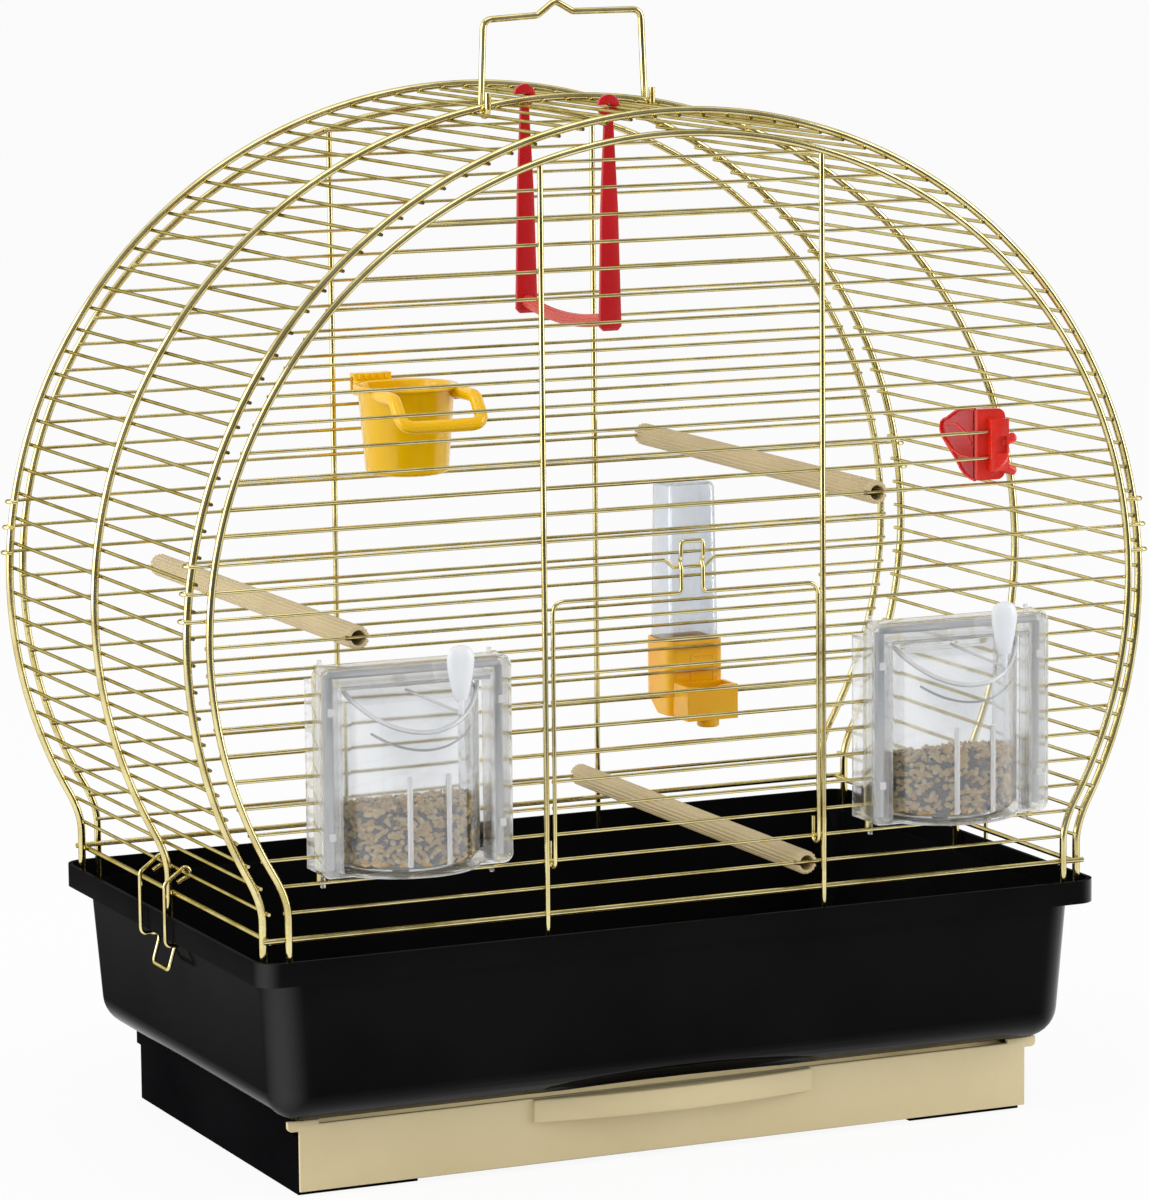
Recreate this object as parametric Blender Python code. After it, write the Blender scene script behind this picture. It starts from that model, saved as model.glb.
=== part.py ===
"""Wire bird cage on a black plastic base.

The barrel, two end panels and the drop-down door are welded from brass-coloured wire.
They stand in the rim of a deep tray, with a drawer in a housing under it. Inside and on
the panels hang a swing, three perches, a cup, a drinker, a clip holder and two feeders.
Metres, +Z up, the door side faces -Y. The origin is under the middle of the base.
"""

import math
from dataclasses import dataclass

import bmesh
import bpy
from mathutils import Matrix, Vector

# Fits
GAP = 0.0003                # between pieces that touch
WELD = 0.0003               # how deep welded wires sink into each other
UPRIGHT_WELD = 0.00055      # the uprights sink deeper, clear of the hoop's flats
OVERRUN = 0.004             # how far a cut runs past the piece it cuts
MERGE = 0.000001

# Wire diameters
HOOP_WIRE = 0.0038
PANEL_HOOP_WIRE = 0.0035
UPRIGHT_WIRE = 0.0027
EDGE_WIRE = 0.0026
FINE_WIRE = 0.0017
DOOR_WIRE = 0.0020
POST_WIRE = 0.0020
HANDLE_WIRE = 0.0032
CLIP_WIRE = 0.0020

# Rounding of wires and turned pieces, in steps and sides
THIN = 0                    # bevel resolution of a thin wire, four sides
STOUT = 1                   # bevel resolution of a stout wire, six sides
ARCH_STEPS = 42
ARCH_SAMPLES = 4000         # points that a place along an arch is found among
LEG_SAMPLES = 400
BEND_STEPS = 2
CURL_STEPS = 5
CORNER_STEPS = 3
ROUND_SIDES = 20
SCOOP_SIDES = 16
DRUM_SIDES = 28
TUBE_SIDES = 12
FLAT_SHARE = math.cos(math.pi / 6)     # a six-sided wire's flats, of its radius
SMALL_SHARE = math.cos(math.pi / 4)    # a four-sided wire's flats, of its radius
SHARP_ANGLE = 40.0          # edges sharper than this, in degrees, stay sharp

# Barrel
BARREL_HALF_WIDTH = 0.2530
BARREL_RISE = 0.2410
BARREL_CENTRE_HEIGHT = 0.1584
BARREL_LEG_INSET = 0.0350
BARREL_HALF_DEPTH = 0.1280
BARREL_STUB = 0.0008
BARREL_WIRES_EACH_SIDE = 41
BARREL_TOP_WIRE_HEIGHT = 0.0304
BARREL_EDGE_HEIGHT = 0.0170
BARREL_LEG_X = BARREL_HALF_WIDTH - BARREL_LEG_INSET

# Tray
TRAY_SIDE_DRAFT = 0.0049
TRAY_FRONT_DRAFT = 0.0038
TRAY_WALL_HEIGHT = 0.0709
TRAY_WALL = 0.0020
TRAY_FLOOR = 0.0024
TRAY_EDGE_RADIUS = 0.0150
TRAY_CORNER = 0.0180
TRAY_LEDGE_THICKNESS = 0.0025
TRAY_LIP_HEIGHT = 0.0116
TRAY_LIP_THICKNESS = 0.0019
TRAY_LIP_CLEARANCE = 0.0025         # from the barrel's legs
TRAY_LIP_FRONT_REACH = 0.0130       # beyond the barrel's end hoops
TRAY_SIDE_OVERHANG = 0.0077
TRAY_FRONT_OVERHANG = 0.0070
TRAY_RIM_CORNER = 0.0110
TRAY_HATCH_SIDE_MARGIN = 0.0367
TRAY_HATCH_FRONT_MARGIN = 0.0452
TRAY_HATCH_CORNER = 0.0100
SCOOP_HALF_WIDTH = 0.0860
SCOOP_HALF_DEPTH = 0.0160
SCOOP_HALF_HEIGHT = 0.0095
TRAY_LIP_HALF_WIDTH = BARREL_LEG_X + 0.5 * HOOP_WIRE + TRAY_LIP_CLEARANCE + TRAY_LIP_THICKNESS
TRAY_LIP_HALF_DEPTH = BARREL_HALF_DEPTH + TRAY_LIP_FRONT_REACH
TRAY_TOP_HALF_WIDTH = TRAY_LIP_HALF_WIDTH - TRAY_SIDE_OVERHANG
TRAY_TOP_HALF_DEPTH = TRAY_LIP_HALF_DEPTH - TRAY_FRONT_OVERHANG
TRAY_BOTTOM_HALF_WIDTH = TRAY_TOP_HALF_WIDTH - TRAY_SIDE_DRAFT
TRAY_BOTTOM_HALF_DEPTH = TRAY_TOP_HALF_DEPTH - TRAY_FRONT_DRAFT
TRAY_HATCH_HALF_WIDTH = TRAY_BOTTOM_HALF_WIDTH - TRAY_HATCH_SIDE_MARGIN
TRAY_HATCH_HALF_DEPTH = TRAY_BOTTOM_HALF_DEPTH - TRAY_HATCH_FRONT_MARGIN

# Drawer housing
HOUSING_SIDE_INSET = 0.0165
HOUSING_FRONT_INSET = 0.0206
HOUSING_HEIGHT = 0.0380
HOUSING_WALL = 0.0020
HOUSING_FLOOR = 0.0022
HOUSING_BAND_STEP = 0.0020
HOUSING_BAND_HEIGHT = 0.0088
HOUSING_LEDGE_DROP = 0.0068
HOUSING_FLANGE = 0.0020
HOUSING_FLANGE_REACH = 0.0130
HOUSING_PAD_WIDTH = 0.0617
HOUSING_PAD_HEIGHT = 0.0012
HOUSING_NOTCH_DEPTH = 0.0180
HOUSING_HALF_WIDTH = TRAY_BOTTOM_HALF_WIDTH - HOUSING_SIDE_INSET
HOUSING_HALF_DEPTH = TRAY_BOTTOM_HALF_DEPTH - HOUSING_FRONT_INSET

# Drawer
DRAWER_WALL = 0.0018
DRAWER_SIDE_CLEARANCE = 0.0027
DRAWER_FLOOR_CLEARANCE = 0.0023
DRAWER_FLANGE_THICKNESS = 0.0020
DRAWER_CORNER = 0.0040
DRAWER_FLANGE_LAP = 0.0012
DRAWER_FRONT_STANDOFF = 0.0031
DRAWER_FRONT_THICKNESS = 0.0025
DRAWER_FRONT_OVERLAP = 0.0010
DRAWER_FRONT_LIFT = 0.0027
DRAWER_FRONT_TOP_DROP = 0.0026
DRAWER_EAR_REACH = 0.0062
DRAWER_EAR_HEIGHT = 0.0052
DRAWER_EAR_TOP_DROP = 0.0004
DRAWER_EAR_INNER_LAP = 0.0100
PULL_HALF_WIDTH = 0.0750
PULL_BOW = 0.0090
PULL_END_DEPTH = 0.0022
PULL_HEIGHT = 0.0119
PULL_WALL = 0.0020
PULL_STEPS = 12

# Heights of the base
TRAY_BOTTOM_Z = HOUSING_HEIGHT + GAP
TRAY_RIM_Z = TRAY_BOTTOM_Z + TRAY_WALL_HEIGHT
TRAY_LEDGE_Z = TRAY_RIM_Z + TRAY_LEDGE_THICKNESS
FOOT_Z = TRAY_LEDGE_Z + GAP

# End panels
PANEL_SIDE_INSET = 0.0090
PANEL_RISE_INSET = 0.0114
PANEL_CENTRE_LIFT = 0.0010
PANEL_LEG_INSET = 0.0107
PANEL_FIRST_HEIGHT = 0.0178
PANEL_PITCH = 0.01285
PANEL_TOP_SPACE = 0.0060             # least room over the top wire
PANEL_UPRIGHT_SPACE = 0.0252         # from a feeder's opening to the upright beside it
PANEL_EDGE_END = 0.0015
HOOKED_LEVELS = range(12, 15)
PANEL_HALF_WIDTH = BARREL_HALF_WIDTH - PANEL_SIDE_INSET
PANEL_RISE = BARREL_RISE - PANEL_RISE_INSET
PANEL_CENTRE_HEIGHT = BARREL_CENTRE_HEIGHT + PANEL_CENTRE_LIFT
PANEL_LEG_X = BARREL_LEG_X - PANEL_LEG_INSET

# Door
DOOR_HINGE_LEVEL = 2
DOOR_LAST_LEVEL = 11
DOOR_OPEN_LEVELS = range(3, 13)
DOOR_LATCH_LEVEL = 13
DOOR_SIDE_CLEARANCE = 0.0012
DOOR_STANDOFF = 0.00305
DOOR_RAIL_DROP = 0.0032
DOOR_CORNER = 0.0060
DOOR_TAIL = 0.0090
LATCH_X = 0.0030
LATCH_HALF_GAP = 0.00575
LATCH_LOOP_HALF_WIDTH = 0.0060
LATCH_LOOP_RISE = 0.0088
LATCH_BOW_DROP = 0.0040
LATCH_BOW_HALF_WIDTH = 0.0085
LATCH_BOW_RUN = 0.0045
LATCH_KINK_SHARE = 0.62      # how far the riser leans in towards the latch wire
LATCH_BEND = 0.0022

# Carrying handle
HANDLE_CURL_CLEARANCE = 0.0005
HANDLE_TAIL = 0.0070
HANDLE_HEIGHT = 0.0440
HANDLE_TILT = 0.0015
HANDLE_LEG_LEAN = 0.0018
HANDLE_CORNER = 0.0050
HANDLE_HUMP_X = -0.0040
HANDLE_HUMP_RISE = 0.0070
HANDLE_HUMP_HALF_WIDTH = 0.0095
HANDLE_HUMP_CORNER = 0.0040
HANDLE_WIRE_GAPS = 3.5       # depth wires between the crest and each foot

# Swing
SWING_DISC_RADIUS = 0.0058
SWING_THICKNESS = 0.0026
SWING_REAR_Y = 0.0524
SWING_FRONT_Y = -0.0492
SWING_LENGTH = 0.1100
SWING_NECK_HALF_WIDTH = 0.0022
SWING_MIDDLE_HALF_WIDTH = 0.00445
SWING_FOOT_HALF_WIDTH = 0.0058
SWING_MIDDLE_SHARE = 0.45
SWING_SLOT_WIDTH = 0.0013
SWING_PERCH_DIAMETER = 0.0065
SWING_PERCH_SAG = 0.0045
SWING_PERCH_LIFT = 0.0060
SWING_PERCH_STEPS = 8

# Perches
PERCH_DIAMETER = 0.0115
PERCH_WALL = 0.0020
PERCH_END_LAP = 0.0030
PERCH_LEFT_INSET = 0.0740
PERCH_LEFT_X = PERCH_LEFT_INSET - PANEL_HALF_WIDTH
PERCH_LEFT_LEVEL = 11
PERCH_UPPER_X = 0.1030
PERCH_UPPER_LEVEL = 15
PERCH_LOWER_X = 0.0640
PERCH_LOWER_LEVEL = 1

# Cup
CUP_X = -0.0475
CUP_WIRE_LEVEL = 18
CUP_BODY_RADIUS = 0.0248
CUP_BASE_RADIUS = 0.0215
CUP_FLANGE_RADIUS = 0.0272
CUP_FLANGE_THICKNESS = 0.0020
CUP_HEIGHT = 0.0457
CUP_WALL = 0.0016
CUP_BACK_CLEARANCE = 0.0050
CUP_RIM_DROP = 0.0002
CUP_HOOK_HALF_WIDTH = 0.0105
CUP_HOOK_X_SHIFT = -0.0060
CUP_HOOK_THICKNESS = 0.0018
CUP_HOOK_TAIL = 0.0060
CUP_HOOK_ROOT = 0.0080
CUP_LOOP_WIRE = 0.0068
CUP_LOOP_REACH = 0.0490
CUP_LOOP_ARM_REACH = 0.0380
CUP_LOOP_HALF_WIDTH = 0.0255
CUP_LOOP_ROOT = 0.0100
CUP_LOOP_DROP = 0.0165
CUP_LOOP_CORNER = 0.0070

# Clip holder
CLIP_BLOCK_INSET = 0.0759
CLIP_BLOCK_X = PANEL_HALF_WIDTH - CLIP_BLOCK_INSET
CLIP_BLOCK_HALF_WIDTH = 0.0078
CLIP_LOWER_LEVEL = 16
CLIP_BLOCK_OVERHANG = 0.0111
CLIP_BLOCK_DEPTH = 0.0045
CLIP_JAW_WIDTH = 0.0098
CLIP_JAW_DEPTH = 0.0032
CLIP_JAW_OVERHANG = 0.0065
CLIP_CORNER = 0.0042
CLIP_WING_LENGTH = 0.0360
CLIP_WING_THICKNESS = 0.0018
CLIP_PRONG_DIAMETER = 0.0050
CLIP_PRONG_REACH = 0.0050
CLIP_PRONG_RISE = 0.0085
CLIP_PRONG_DROP = 0.0062
CLIP_PRONG_SINK = 0.0030

# Drinker
DRINKER_INSET = 0.1111
DRINKER_X = PANEL_HALF_WIDTH - DRINKER_INSET
DRINKER_TUBE_HALF_WIDTH = 0.0137
DRINKER_TUBE_FLARE = 0.0012
DRINKER_TUBE_HALF_DEPTH = 0.0128
DRINKER_TUBE_CORNER = 0.0055
DRINKER_TUBE_HEIGHT = 0.0890
DRINKER_TUBE_WALL = 0.0015
DRINKER_TUBE_STANDOFF = 0.0033
DRINKER_TUBE_TOP_RADIUS = 0.0030
DRINKER_BASE_WALL = 0.0011
DRINKER_SOCKET_DEPTH = 0.0045
DRINKER_BASE_HEIGHT = 0.0400
DRINKER_BASE_CORNER = 0.0050
DRINKER_SHELL_WALL = 0.0022
DRINKER_TROUGH_LEVEL = 3
DRINKER_TROUGH_HALF_WIDTH = 0.0148
DRINKER_TROUGH_REACH = 0.0178
DRINKER_TROUGH_WALL = 0.0018
DRINKER_TROUGH_RISE = 0.0080
DRINKER_BOSS_RADIUS = 0.0060
DRINKER_BOSS_DROP = 0.0040

# Feeders
FEEDER_INSET = 0.0626
FEEDER_X = PANEL_LEG_X - FEEDER_INSET
FEEDER_OPENING_HALF_WIDTH = 0.0455
FEEDER_OPEN_LEVELS = range(3, 10)
FEEDER_LOW_LEVEL = 2
FEEDER_HIGH_LEVEL = 10
FEEDER_RING_HALF_WIDTH = 0.0490
FEEDER_RING_DEPTH = 0.0105
FEEDER_RING_BORDER = 0.0112
FEEDER_RING_CORNER = 0.0050
FEEDER_RING_TOP_LAP = 0.0010
FEEDER_RING_LIFT = 0.0035
FEEDER_SHELF = 0.0020
FEEDER_SHELF_RADIUS = 0.0390
FEEDER_SLEEVE_WALL = 0.0018
FEEDER_SLEEVE_BACK = 0.0210
FEEDER_CLAW_LENGTH = 0.0028
FEEDER_CLAW_THICKNESS = 0.0020
DRUM_RADIUS = 0.0380
DRUM_WALL = 0.0015
DRUM_AXIS_SETBACK = 0.0110
DRUM_PIN_RADIUS = 0.0030
DRUM_FRONT_HEIGHT = 0.0667
DRUM_MOUTH_SETBACK = 0.0100
DRUM_LIP_HEIGHT = 0.0180
DRUM_RIB_WIDTH = 0.0028
DRUM_RIB_PROUD = 0.0008
DRUM_RIB_HEIGHT = 0.0430
DRUM_RIB_LIFT = 0.0030
DRUM_RIB_ANGLES = (-15.0, 15.0)
SEED_FRONT_HEIGHT = 0.0295
SEED_BACK_HEIGHT = 0.0125
LEVER_ANGLE = 30.0
LEVER_RADIUS = 0.0372
LEVER_HALF_WIDTH = 0.0070
LEVER_HALF_THICKNESS = 0.0036
LEVER_LENGTH = 0.0270
LEVER_TOP_RISE = 0.0077
LEVER_STEM_RADIUS = 0.0016
LEVER_STEM_SINK = 0.0060
LEVER_WIDE_SHARE = 0.72
LEVER_TIP_SHARE = 0.35

# Side clips
CLIP_LEG_Y = 0.0175
CLIP_TAB_Y = 0.0110
CLIP_CURL_CLEARANCE = 0.0004
CLIP_LEG_OUT = 0.0085                # from the hoop's leg to the clip's
CLIP_SHOULDER_DROP = 0.0050
CLIP_TAIL_OUT = 0.0040
CLIP_TAIL_DROP = 0.0022
CLIP_UNDER_CLEARANCE = 0.0017
CLIP_UNDER_REACH = 0.0055
CLIP_TAB_INSET = 0.0045
CLIP_TAB_DROP = 0.0135
CLIP_BEND = 0.0022

# Heights and depths that several pieces share
BARREL_CENTRE_Z = FOOT_Z + BARREL_CENTRE_HEIGHT
PANEL_CENTRE_Z = FOOT_Z + PANEL_CENTRE_HEIGHT
HOOP_INSET = 0.5 * (HOOP_WIRE + FINE_WIRE * SMALL_SHARE) - WELD
PANEL_WIRE_Y = BARREL_HALF_DEPTH + 0.5 * HOOP_WIRE + BARREL_STUB + GAP + 0.5 * FINE_WIRE
PANEL_EDGE_Y = PANEL_WIRE_Y + 0.5 * (EDGE_WIRE - FINE_WIRE)
PANEL_HOOP_Y = PANEL_WIRE_Y + 0.5 * (PANEL_HOOP_WIRE * FLAT_SHARE + FINE_WIRE) - WELD
UPRIGHT_Y = PANEL_WIRE_Y + 0.5 * (UPRIGHT_WIRE * FLAT_SHARE + FINE_WIRE) - UPRIGHT_WELD
PANEL_UPRIGHT_X = FEEDER_X - FEEDER_OPENING_HALF_WIDTH - PANEL_UPRIGHT_SPACE
POST_Y = PANEL_WIRE_Y - 0.5 * (POST_WIRE * FLAT_SHARE + FINE_WIRE) + WELD
DOOR_Y = PANEL_WIRE_Y + DOOR_STANDOFF
DOOR_BAR_Y = DOOR_Y - 0.5 * (DOOR_WIRE * SMALL_SHARE + FINE_WIRE) + WELD
DOOR_SIDE_X = PANEL_UPRIGHT_X - 0.5 * (UPRIGHT_WIRE + DOOR_WIRE) - DOOR_SIDE_CLEARANCE
DRUM_Y = -(PANEL_WIRE_Y - DRUM_AXIS_SETBACK)
HOUSING_LEDGE_Z = HOUSING_HEIGHT - HOUSING_LEDGE_DROP


@dataclass(frozen=True)
class Finish:
    """Colour, gloss and metalness of one material, with how much light it lets through."""

    name: str
    colour: tuple
    roughness: float
    metallic: float = 0.0
    transmission: float = 0.0


BRASS = Finish("pale_brass_wire", (0.80, 0.70, 0.38), 0.22, 1.0)
BLACK = Finish("black_base_plastic", (0.012, 0.012, 0.014), 0.16)
BEIGE = Finish("beige_drawer_plastic", (0.62, 0.49, 0.27), 0.38)
TAN = Finish("tan_perch_plastic", (0.55, 0.44, 0.24), 0.45)
RED = Finish("red_plastic", (0.62, 0.012, 0.016), 0.30)
PALE_RED = Finish("red_perch_plastic", (0.55, 0.06, 0.05), 0.30, transmission=0.2)
YELLOW = Finish("yellow_cup_plastic", (0.83, 0.46, 0.008), 0.22)
ORANGE = Finish("orange_drinker_plastic", (0.90, 0.36, 0.010), 0.18, transmission=0.3)
CLEAR = Finish("clear_plastic", (0.82, 0.86, 0.88), 0.06, transmission=0.9)
MILKY = Finish("milky_lever_plastic", (0.80, 0.84, 0.88), 0.25, transmission=0.3)
SEED = Finish("mixed_seed", (0.45, 0.27, 0.10), 0.75)


@dataclass(frozen=True)
class Arch:
    """A wire arch in the XZ plane: an ellipse above the knees and straight legs below."""

    half_width: float
    rise: float
    centre_z: float
    leg_x: float
    foot_z: float

    def knee_angle(self):
        """Angle of the ellipse, below the horizontal, at which the leg starts."""
        return math.acos(self.leg_x / self.half_width)

    def on_ellipse(self, angle):
        """Point of the ellipse at an angle from its +X end."""
        across = self.half_width * math.cos(angle)
        return Vector((across, 0.0, self.centre_z + self.rise * math.sin(angle)))

    def path(self, y):
        """Points from the foot at -X over the crest to the foot at +X."""
        start = math.pi + self.knee_angle()
        sweep = start + self.knee_angle()
        points = [Vector((-self.leg_x, y, self.foot_z))]
        for step in range(ARCH_STEPS + 1):
            point = self.on_ellipse(start - sweep * step / ARCH_STEPS)
            points.append(Vector((point.x, y, point.z)))
        points.append(Vector((self.leg_x, y, self.foot_z)))
        return points

    def half_x(self, z):
        """Half width of the arch at a height."""
        if z < self.centre_z - self.rise * math.sin(self.knee_angle()):
            return self.leg_x
        share = (z - self.centre_z) / self.rise
        return self.half_width * math.sqrt(max(0.0, 1.0 - share * share))

    def samples(self):
        """Closely spaced points from the crest down the +X side to the foot, with the inward normal."""
        reach = math.pi / 2 + self.knee_angle()
        for step in range(ARCH_SAMPLES + 1):
            angle = math.pi / 2 - reach * step / ARCH_SAMPLES
            inward = Vector((-self.rise * math.cos(angle), 0.0, -self.half_width * math.sin(angle)))
            yield self.on_ellipse(angle), inward.normalized()
        knee_z = self.on_ellipse(-self.knee_angle()).z
        for step in range(1, LEG_SAMPLES + 1):
            z = knee_z + (self.foot_z - knee_z) * step / LEG_SAMPLES
            yield Vector((self.leg_x, 0.0, z)), Vector((-1.0, 0.0, 0.0))

    def places(self, spacing, count):
        """Points spaced evenly along the +X half from the crest, with the inward normal."""
        found = []
        length = 0.0
        before = self.on_ellipse(math.pi / 2)
        for here, inward in self.samples():
            length += (here - before).length
            before = here
            if len(found) < count and length >= spacing * (len(found) + 1):
                found.append((here, inward))
        return found

    def half_length(self, z):
        """Length along the wire from the crest down to a height below the widest point."""
        length = 0.0
        before = self.on_ellipse(math.pi / 2)
        for here, _ in self.samples():
            if here.z < min(z, self.centre_z):
                break
            length += (here - before).length
            before = here
        return length + before.z - z


BARREL_ARCH = Arch(BARREL_HALF_WIDTH, BARREL_RISE, BARREL_CENTRE_Z, BARREL_LEG_X, FOOT_Z)
PANEL_ARCH = Arch(PANEL_HALF_WIDTH, PANEL_RISE, PANEL_CENTRE_Z, PANEL_LEG_X, FOOT_Z)
CREST_Z = BARREL_CENTRE_Z + BARREL_RISE
CREST_WIRE_Z = CREST_Z - HOOP_INSET
LEG_WIRE_Z = FOOT_Z + BARREL_TOP_WIRE_HEIGHT
LEG_WIRE_X = BARREL_ARCH.half_x(LEG_WIRE_Z) - HOOP_INSET
BARREL_PITCH = BARREL_ARCH.half_length(LEG_WIRE_Z) / BARREL_WIRES_EACH_SIDE


def level(index):
    """Height of one of the end panels' horizontal wires, counted from the edge wire."""
    return FOOT_Z + PANEL_FIRST_HEIGHT + PANEL_PITCH * index


def panel_wire_count():
    """How many horizontal wires fit between the edge wire and the panel hoop's crest."""
    room = PANEL_CENTRE_Z + PANEL_RISE - PANEL_TOP_SPACE - level(0)
    return int(room / PANEL_PITCH)


def clear_scene():
    """Remove every object that the file starts with."""
    for item in list(bpy.data.objects):
        bpy.data.objects.remove(item, do_unlink=True)


def material(finish):
    """Return the Principled material of a finish, made on its first use."""
    made = bpy.data.materials.get(finish.name)
    if made:
        return made
    made = bpy.data.materials.new(finish.name)
    made.use_nodes = True
    shader = made.node_tree.nodes["Principled BSDF"]
    shader.inputs["Base Color"].default_value = (*finish.colour, 1.0)
    shader.inputs["Roughness"].default_value = finish.roughness
    shader.inputs["Metallic"].default_value = finish.metallic
    shader.inputs["Transmission Weight"].default_value = finish.transmission
    made.diffuse_color = (*finish.colour, 1.0)
    return made


def place(name, mesh):
    """Link a new object that shows a mesh."""
    item = bpy.data.objects.new(name, mesh)
    bpy.context.collection.objects.link(item)
    return item


def from_bmesh(name, build):
    """Turn a bmesh into an object with its faces pointing out."""
    bmesh.ops.recalc_face_normals(build, faces=build.faces)
    mesh = bpy.data.meshes.new(name)
    build.to_mesh(mesh)
    build.free()
    return place(name, mesh)


def wire(name, paths, diameter, resolution=THIN):
    """Make wires of one diameter along lists of points, as one object of separate bodies."""
    curve = bpy.data.curves.new(name, "CURVE")
    curve.dimensions = "3D"
    curve.twist_mode = "MINIMUM"
    curve.bevel_depth = 0.5 * diameter
    curve.bevel_resolution = resolution
    curve.use_fill_caps = True
    for path in paths:
        spline = curve.splines.new("POLY")
        spline.points.add(len(path) - 1)
        for corner, point in zip(spline.points, path):
            corner.co = (*point, 1.0)
    guide = bpy.data.objects.new(name, curve)
    bpy.context.collection.objects.link(guide)
    graph = bpy.context.evaluated_depsgraph_get()
    mesh = bpy.data.meshes.new_from_object(guide.evaluated_get(graph))
    bpy.data.objects.remove(guide, do_unlink=True)
    build = bmesh.new()
    build.from_mesh(mesh)
    bmesh.ops.remove_doubles(build, verts=build.verts, dist=MERGE)
    bmesh.ops.recalc_face_normals(build, faces=build.faces)
    build.to_mesh(mesh)
    build.free()
    return place(name, mesh)


def box(name, low, high):
    """Make a box from its lowest and highest corners."""
    build = bmesh.new()
    size = Vector(high) - Vector(low)
    middle = (Vector(high) + Vector(low)) / 2
    shape = Matrix.Translation(middle) @ Matrix.Diagonal((*size, 1.0))
    bmesh.ops.create_cube(build, size=1.0, matrix=shape)
    return from_bmesh(name, build)


def turned(name, profile, centre, sides=ROUND_SIDES, turn=None):
    """Spin a list of (radius, height) round Z at a centre. Its ends lie on the axis."""
    build = bmesh.new()
    verts = [build.verts.new((radius, 0.0, height)) for radius, height in profile]
    edges = [build.edges.new(pair) for pair in zip(verts, verts[1:])]
    bmesh.ops.spin(build, geom=verts + edges, cent=(0, 0, 0), axis=(0, 0, 1),
                   angle=2 * math.pi, steps=sides, use_merge=True)
    bmesh.ops.remove_doubles(build, verts=build.verts, dist=MERGE)
    if turn:
        bmesh.ops.transform(build, matrix=turn, verts=build.verts)
    bmesh.ops.translate(build, vec=Vector(centre), verts=build.verts)
    return from_bmesh(name, build)


def rod(name, start, end, radius, sides=TUBE_SIDES):
    """Make a straight round rod between two points."""
    run = Vector(end) - Vector(start)
    turn = Vector((0, 0, 1)).rotation_difference(run).to_matrix().to_4x4()
    profile = [(0.0, 0.0), (radius, 0.0), (radius, run.length), (0.0, run.length)]
    return turned(name, profile, start, sides, turn)


def prism(name, outline, low, high, axis="Y"):
    """Extrude an outline of two-number points along an axis, from low to high.

    The outline's points are (x, z) along Y, (y, z) along X and (x, y) along Z.
    """
    lift = {"X": lambda a, b: (low, a, b), "Y": lambda a, b: (a, low, b), "Z": lambda a, b: (a, b, low)}
    run = {"X": (high - low, 0, 0), "Y": (0, high - low, 0), "Z": (0, 0, high - low)}
    build = bmesh.new()
    face = build.faces.new([build.verts.new(lift[axis](*point)) for point in outline])
    grown = bmesh.ops.extrude_face_region(build, geom=[face])
    moved = [item for item in grown["geom"] if isinstance(item, bmesh.types.BMVert)]
    bmesh.ops.translate(build, vec=Vector(run[axis]), verts=moved)
    return from_bmesh(name, build)


def rounded_ring(half_x, half_y, radius, z, centre=(0.0, 0.0)):
    """Points of a rounded rectangle, anticlockwise seen from above."""
    points = []
    for quarter, (side_x, side_y) in enumerate(((1, 1), (-1, 1), (-1, -1), (1, -1))):
        for step in range(CORNER_STEPS + 1):
            angle = math.pi / 2 * (quarter + step / CORNER_STEPS)
            x = centre[0] + side_x * (half_x - radius) + radius * math.cos(angle)
            y = centre[1] + side_y * (half_y - radius) + radius * math.sin(angle)
            points.append(Vector((x, y, z)))
    return points


def loft(name, rings, closed=False):
    """Bridge rings of equal point counts. A closed loft joins its last ring to its first."""
    build = bmesh.new()
    rows = [[build.verts.new(point) for point in ring] for ring in rings]
    pairs = list(zip(rows, rows[1:]))
    if closed:
        pairs.append((rows[-1], rows[0]))
    else:
        build.faces.new(reversed(rows[0]))
        build.faces.new(rows[-1])
    for lower, upper in pairs:
        for index in range(len(lower)):
            after = (index + 1) % len(lower)
            build.faces.new((lower[index], lower[after], upper[after], upper[index]))
    return from_bmesh(name, build)


def combine(base, cutter, operation):
    """Apply an exact Boolean to an object and remove the cutter."""
    modifier = base.modifiers.new(operation.lower(), "BOOLEAN")
    modifier.operation = operation
    modifier.solver = "EXACT"
    modifier.object = cutter
    graph = bpy.context.evaluated_depsgraph_get()
    mesh = bpy.data.meshes.new_from_object(base.evaluated_get(graph))
    base.modifiers.clear()
    base.data = mesh
    bpy.data.objects.remove(cutter, do_unlink=True)
    return base


def join(base, *pieces):
    """Fuse pieces to the base with Boolean unions."""
    for piece in pieces:
        combine(base, piece, "UNION")
    return base


def cut(base, *cutters):
    """Take cutters away from the base."""
    for cutter in cutters:
        combine(base, cutter, "DIFFERENCE")
    return base


def finish_piece(item, name, finish, origin=(0.0, 0.0, 0.0)):
    """Name, clean, shade and colour a finished piece, and set its origin."""
    build = bmesh.new()
    build.from_mesh(item.data)
    bmesh.ops.dissolve_degenerate(build, edges=build.edges, dist=MERGE)
    bmesh.ops.translate(build, vec=-Vector(origin), verts=build.verts)
    build.to_mesh(item.data)
    build.free()
    item.name = name
    item.data.name = name
    item.location = origin
    item.data.materials.clear()
    item.data.materials.append(material(finish))
    item.data.shade_smooth()
    item.data.set_sharp_from_angle(angle=math.radians(SHARP_ANGLE))
    return item


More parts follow.
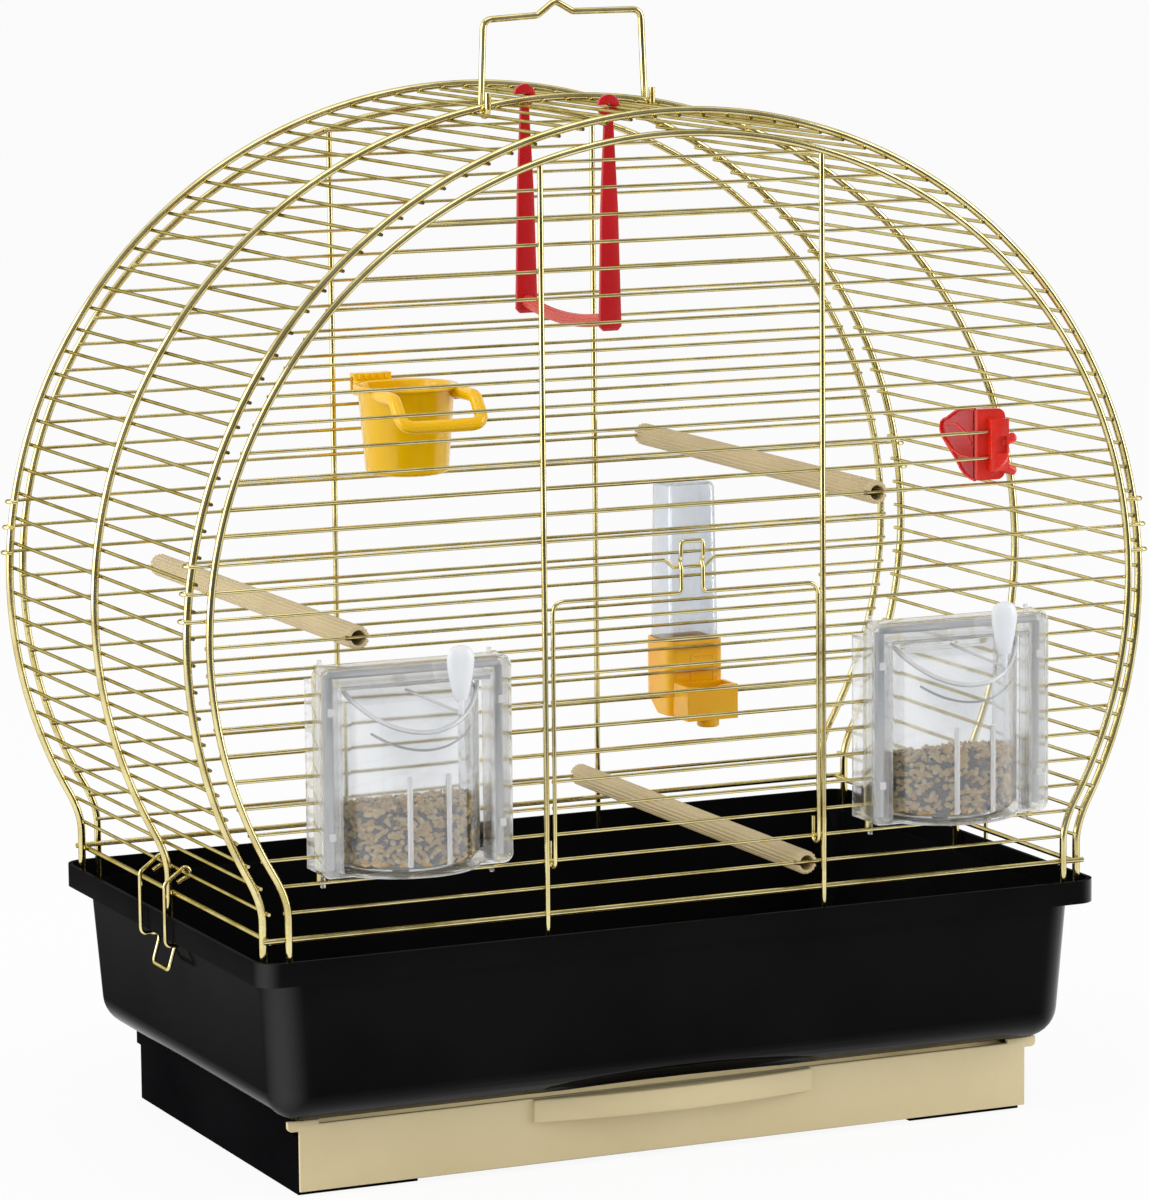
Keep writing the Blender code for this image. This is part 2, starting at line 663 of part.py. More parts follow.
def bend(points, radius):
    """Round the corners of a path of points with short arcs."""
    path = [Vector(points[0])]
    for before, corner, after in zip(points, points[1:], points[2:]):
        corner = Vector(corner)
        back = Vector(before) - corner
        ahead = Vector(after) - corner
        half = back.angle(ahead) / 2
        reach = min(radius / math.tan(half), back.length / 2, ahead.length / 2)
        start = corner + back.normalized() * reach
        end = corner + ahead.normalized() * reach
        for step in range(BEND_STEPS + 1):
            share = step / BEND_STEPS
            blend = start.lerp(corner, share).lerp(corner.lerp(end, share), share)
            path.append(blend)
    path.append(Vector(points[-1]))
    return path


def curl(centre, radius, start, sweep, along, up, steps=CURL_STEPS):
    """Points of an arc round a centre, in the plane of two unit vectors, in degrees."""
    points = []
    for step in range(steps + 1):
        angle = math.radians(start + sweep * step / steps)
        turn = math.cos(angle) * Vector(along) + math.sin(angle) * Vector(up)
        points.append(Vector(centre) + radius * turn)
    return points


def tray_half_sizes(z):
    """Outer half width and half depth of the tray's drafted wall at a height."""
    share = (z - TRAY_BOTTOM_Z) / TRAY_WALL_HEIGHT
    half_x = TRAY_BOTTOM_HALF_WIDTH + share * (TRAY_TOP_HALF_WIDTH - TRAY_BOTTOM_HALF_WIDTH)
    half_y = TRAY_BOTTOM_HALF_DEPTH + share * (TRAY_TOP_HALF_DEPTH - TRAY_BOTTOM_HALF_DEPTH)
    return half_x, half_y


def tray_wall_ring(z, inset):
    """Ring on the tray's wall at a height, drawn in by an inset."""
    half_x, half_y = tray_half_sizes(z)
    corner = max(TRAY_CORNER - inset, TRAY_WALL)
    return rounded_ring(half_x - inset, half_y - inset, corner, z)


def edge_rings(radius, base_z, inset):
    """Rings round the tray's lower edge, from its underside up to the end of the curve."""
    rings = []
    for step in range(CORNER_STEPS + 1):
        angle = math.pi / 2 * step / CORNER_STEPS
        z = base_z + radius * (1 - math.cos(angle))
        rings.append(tray_wall_ring(z, inset + radius * (1 - math.sin(angle))))
    return rings


def make_tray():
    """Deep tray with a rim, an upstanding lip, a hatch in its floor and a finger scoop."""
    outer = edge_rings(TRAY_EDGE_RADIUS, TRAY_BOTTOM_Z, 0.0)
    lip_top = TRAY_RIM_Z + TRAY_LIP_HEIGHT
    lip_in = TRAY_LIP_THICKNESS
    rim = (TRAY_LIP_HALF_WIDTH, TRAY_LIP_HALF_DEPTH, TRAY_RIM_CORNER)
    inner_rim = tuple(size - lip_in for size in rim)
    floor_z = TRAY_BOTTOM_Z + TRAY_FLOOR
    inner = edge_rings(TRAY_EDGE_RADIUS - TRAY_WALL, floor_z, TRAY_WALL)
    half_x, half_y = tray_half_sizes(TRAY_RIM_Z)
    ledge = (half_x - TRAY_WALL, half_y - TRAY_WALL, TRAY_CORNER - TRAY_WALL)
    rings = outer + [tray_wall_ring(TRAY_RIM_Z, 0.0)]
    rings += [rounded_ring(*rim, TRAY_RIM_Z), rounded_ring(*rim, lip_top)]
    rings += [rounded_ring(*inner_rim, lip_top), rounded_ring(*inner_rim, TRAY_LEDGE_Z)]
    rings.append(rounded_ring(*ledge, TRAY_LEDGE_Z))
    rings += reversed(inner)
    hatch = (TRAY_HATCH_HALF_WIDTH, TRAY_HATCH_HALF_DEPTH, TRAY_HATCH_CORNER)
    rings += [rounded_ring(*hatch, floor_z), rounded_ring(*hatch, TRAY_BOTTOM_Z)]
    tray = loft("tray_shell", rings, closed=True)

    core = loft("tray_core", outer + [tray_wall_ring(TRAY_RIM_Z, 0.0)])
    sizes = (SCOOP_HALF_WIDTH, SCOOP_HALF_DEPTH, SCOOP_HALF_HEIGHT)
    centre = (0.0, -TRAY_BOTTOM_HALF_DEPTH, TRAY_BOTTOM_Z)
    backing = ellipsoid("scoop_backing", centre, [size + TRAY_WALL for size in sizes])
    combine(core, backing, "INTERSECT")
    join(tray, core)
    cut(tray, ellipsoid("scoop", centre, sizes))
    return finish_piece(tray, "tray_base", BLACK)


def ellipsoid(name, centre, radii):
    """Make an ellipsoid from its three radii."""
    build = bmesh.new()
    shape = Matrix.Translation(Vector(centre)) @ Matrix.Diagonal((*radii, 1.0))
    bmesh.ops.create_uvsphere(build, u_segments=SCOOP_SIDES, v_segments=SCOOP_SIDES // 2,
                              radius=1.0, matrix=shape)
    return from_bmesh(name, build)


def make_housing():
    """Housing under the tray: floor, back and side walls, a stepped band and a top flange."""
    band = HOUSING_HALF_WIDTH + HOUSING_BAND_STEP
    band_z = HOUSING_HEIGHT - HOUSING_BAND_HEIGHT
    right = [(HOUSING_HALF_WIDTH, 0.0), (HOUSING_HALF_WIDTH, band_z), (band, band_z), (band, HOUSING_HEIGHT)]
    left = [(-x, z) for x, z in reversed(right)]
    housing = prism("housing_block", right + left, -HOUSING_HALF_DEPTH, HOUSING_HALF_DEPTH)
    narrow = HOUSING_HALF_WIDTH - HOUSING_WALL
    wide = band - HOUSING_WALL
    top = HOUSING_HEIGHT - HOUSING_FLANGE
    right = [(narrow, HOUSING_FLOOR), (narrow, HOUSING_LEDGE_Z), (wide, HOUSING_LEDGE_Z), (wide, top)]
    left = [(-x, z) for x, z in reversed(right)]
    front = -HOUSING_HALF_DEPTH - OVERRUN
    cut(housing, prism("housing_bay", right + left, front, HOUSING_HALF_DEPTH - HOUSING_WALL))
    well_x = band - HOUSING_FLANGE_REACH
    well_high = (well_x, HOUSING_HALF_DEPTH - HOUSING_FLANGE_REACH, HOUSING_HEIGHT + OVERRUN)
    cut(housing, box("housing_well", (-well_x, front, top - HOUSING_FLANGE), well_high))
    pad = HOUSING_HALF_WIDTH - HOUSING_PAD_WIDTH
    notch = (pad, -HOUSING_HALF_DEPTH + HOUSING_NOTCH_DEPTH, HOUSING_PAD_HEIGHT)
    cut(housing, box("housing_notch", (-pad, front, -OVERRUN), notch))
    return finish_piece(housing, "drawer_housing", BLACK)


def make_drawer():
    """Dirt drawer on side flanges, with a front, two ears and a bowed pull."""
    half_x = HOUSING_HALF_WIDTH - HOUSING_WALL - DRAWER_SIDE_CLEARANCE
    flange_x = HOUSING_HALF_WIDTH + HOUSING_BAND_STEP - HOUSING_WALL - GAP
    flange_z = HOUSING_LEDGE_Z + GAP
    top = flange_z + DRAWER_FLANGE_THICKNESS
    bottom = HOUSING_FLOOR + DRAWER_FLOOR_CLEARANCE
    back = HOUSING_HALF_DEPTH - HOUSING_WALL - GAP
    front_back = -HOUSING_HALF_DEPTH - DRAWER_FRONT_STANDOFF
    front = front_back - DRAWER_FRONT_THICKNESS
    centre = (0.0, (back + front_back) / 2)
    half_y = (back - front_back) / 2
    corner = DRAWER_CORNER
    flange_shape = (flange_x, half_y, corner)
    tub_y = half_y - DRAWER_FLANGE_LAP
    tub = (half_x, tub_y, corner)
    hollow = (half_x - DRAWER_WALL, tub_y - DRAWER_WALL, corner - DRAWER_WALL)
    rings = [rounded_ring(*tub, bottom, centre), rounded_ring(*tub, flange_z, centre)]
    rings += [rounded_ring(*flange_shape, flange_z, centre), rounded_ring(*flange_shape, top, centre)]
    rings += [rounded_ring(*hollow, top, centre), rounded_ring(*hollow, bottom + DRAWER_WALL, centre)]
    drawer = loft("drawer_tub", rings)
    ear_x = HOUSING_HALF_WIDTH + DRAWER_FRONT_OVERLAP
    ear_bottom = HOUSING_HEIGHT - DRAWER_EAR_TOP_DROP - DRAWER_EAR_HEIGHT
    front_top = HOUSING_HEIGHT - DRAWER_FRONT_TOP_DROP
    ear_top = HOUSING_HEIGHT - DRAWER_EAR_TOP_DROP
    ear_in = ear_x - DRAWER_EAR_INNER_LAP
    ear_out = ear_x + DRAWER_EAR_REACH
    ear_round = DRAWER_EAR_HEIGHT / 2
    right = [(ear_x, DRAWER_FRONT_LIFT), (ear_x, ear_bottom), (ear_out - ear_round, ear_bottom),
             (ear_out, ear_bottom + ear_round), (ear_out, ear_top), (ear_in, ear_top), (ear_in, front_top)]
    left = [(-x, z) for x, z in reversed(right)]
    weld_y = front_back + DRAWER_FLANGE_LAP + DRAWER_WALL / 2
    join(drawer, prism("drawer_front", right + left, front, weld_y))
    pull_z = front_top - PULL_HEIGHT
    outer = pull_outline(front, PULL_HALF_WIDTH, PULL_BOW, PULL_END_DEPTH, DRAWER_FRONT_THICKNESS / 2)
    pull = prism("drawer_pull", outer, pull_z, front_top - WELD, "Z")
    inner = pull_outline(front, PULL_HALF_WIDTH - PULL_WALL, PULL_BOW - PULL_WALL,
                         PULL_END_DEPTH - PULL_WALL / 2, OVERRUN)
    cut(pull, prism("pull_hollow", inner, pull_z - OVERRUN, front_top - PULL_WALL, "Z"))
    join(drawer, pull)
    return finish_piece(drawer, "drawer", BEIGE)


def pull_outline(front, half_width, bow, end_depth, sink):
    """Plan of the bowed pull: deep in the middle, shallow at its ends, flat behind."""
    points = []
    for step in range(PULL_STEPS + 1):
        share = 2.0 * step / PULL_STEPS - 1.0
        depth = end_depth + (bow - end_depth) * (1.0 - share * share)
        points.append((half_width * share, front - depth))
    return points + [(half_width, front + sink), (-half_width, front + sink)]


def make_barrel():
    """Three hoops with legs, and the depth wires welded inside them."""
    hoop_ys = (-BARREL_HALF_DEPTH, 0.0, BARREL_HALF_DEPTH)
    barrel = wire("barrel_hoops", [BARREL_ARCH.path(y) for y in hoop_ys], HOOP_WIRE, STOUT)
    face = BARREL_HALF_DEPTH + 0.5 * HOOP_WIRE
    places = [Vector((0.0, 0.0, CREST_WIRE_Z))]
    for point, inward in BARREL_ARCH.places(BARREL_PITCH, BARREL_WIRES_EACH_SIDE - 1):
        centre = point + inward * HOOP_INSET
        places += [centre, Vector((-centre.x, 0.0, centre.z))]
    places += [Vector((side * LEG_WIRE_X, 0.0, LEG_WIRE_Z)) for side in (-1, 1)]
    end = face + BARREL_STUB
    paths = [[Vector((p.x, -end, p.z)), Vector((p.x, end, p.z))] for p in places]
    join(barrel, wire("depth_wires", paths, FINE_WIRE))
    edge_z = FOOT_Z + BARREL_EDGE_HEIGHT
    edge_x = BARREL_ARCH.half_x(edge_z) - 0.5 * (HOOP_WIRE + EDGE_WIRE * FLAT_SHARE) + WELD
    paths = [[(side * edge_x, -face, edge_z), (side * edge_x, face, edge_z)] for side in (-1, 1)]
    join(barrel, wire("edge_wires", paths, EDGE_WIRE, STOUT))
    return finish_piece(barrel, "barrel", BRASS)


def hook_path(height, start_x, side):
    """A panel wire that runs out from start_x and hooks round the barrel's end hoop."""
    hoop_x = BARREL_ARCH.half_x(height)
    radius = PANEL_WIRE_Y - BARREL_HALF_DEPTH
    centre = (side * hoop_x, -BARREL_HALF_DEPTH, height)
    arc = curl(centre, radius, -90.0, 180.0, (side, 0, 0), (0, 1, 0))
    return [Vector((start_x, -PANEL_WIRE_Y, height))] + arc


def panel_wire_paths(index, has_openings):
    """Paths of one horizontal wire of the front panel: one run, or runs beside the openings."""
    height = level(index)
    reach = PANEL_ARCH.half_x(height) + 0.5 * PANEL_HOOP_WIRE * FLAT_SHARE
    hooked = index in HOOKED_LEVELS
    stops = []
    if has_openings and index in FEEDER_OPEN_LEVELS:
        stops.append((FEEDER_X - FEEDER_OPENING_HALF_WIDTH, FEEDER_X + FEEDER_OPENING_HALF_WIDTH))
    if has_openings and index in DOOR_OPEN_LEVELS:
        stops.append((0.0, PANEL_UPRIGHT_X - 0.5 * UPRIGHT_WIRE))
    if not stops:
        middle = []
        if has_openings and index == DOOR_LATCH_LEVEL:
            low = height - LATCH_BOW_DROP
            near = LATCH_BOW_HALF_WIDTH
            far = near + LATCH_BOW_RUN
            shape = ((-far, height), (-near, low), (near, low), (far, height))
            middle = [(LATCH_X + x, -PANEL_WIRE_Y, z) for x, z in shape]
            middle = [(middle[0][0] - LATCH_BOW_RUN, -PANEL_WIRE_Y, height)] + middle
            middle += [(middle[-1][0] + LATCH_BOW_RUN, -PANEL_WIRE_Y, height)]
            middle = bend(middle, LATCH_BEND)
        if hooked:
            left = list(reversed(hook_path(height, 0.0, -1)))[:-1]
            right = hook_path(height, 0.0, 1)[1:]
        else:
            left = [Vector((-reach, -PANEL_WIRE_Y, height))]
            right = [Vector((reach, -PANEL_WIRE_Y, height))]
        return [left + [Vector(point) for point in middle] + right]
    paths = []
    for side in (-1, 1):
        edge = reach
        for near, far in sorted(stops, reverse=True):
            start = Vector((side * far, -PANEL_WIRE_Y, height))
            if edge == reach and hooked:
                paths.append(hook_path(height, side * far, side))
            else:
                paths.append([start, Vector((side * edge, -PANEL_WIRE_Y, height))])
            edge = near
    return paths


def make_panel(name, has_openings):
    """End panel at -Y: hoop, edge wire, horizontal wires, two uprights and feeder posts."""
    panel = wire("panel_hoop", [PANEL_ARCH.path(-PANEL_HOOP_Y)], PANEL_HOOP_WIRE, STOUT)
    paths = []
    for index in range(1, panel_wire_count() + 1):
        paths += panel_wire_paths(index, has_openings)
    join(panel, wire("panel_wires", paths, FINE_WIRE))
    edge_end = BARREL_ARCH.half_x(level(0)) + PANEL_EDGE_END
    edge = [(-edge_end, -PANEL_EDGE_Y, level(0)), (edge_end, -PANEL_EDGE_Y, level(0))]
    join(panel, wire("panel_edge", [edge], EDGE_WIRE, THIN))
    share = PANEL_UPRIGHT_X / PANEL_HALF_WIDTH
    upright_top = PANEL_CENTRE_Z + PANEL_RISE * math.sqrt(1.0 - share * share)
    uprights = []
    for side in (-1, 1):
        foot = Vector((side * PANEL_UPRIGHT_X, -UPRIGHT_Y, FOOT_Z))
        uprights.append([foot, Vector((foot.x, -UPRIGHT_Y, upright_top))])
    join(panel, wire("panel_uprights", uprights, UPRIGHT_WIRE, STOUT))
    if has_openings:
        posts = []
        for x in (-FEEDER_X, FEEDER_X):
            for side in (-1, 1):
                post_x = x + side * FEEDER_OPENING_HALF_WIDTH
                low = Vector((post_x, -POST_Y, level(FEEDER_LOW_LEVEL) - 0.5 * FINE_WIRE))
                posts.append([low, Vector((post_x, -POST_Y, level(FEEDER_HIGH_LEVEL) + 0.5 * FINE_WIRE))])
        join(panel, wire("feeder_posts", posts, POST_WIRE, STOUT))
    if name == "back_panel":
        panel.data.transform(Matrix.Rotation(math.pi, 4, "Z"))
    return finish_piece(panel, name, BRASS)


def door_half(side):
    """Half of the door's wire, from its tail behind the hinge wire up to the latch loop."""
    hinge = Vector((0.0, -PANEL_WIRE_Y, level(DOOR_HINGE_LEVEL)))
    x = side * DOOR_SIDE_X
    rail_z = level(DOOR_LATCH_LEVEL - 1) - DOOR_RAIL_DROP
    hook = curl((x, hinge.y, hinge.z), DOOR_STANDOFF, 0.0, -180.0, (0, 1, 0), (0, 0, 1))
    tail = Vector((x, hinge.y + DOOR_STANDOFF, hinge.z + DOOR_TAIL))
    corner = Vector((x, -DOOR_Y, rail_z))
    riser_x = LATCH_X + side * LATCH_HALF_GAP
    latch_z = level(DOOR_LATCH_LEVEL) - LATCH_BOW_DROP
    loop_z = level(DOOR_LATCH_LEVEL) + LATCH_LOOP_RISE
    kink_y = -DOOR_Y + LATCH_KINK_SHARE * DOOR_STANDOFF
    kink_z = latch_z + 0.5 * (FINE_WIRE + DOOR_WIRE) + DOOR_WIRE / 2
    rise = [Vector((x, -DOOR_Y, hinge.z + DOOR_TAIL)), corner, Vector((riser_x, -DOOR_Y, rail_z))]
    rise = bend(rise, DOOR_CORNER)[:-1]
    loop_x = LATCH_X + side * LATCH_LOOP_HALF_WIDTH
    latch = [Vector((riser_x + side * DOOR_CORNER, -DOOR_Y, rail_z)), Vector((riser_x, -DOOR_Y, rail_z)),
             Vector((riser_x, -DOOR_Y, latch_z)), Vector((riser_x, kink_y, kink_z)),
             Vector((loop_x, -DOOR_Y, kink_z + DOOR_WIRE)), Vector((loop_x, -DOOR_Y, loop_z)),
             Vector((LATCH_X, -DOOR_Y, loop_z))]
    return [tail] + hook + rise + bend(latch, LATCH_BEND)


def make_door():
    """Drop-down door: one bent wire with hinge hooks and a latch loop, and nine bars."""
    left = door_half(-1)
    right = door_half(1)
    door = wire("door_frame", [left + list(reversed(right))[1:]], DOOR_WIRE, THIN)
    bars = []
    for index in range(min(DOOR_OPEN_LEVELS), DOOR_LAST_LEVEL + 1):
        end = DOOR_SIDE_X + 0.5 * DOOR_WIRE * SMALL_SHARE
        bars.append([(-end, -DOOR_BAR_Y, level(index)), (end, -DOOR_BAR_Y, level(index))])
    join(door, wire("door_bars", bars, FINE_WIRE))
    return finish_piece(door, "door", BRASS, (0.0, -PANEL_WIRE_Y, level(DOOR_HINGE_LEVEL)))


def handle_foot():
    """Place on the middle hoop where the handle's foot curls, midway between depth wires."""
    return BARREL_ARCH.places(BARREL_PITCH * HANDLE_WIRE_GAPS, 1)[0][0]


def make_handle():
    """Carrying handle: one bent wire with a hump, its ends curled round the middle hoop."""
    foot = handle_foot()
    radius = 0.5 * (HOOP_WIRE + HANDLE_WIRE) + GAP + HANDLE_CURL_CLEARANCE
    top = foot.z + HANDLE_HEIGHT
    halves = []
    for side in (-1, 1):
        centre = Vector((side * foot.x, 0.0, foot.z))
        tail = Vector((centre.x, -radius, foot.z + HANDLE_TAIL))
        hook = curl(centre, radius, 180.0, 180.0, (0, 1, 0), (0, 0, 1))
        halves.append([tail] + hook)
    left_top = Vector((-foot.x + HANDLE_LEG_LEAN, radius, top - HANDLE_TILT))
    right_top = Vector((foot.x - HANDLE_LEG_LEAN, radius, top + HANDLE_TILT))
    hump_left = Vector((HANDLE_HUMP_X - HANDLE_HUMP_HALF_WIDTH, radius, top))
    hump_right = Vector((HANDLE_HUMP_X + HANDLE_HUMP_HALF_WIDTH, radius, top + HANDLE_TILT))
    peak = Vector((HANDLE_HUMP_X, radius, top + HANDLE_HUMP_RISE))
    crown = bend([halves[0][-1], left_top, hump_left], HANDLE_CORNER)[1:-1]
    crown += bend([left_top, hump_left, peak, hump_right, right_top], HANDLE_HUMP_CORNER)[1:-1]
    crown += bend([hump_right, right_top, halves[1][-1]], HANDLE_CORNER)[1:-1]
    path = halves[0] + crown + list(reversed(halves[1]))
    handle = wire("handle_wire", [path], HANDLE_WIRE, STOUT)
    return finish_piece(handle, "handle", BRASS, (0.0, 0.0, foot.z))


def make_swing_arm(name, y):
    """Flat strap of the swing with a hook disc round the crest wire."""
    low = y - SWING_THICKNESS / 2
    high = y + SWING_THICKNESS / 2
    foot = CREST_WIRE_Z - SWING_LENGTH
    middle = CREST_WIRE_Z - SWING_LENGTH * SWING_MIDDLE_SHARE
    start = (0.0, low, CREST_WIRE_Z)
    arm = rod("swing_disc", start, (0.0, high, CREST_WIRE_Z), SWING_DISC_RADIUS, ROUND_SIDES)
    neck = CREST_WIRE_Z - SWING_DISC_RADIUS / 2
    half = [(SWING_NECK_HALF_WIDTH, neck), (SWING_MIDDLE_HALF_WIDTH, middle),
            (SWING_FOOT_HALF_WIDTH, foot + SWING_FOOT_HALF_WIDTH / 2),
            (SWING_FOOT_HALF_WIDTH * SMALL_SHARE, foot)]
    outline = half + [(-x, z) for x, z in reversed(half)]
    inset = (SWING_THICKNESS - 2 * WELD) / 2
    join(arm, prism("swing_strap", outline, y - inset, y + inset))
    hole = (0.5 * FINE_WIRE + GAP) / math.cos(math.pi / TUBE_SIDES)
    start = (0.0, low - OVERRUN, CREST_WIRE_Z)
    cut(arm, rod("swing_hole", start, (0.0, high + OVERRUN, CREST_WIRE_Z), hole))
    slot_low = (-SWING_DISC_RADIUS - OVERRUN, low - OVERRUN, CREST_WIRE_Z - SWING_SLOT_WIDTH / 2)
    cut(arm, box("swing_slot", slot_low, (0.0, high + OVERRUN, CREST_WIRE_Z + SWING_SLOT_WIDTH / 2)))
    return finish_piece(arm, name, RED, (0.0, y, CREST_WIRE_Z))


def make_swing_perch():
    """Sagging perch of the swing, from strap to strap."""
    inner = SWING_THICKNESS / 2 + GAP
    start = SWING_FRONT_Y + inner
    end = SWING_REAR_Y - inner
    z = CREST_WIRE_Z - SWING_LENGTH + SWING_PERCH_LIFT
    path = []
    for step in range(SWING_PERCH_STEPS + 1):
        share = step / SWING_PERCH_STEPS
        sag = SWING_PERCH_SAG * 4.0 * share * (1.0 - share)
        path.append((0.0, start + share * (end - start), z - sag))
    perch = wire("swing_bar", [path], SWING_PERCH_DIAMETER, STOUT)
    return finish_piece(perch, "swing_perch", PALE_RED, (0.0, start, z))


def make_perch(name, x, index):
    """Perch tube from panel to panel, its ends slotted over one wire of each panel."""
    z = level(index)
    end = PANEL_WIRE_Y + PERCH_END_LAP
    perch = rod("perch_rod", (x, -end, z), (x, end, z), PERCH_DIAMETER / 2)
    bore = PERCH_DIAMETER / 2 - PERCH_WALL
    cut(perch, rod("perch_bore", (x, -end - OVERRUN, z), (x, end + OVERRUN, z), bore))
    slot = FINE_WIRE / 2 + GAP
    for side in (-1, 1):
        ends = sorted((side * (PANEL_WIRE_Y - slot), side * (end + OVERRUN)))
        low = (x - PERCH_DIAMETER, ends[0], z - slot)
        cut(perch, box("perch_slot", low, (x + PERCH_DIAMETER, ends[1], z + slot)))
    return finish_piece(perch, name, TAN, (x, 0.0, z))


def make_cup():
    """Round cup with a flange, a hook over a back panel wire and a perch loop in front."""
    top = level(CUP_WIRE_LEVEL) - CUP_RIM_DROP
    bottom = top - CUP_HEIGHT
    wire_face = PANEL_WIRE_Y - 0.5 * FINE_WIRE
    y = wire_face - CUP_BACK_CLEARANCE - CUP_FLANGE_RADIUS
    flange_z = top - CUP_FLANGE_THICKNESS
    profile = [(0.0, bottom), (CUP_BASE_RADIUS, bottom), (CUP_BODY_RADIUS, flange_z),
               (CUP_FLANGE_RADIUS, flange_z), (CUP_FLANGE_RADIUS, top), (0.0, top)]
    cup = turned("cup_body", profile, (CUP_X, y, 0.0))
    root_z = top - CUP_LOOP_WIRE / 2
    bar_z = top - CUP_LOOP_DROP
    arm_y = y - CUP_LOOP_ROOT
    bar_y = y - CUP_LOOP_REACH
    arm_x = CUP_LOOP_HALF_WIDTH - CUP_LOOP_WIRE / 2
    start_x = CUP_BODY_RADIUS * SMALL_SHARE
    half = [(start_x, arm_y, root_z), (arm_x, arm_y - CUP_LOOP_ROOT, root_z),
            (arm_x, y - CUP_LOOP_ARM_REACH, root_z), (arm_x, bar_y, bar_z)]
    path = [(CUP_X - x, y_, z) for x, y_, z in half] + [(CUP_X + x, y_, z) for x, y_, z in reversed(half)]
    join(cup, wire("cup_loop", [bend(path, CUP_LOOP_CORNER)], CUP_LOOP_WIRE, STOUT))
    hook_x = CUP_X + CUP_HOOK_X_SHIFT
    wire_z = level(CUP_WIRE_LEVEL)
    inner = wire_face - GAP
    outer = PANEL_WIRE_Y + 0.5 * FINE_WIRE + GAP
    under = wire_z + 0.5 * FINE_WIRE + GAP
    thick = CUP_HOOK_THICKNESS
    root_y = y + CUP_BODY_RADIUS * SMALL_SHARE
    outline = [(root_y, top - CUP_HOOK_ROOT), (inner, top - CUP_HOOK_ROOT), (inner, under), (outer, under),
               (outer, wire_z - CUP_HOOK_TAIL), (outer + thick, wire_z - CUP_HOOK_TAIL),
               (outer + thick, under + thick), (inner - thick, under + thick),
               (inner - thick, top), (root_y, top)]
    low = hook_x - CUP_HOOK_HALF_WIDTH
    join(cup, prism("cup_hook", outline, low, hook_x + CUP_HOOK_HALF_WIDTH, "X"))
    hollow = [(0.0, bottom + CUP_WALL), (CUP_BASE_RADIUS - CUP_WALL, bottom + CUP_WALL),
              (CUP_BODY_RADIUS - CUP_WALL, flange_z), (CUP_BODY_RADIUS - CUP_WALL, top + OVERRUN),
              (0.0, top + OVERRUN)]
    cut(cup, turned("cup_hollow", hollow, (CUP_X, y, 0.0)))
    return finish_piece(cup, "cup", YELLOW)


def make_clip_holder():
    """Clip holder: a block behind two panel wires, a jaw round them, a wing and two prongs."""
    low_z = level(CLIP_LOWER_LEVEL)
    high_z = level(CLIP_LOWER_LEVEL + 1)
    back_face = -PANEL_WIRE_Y + 0.5 * FINE_WIRE + GAP
    left = CLIP_BLOCK_X - CLIP_BLOCK_HALF_WIDTH
    right = CLIP_BLOCK_X + CLIP_BLOCK_HALF_WIDTH
    bottom = low_z - CLIP_BLOCK_OVERHANG
    top = high_z + CLIP_BLOCK_OVERHANG
    round_ = CLIP_CORNER
    outline = [(left, bottom), (right - round_, bottom), (right, bottom + round_), (right, top - round_),
               (right - round_, top), (left, top)]
    holder = prism("clip_block", outline, back_face, back_face + CLIP_BLOCK_DEPTH)
    jaw_front = -PANEL_WIRE_Y - CLIP_JAW_DEPTH
    jaw_low = (right - CLIP_JAW_WIDTH, jaw_front, low_z - CLIP_JAW_OVERHANG)
    jaw_high = (right - WELD, back_face + CLIP_BLOCK_DEPTH / 2, high_z + CLIP_JAW_OVERHANG)
    join(holder, box("clip_jaw", jaw_low, jaw_high))
    back = back_face + CLIP_BLOCK_DEPTH / 2
    tall = top - bottom
    outline_shares = ((0.0, 0.0), (0.28, 0.05), (0.55, 0.25), (0.80, 0.42), (1.0, 0.60), (0.98, 0.72),
                      (0.80, 0.80), (0.55, 0.92), (0.28, 0.98), (0.0, 1.0))
    wing = [(back + along * CLIP_WING_LENGTH, bottom + up * tall) for along, up in outline_shares]
    join(holder, prism("clip_wing", wing, left, left + CLIP_WING_THICKNESS, "X"))
    prong_y = (jaw_front + back) / 2
    for z in (low_z - CLIP_PRONG_DROP, low_z + CLIP_PRONG_RISE):
        start = (right - CLIP_PRONG_SINK, prong_y, z)
        end = (right + CLIP_PRONG_REACH, prong_y, z)
        join(holder, rod("clip_prong", start, end, CLIP_PRONG_DIAMETER / 2))
    hole = (0.5 * FINE_WIRE + GAP) / math.cos(math.pi / TUBE_SIDES)
    for z in (low_z, high_z):
        start = (left - OVERRUN, -PANEL_WIRE_Y, z)
        end = (right + CLIP_PRONG_REACH + OVERRUN, -PANEL_WIRE_Y, z)
        cut(holder, rod("clip_hole", start, end, hole))
    return finish_piece(holder, "clip_holder", RED)


def drinker_places():
    """Centre of the drinker's tube in Y, the trough's floor height and the base's top height."""
    y = PANEL_WIRE_Y + 0.5 * FINE_WIRE + DRINKER_TUBE_STANDOFF + DRINKER_TUBE_HALF_DEPTH
    bottom = level(DRINKER_TROUGH_LEVEL) + 0.5 * FINE_WIRE + GAP
    return y, bottom, bottom + DRINKER_BASE_HEIGHT


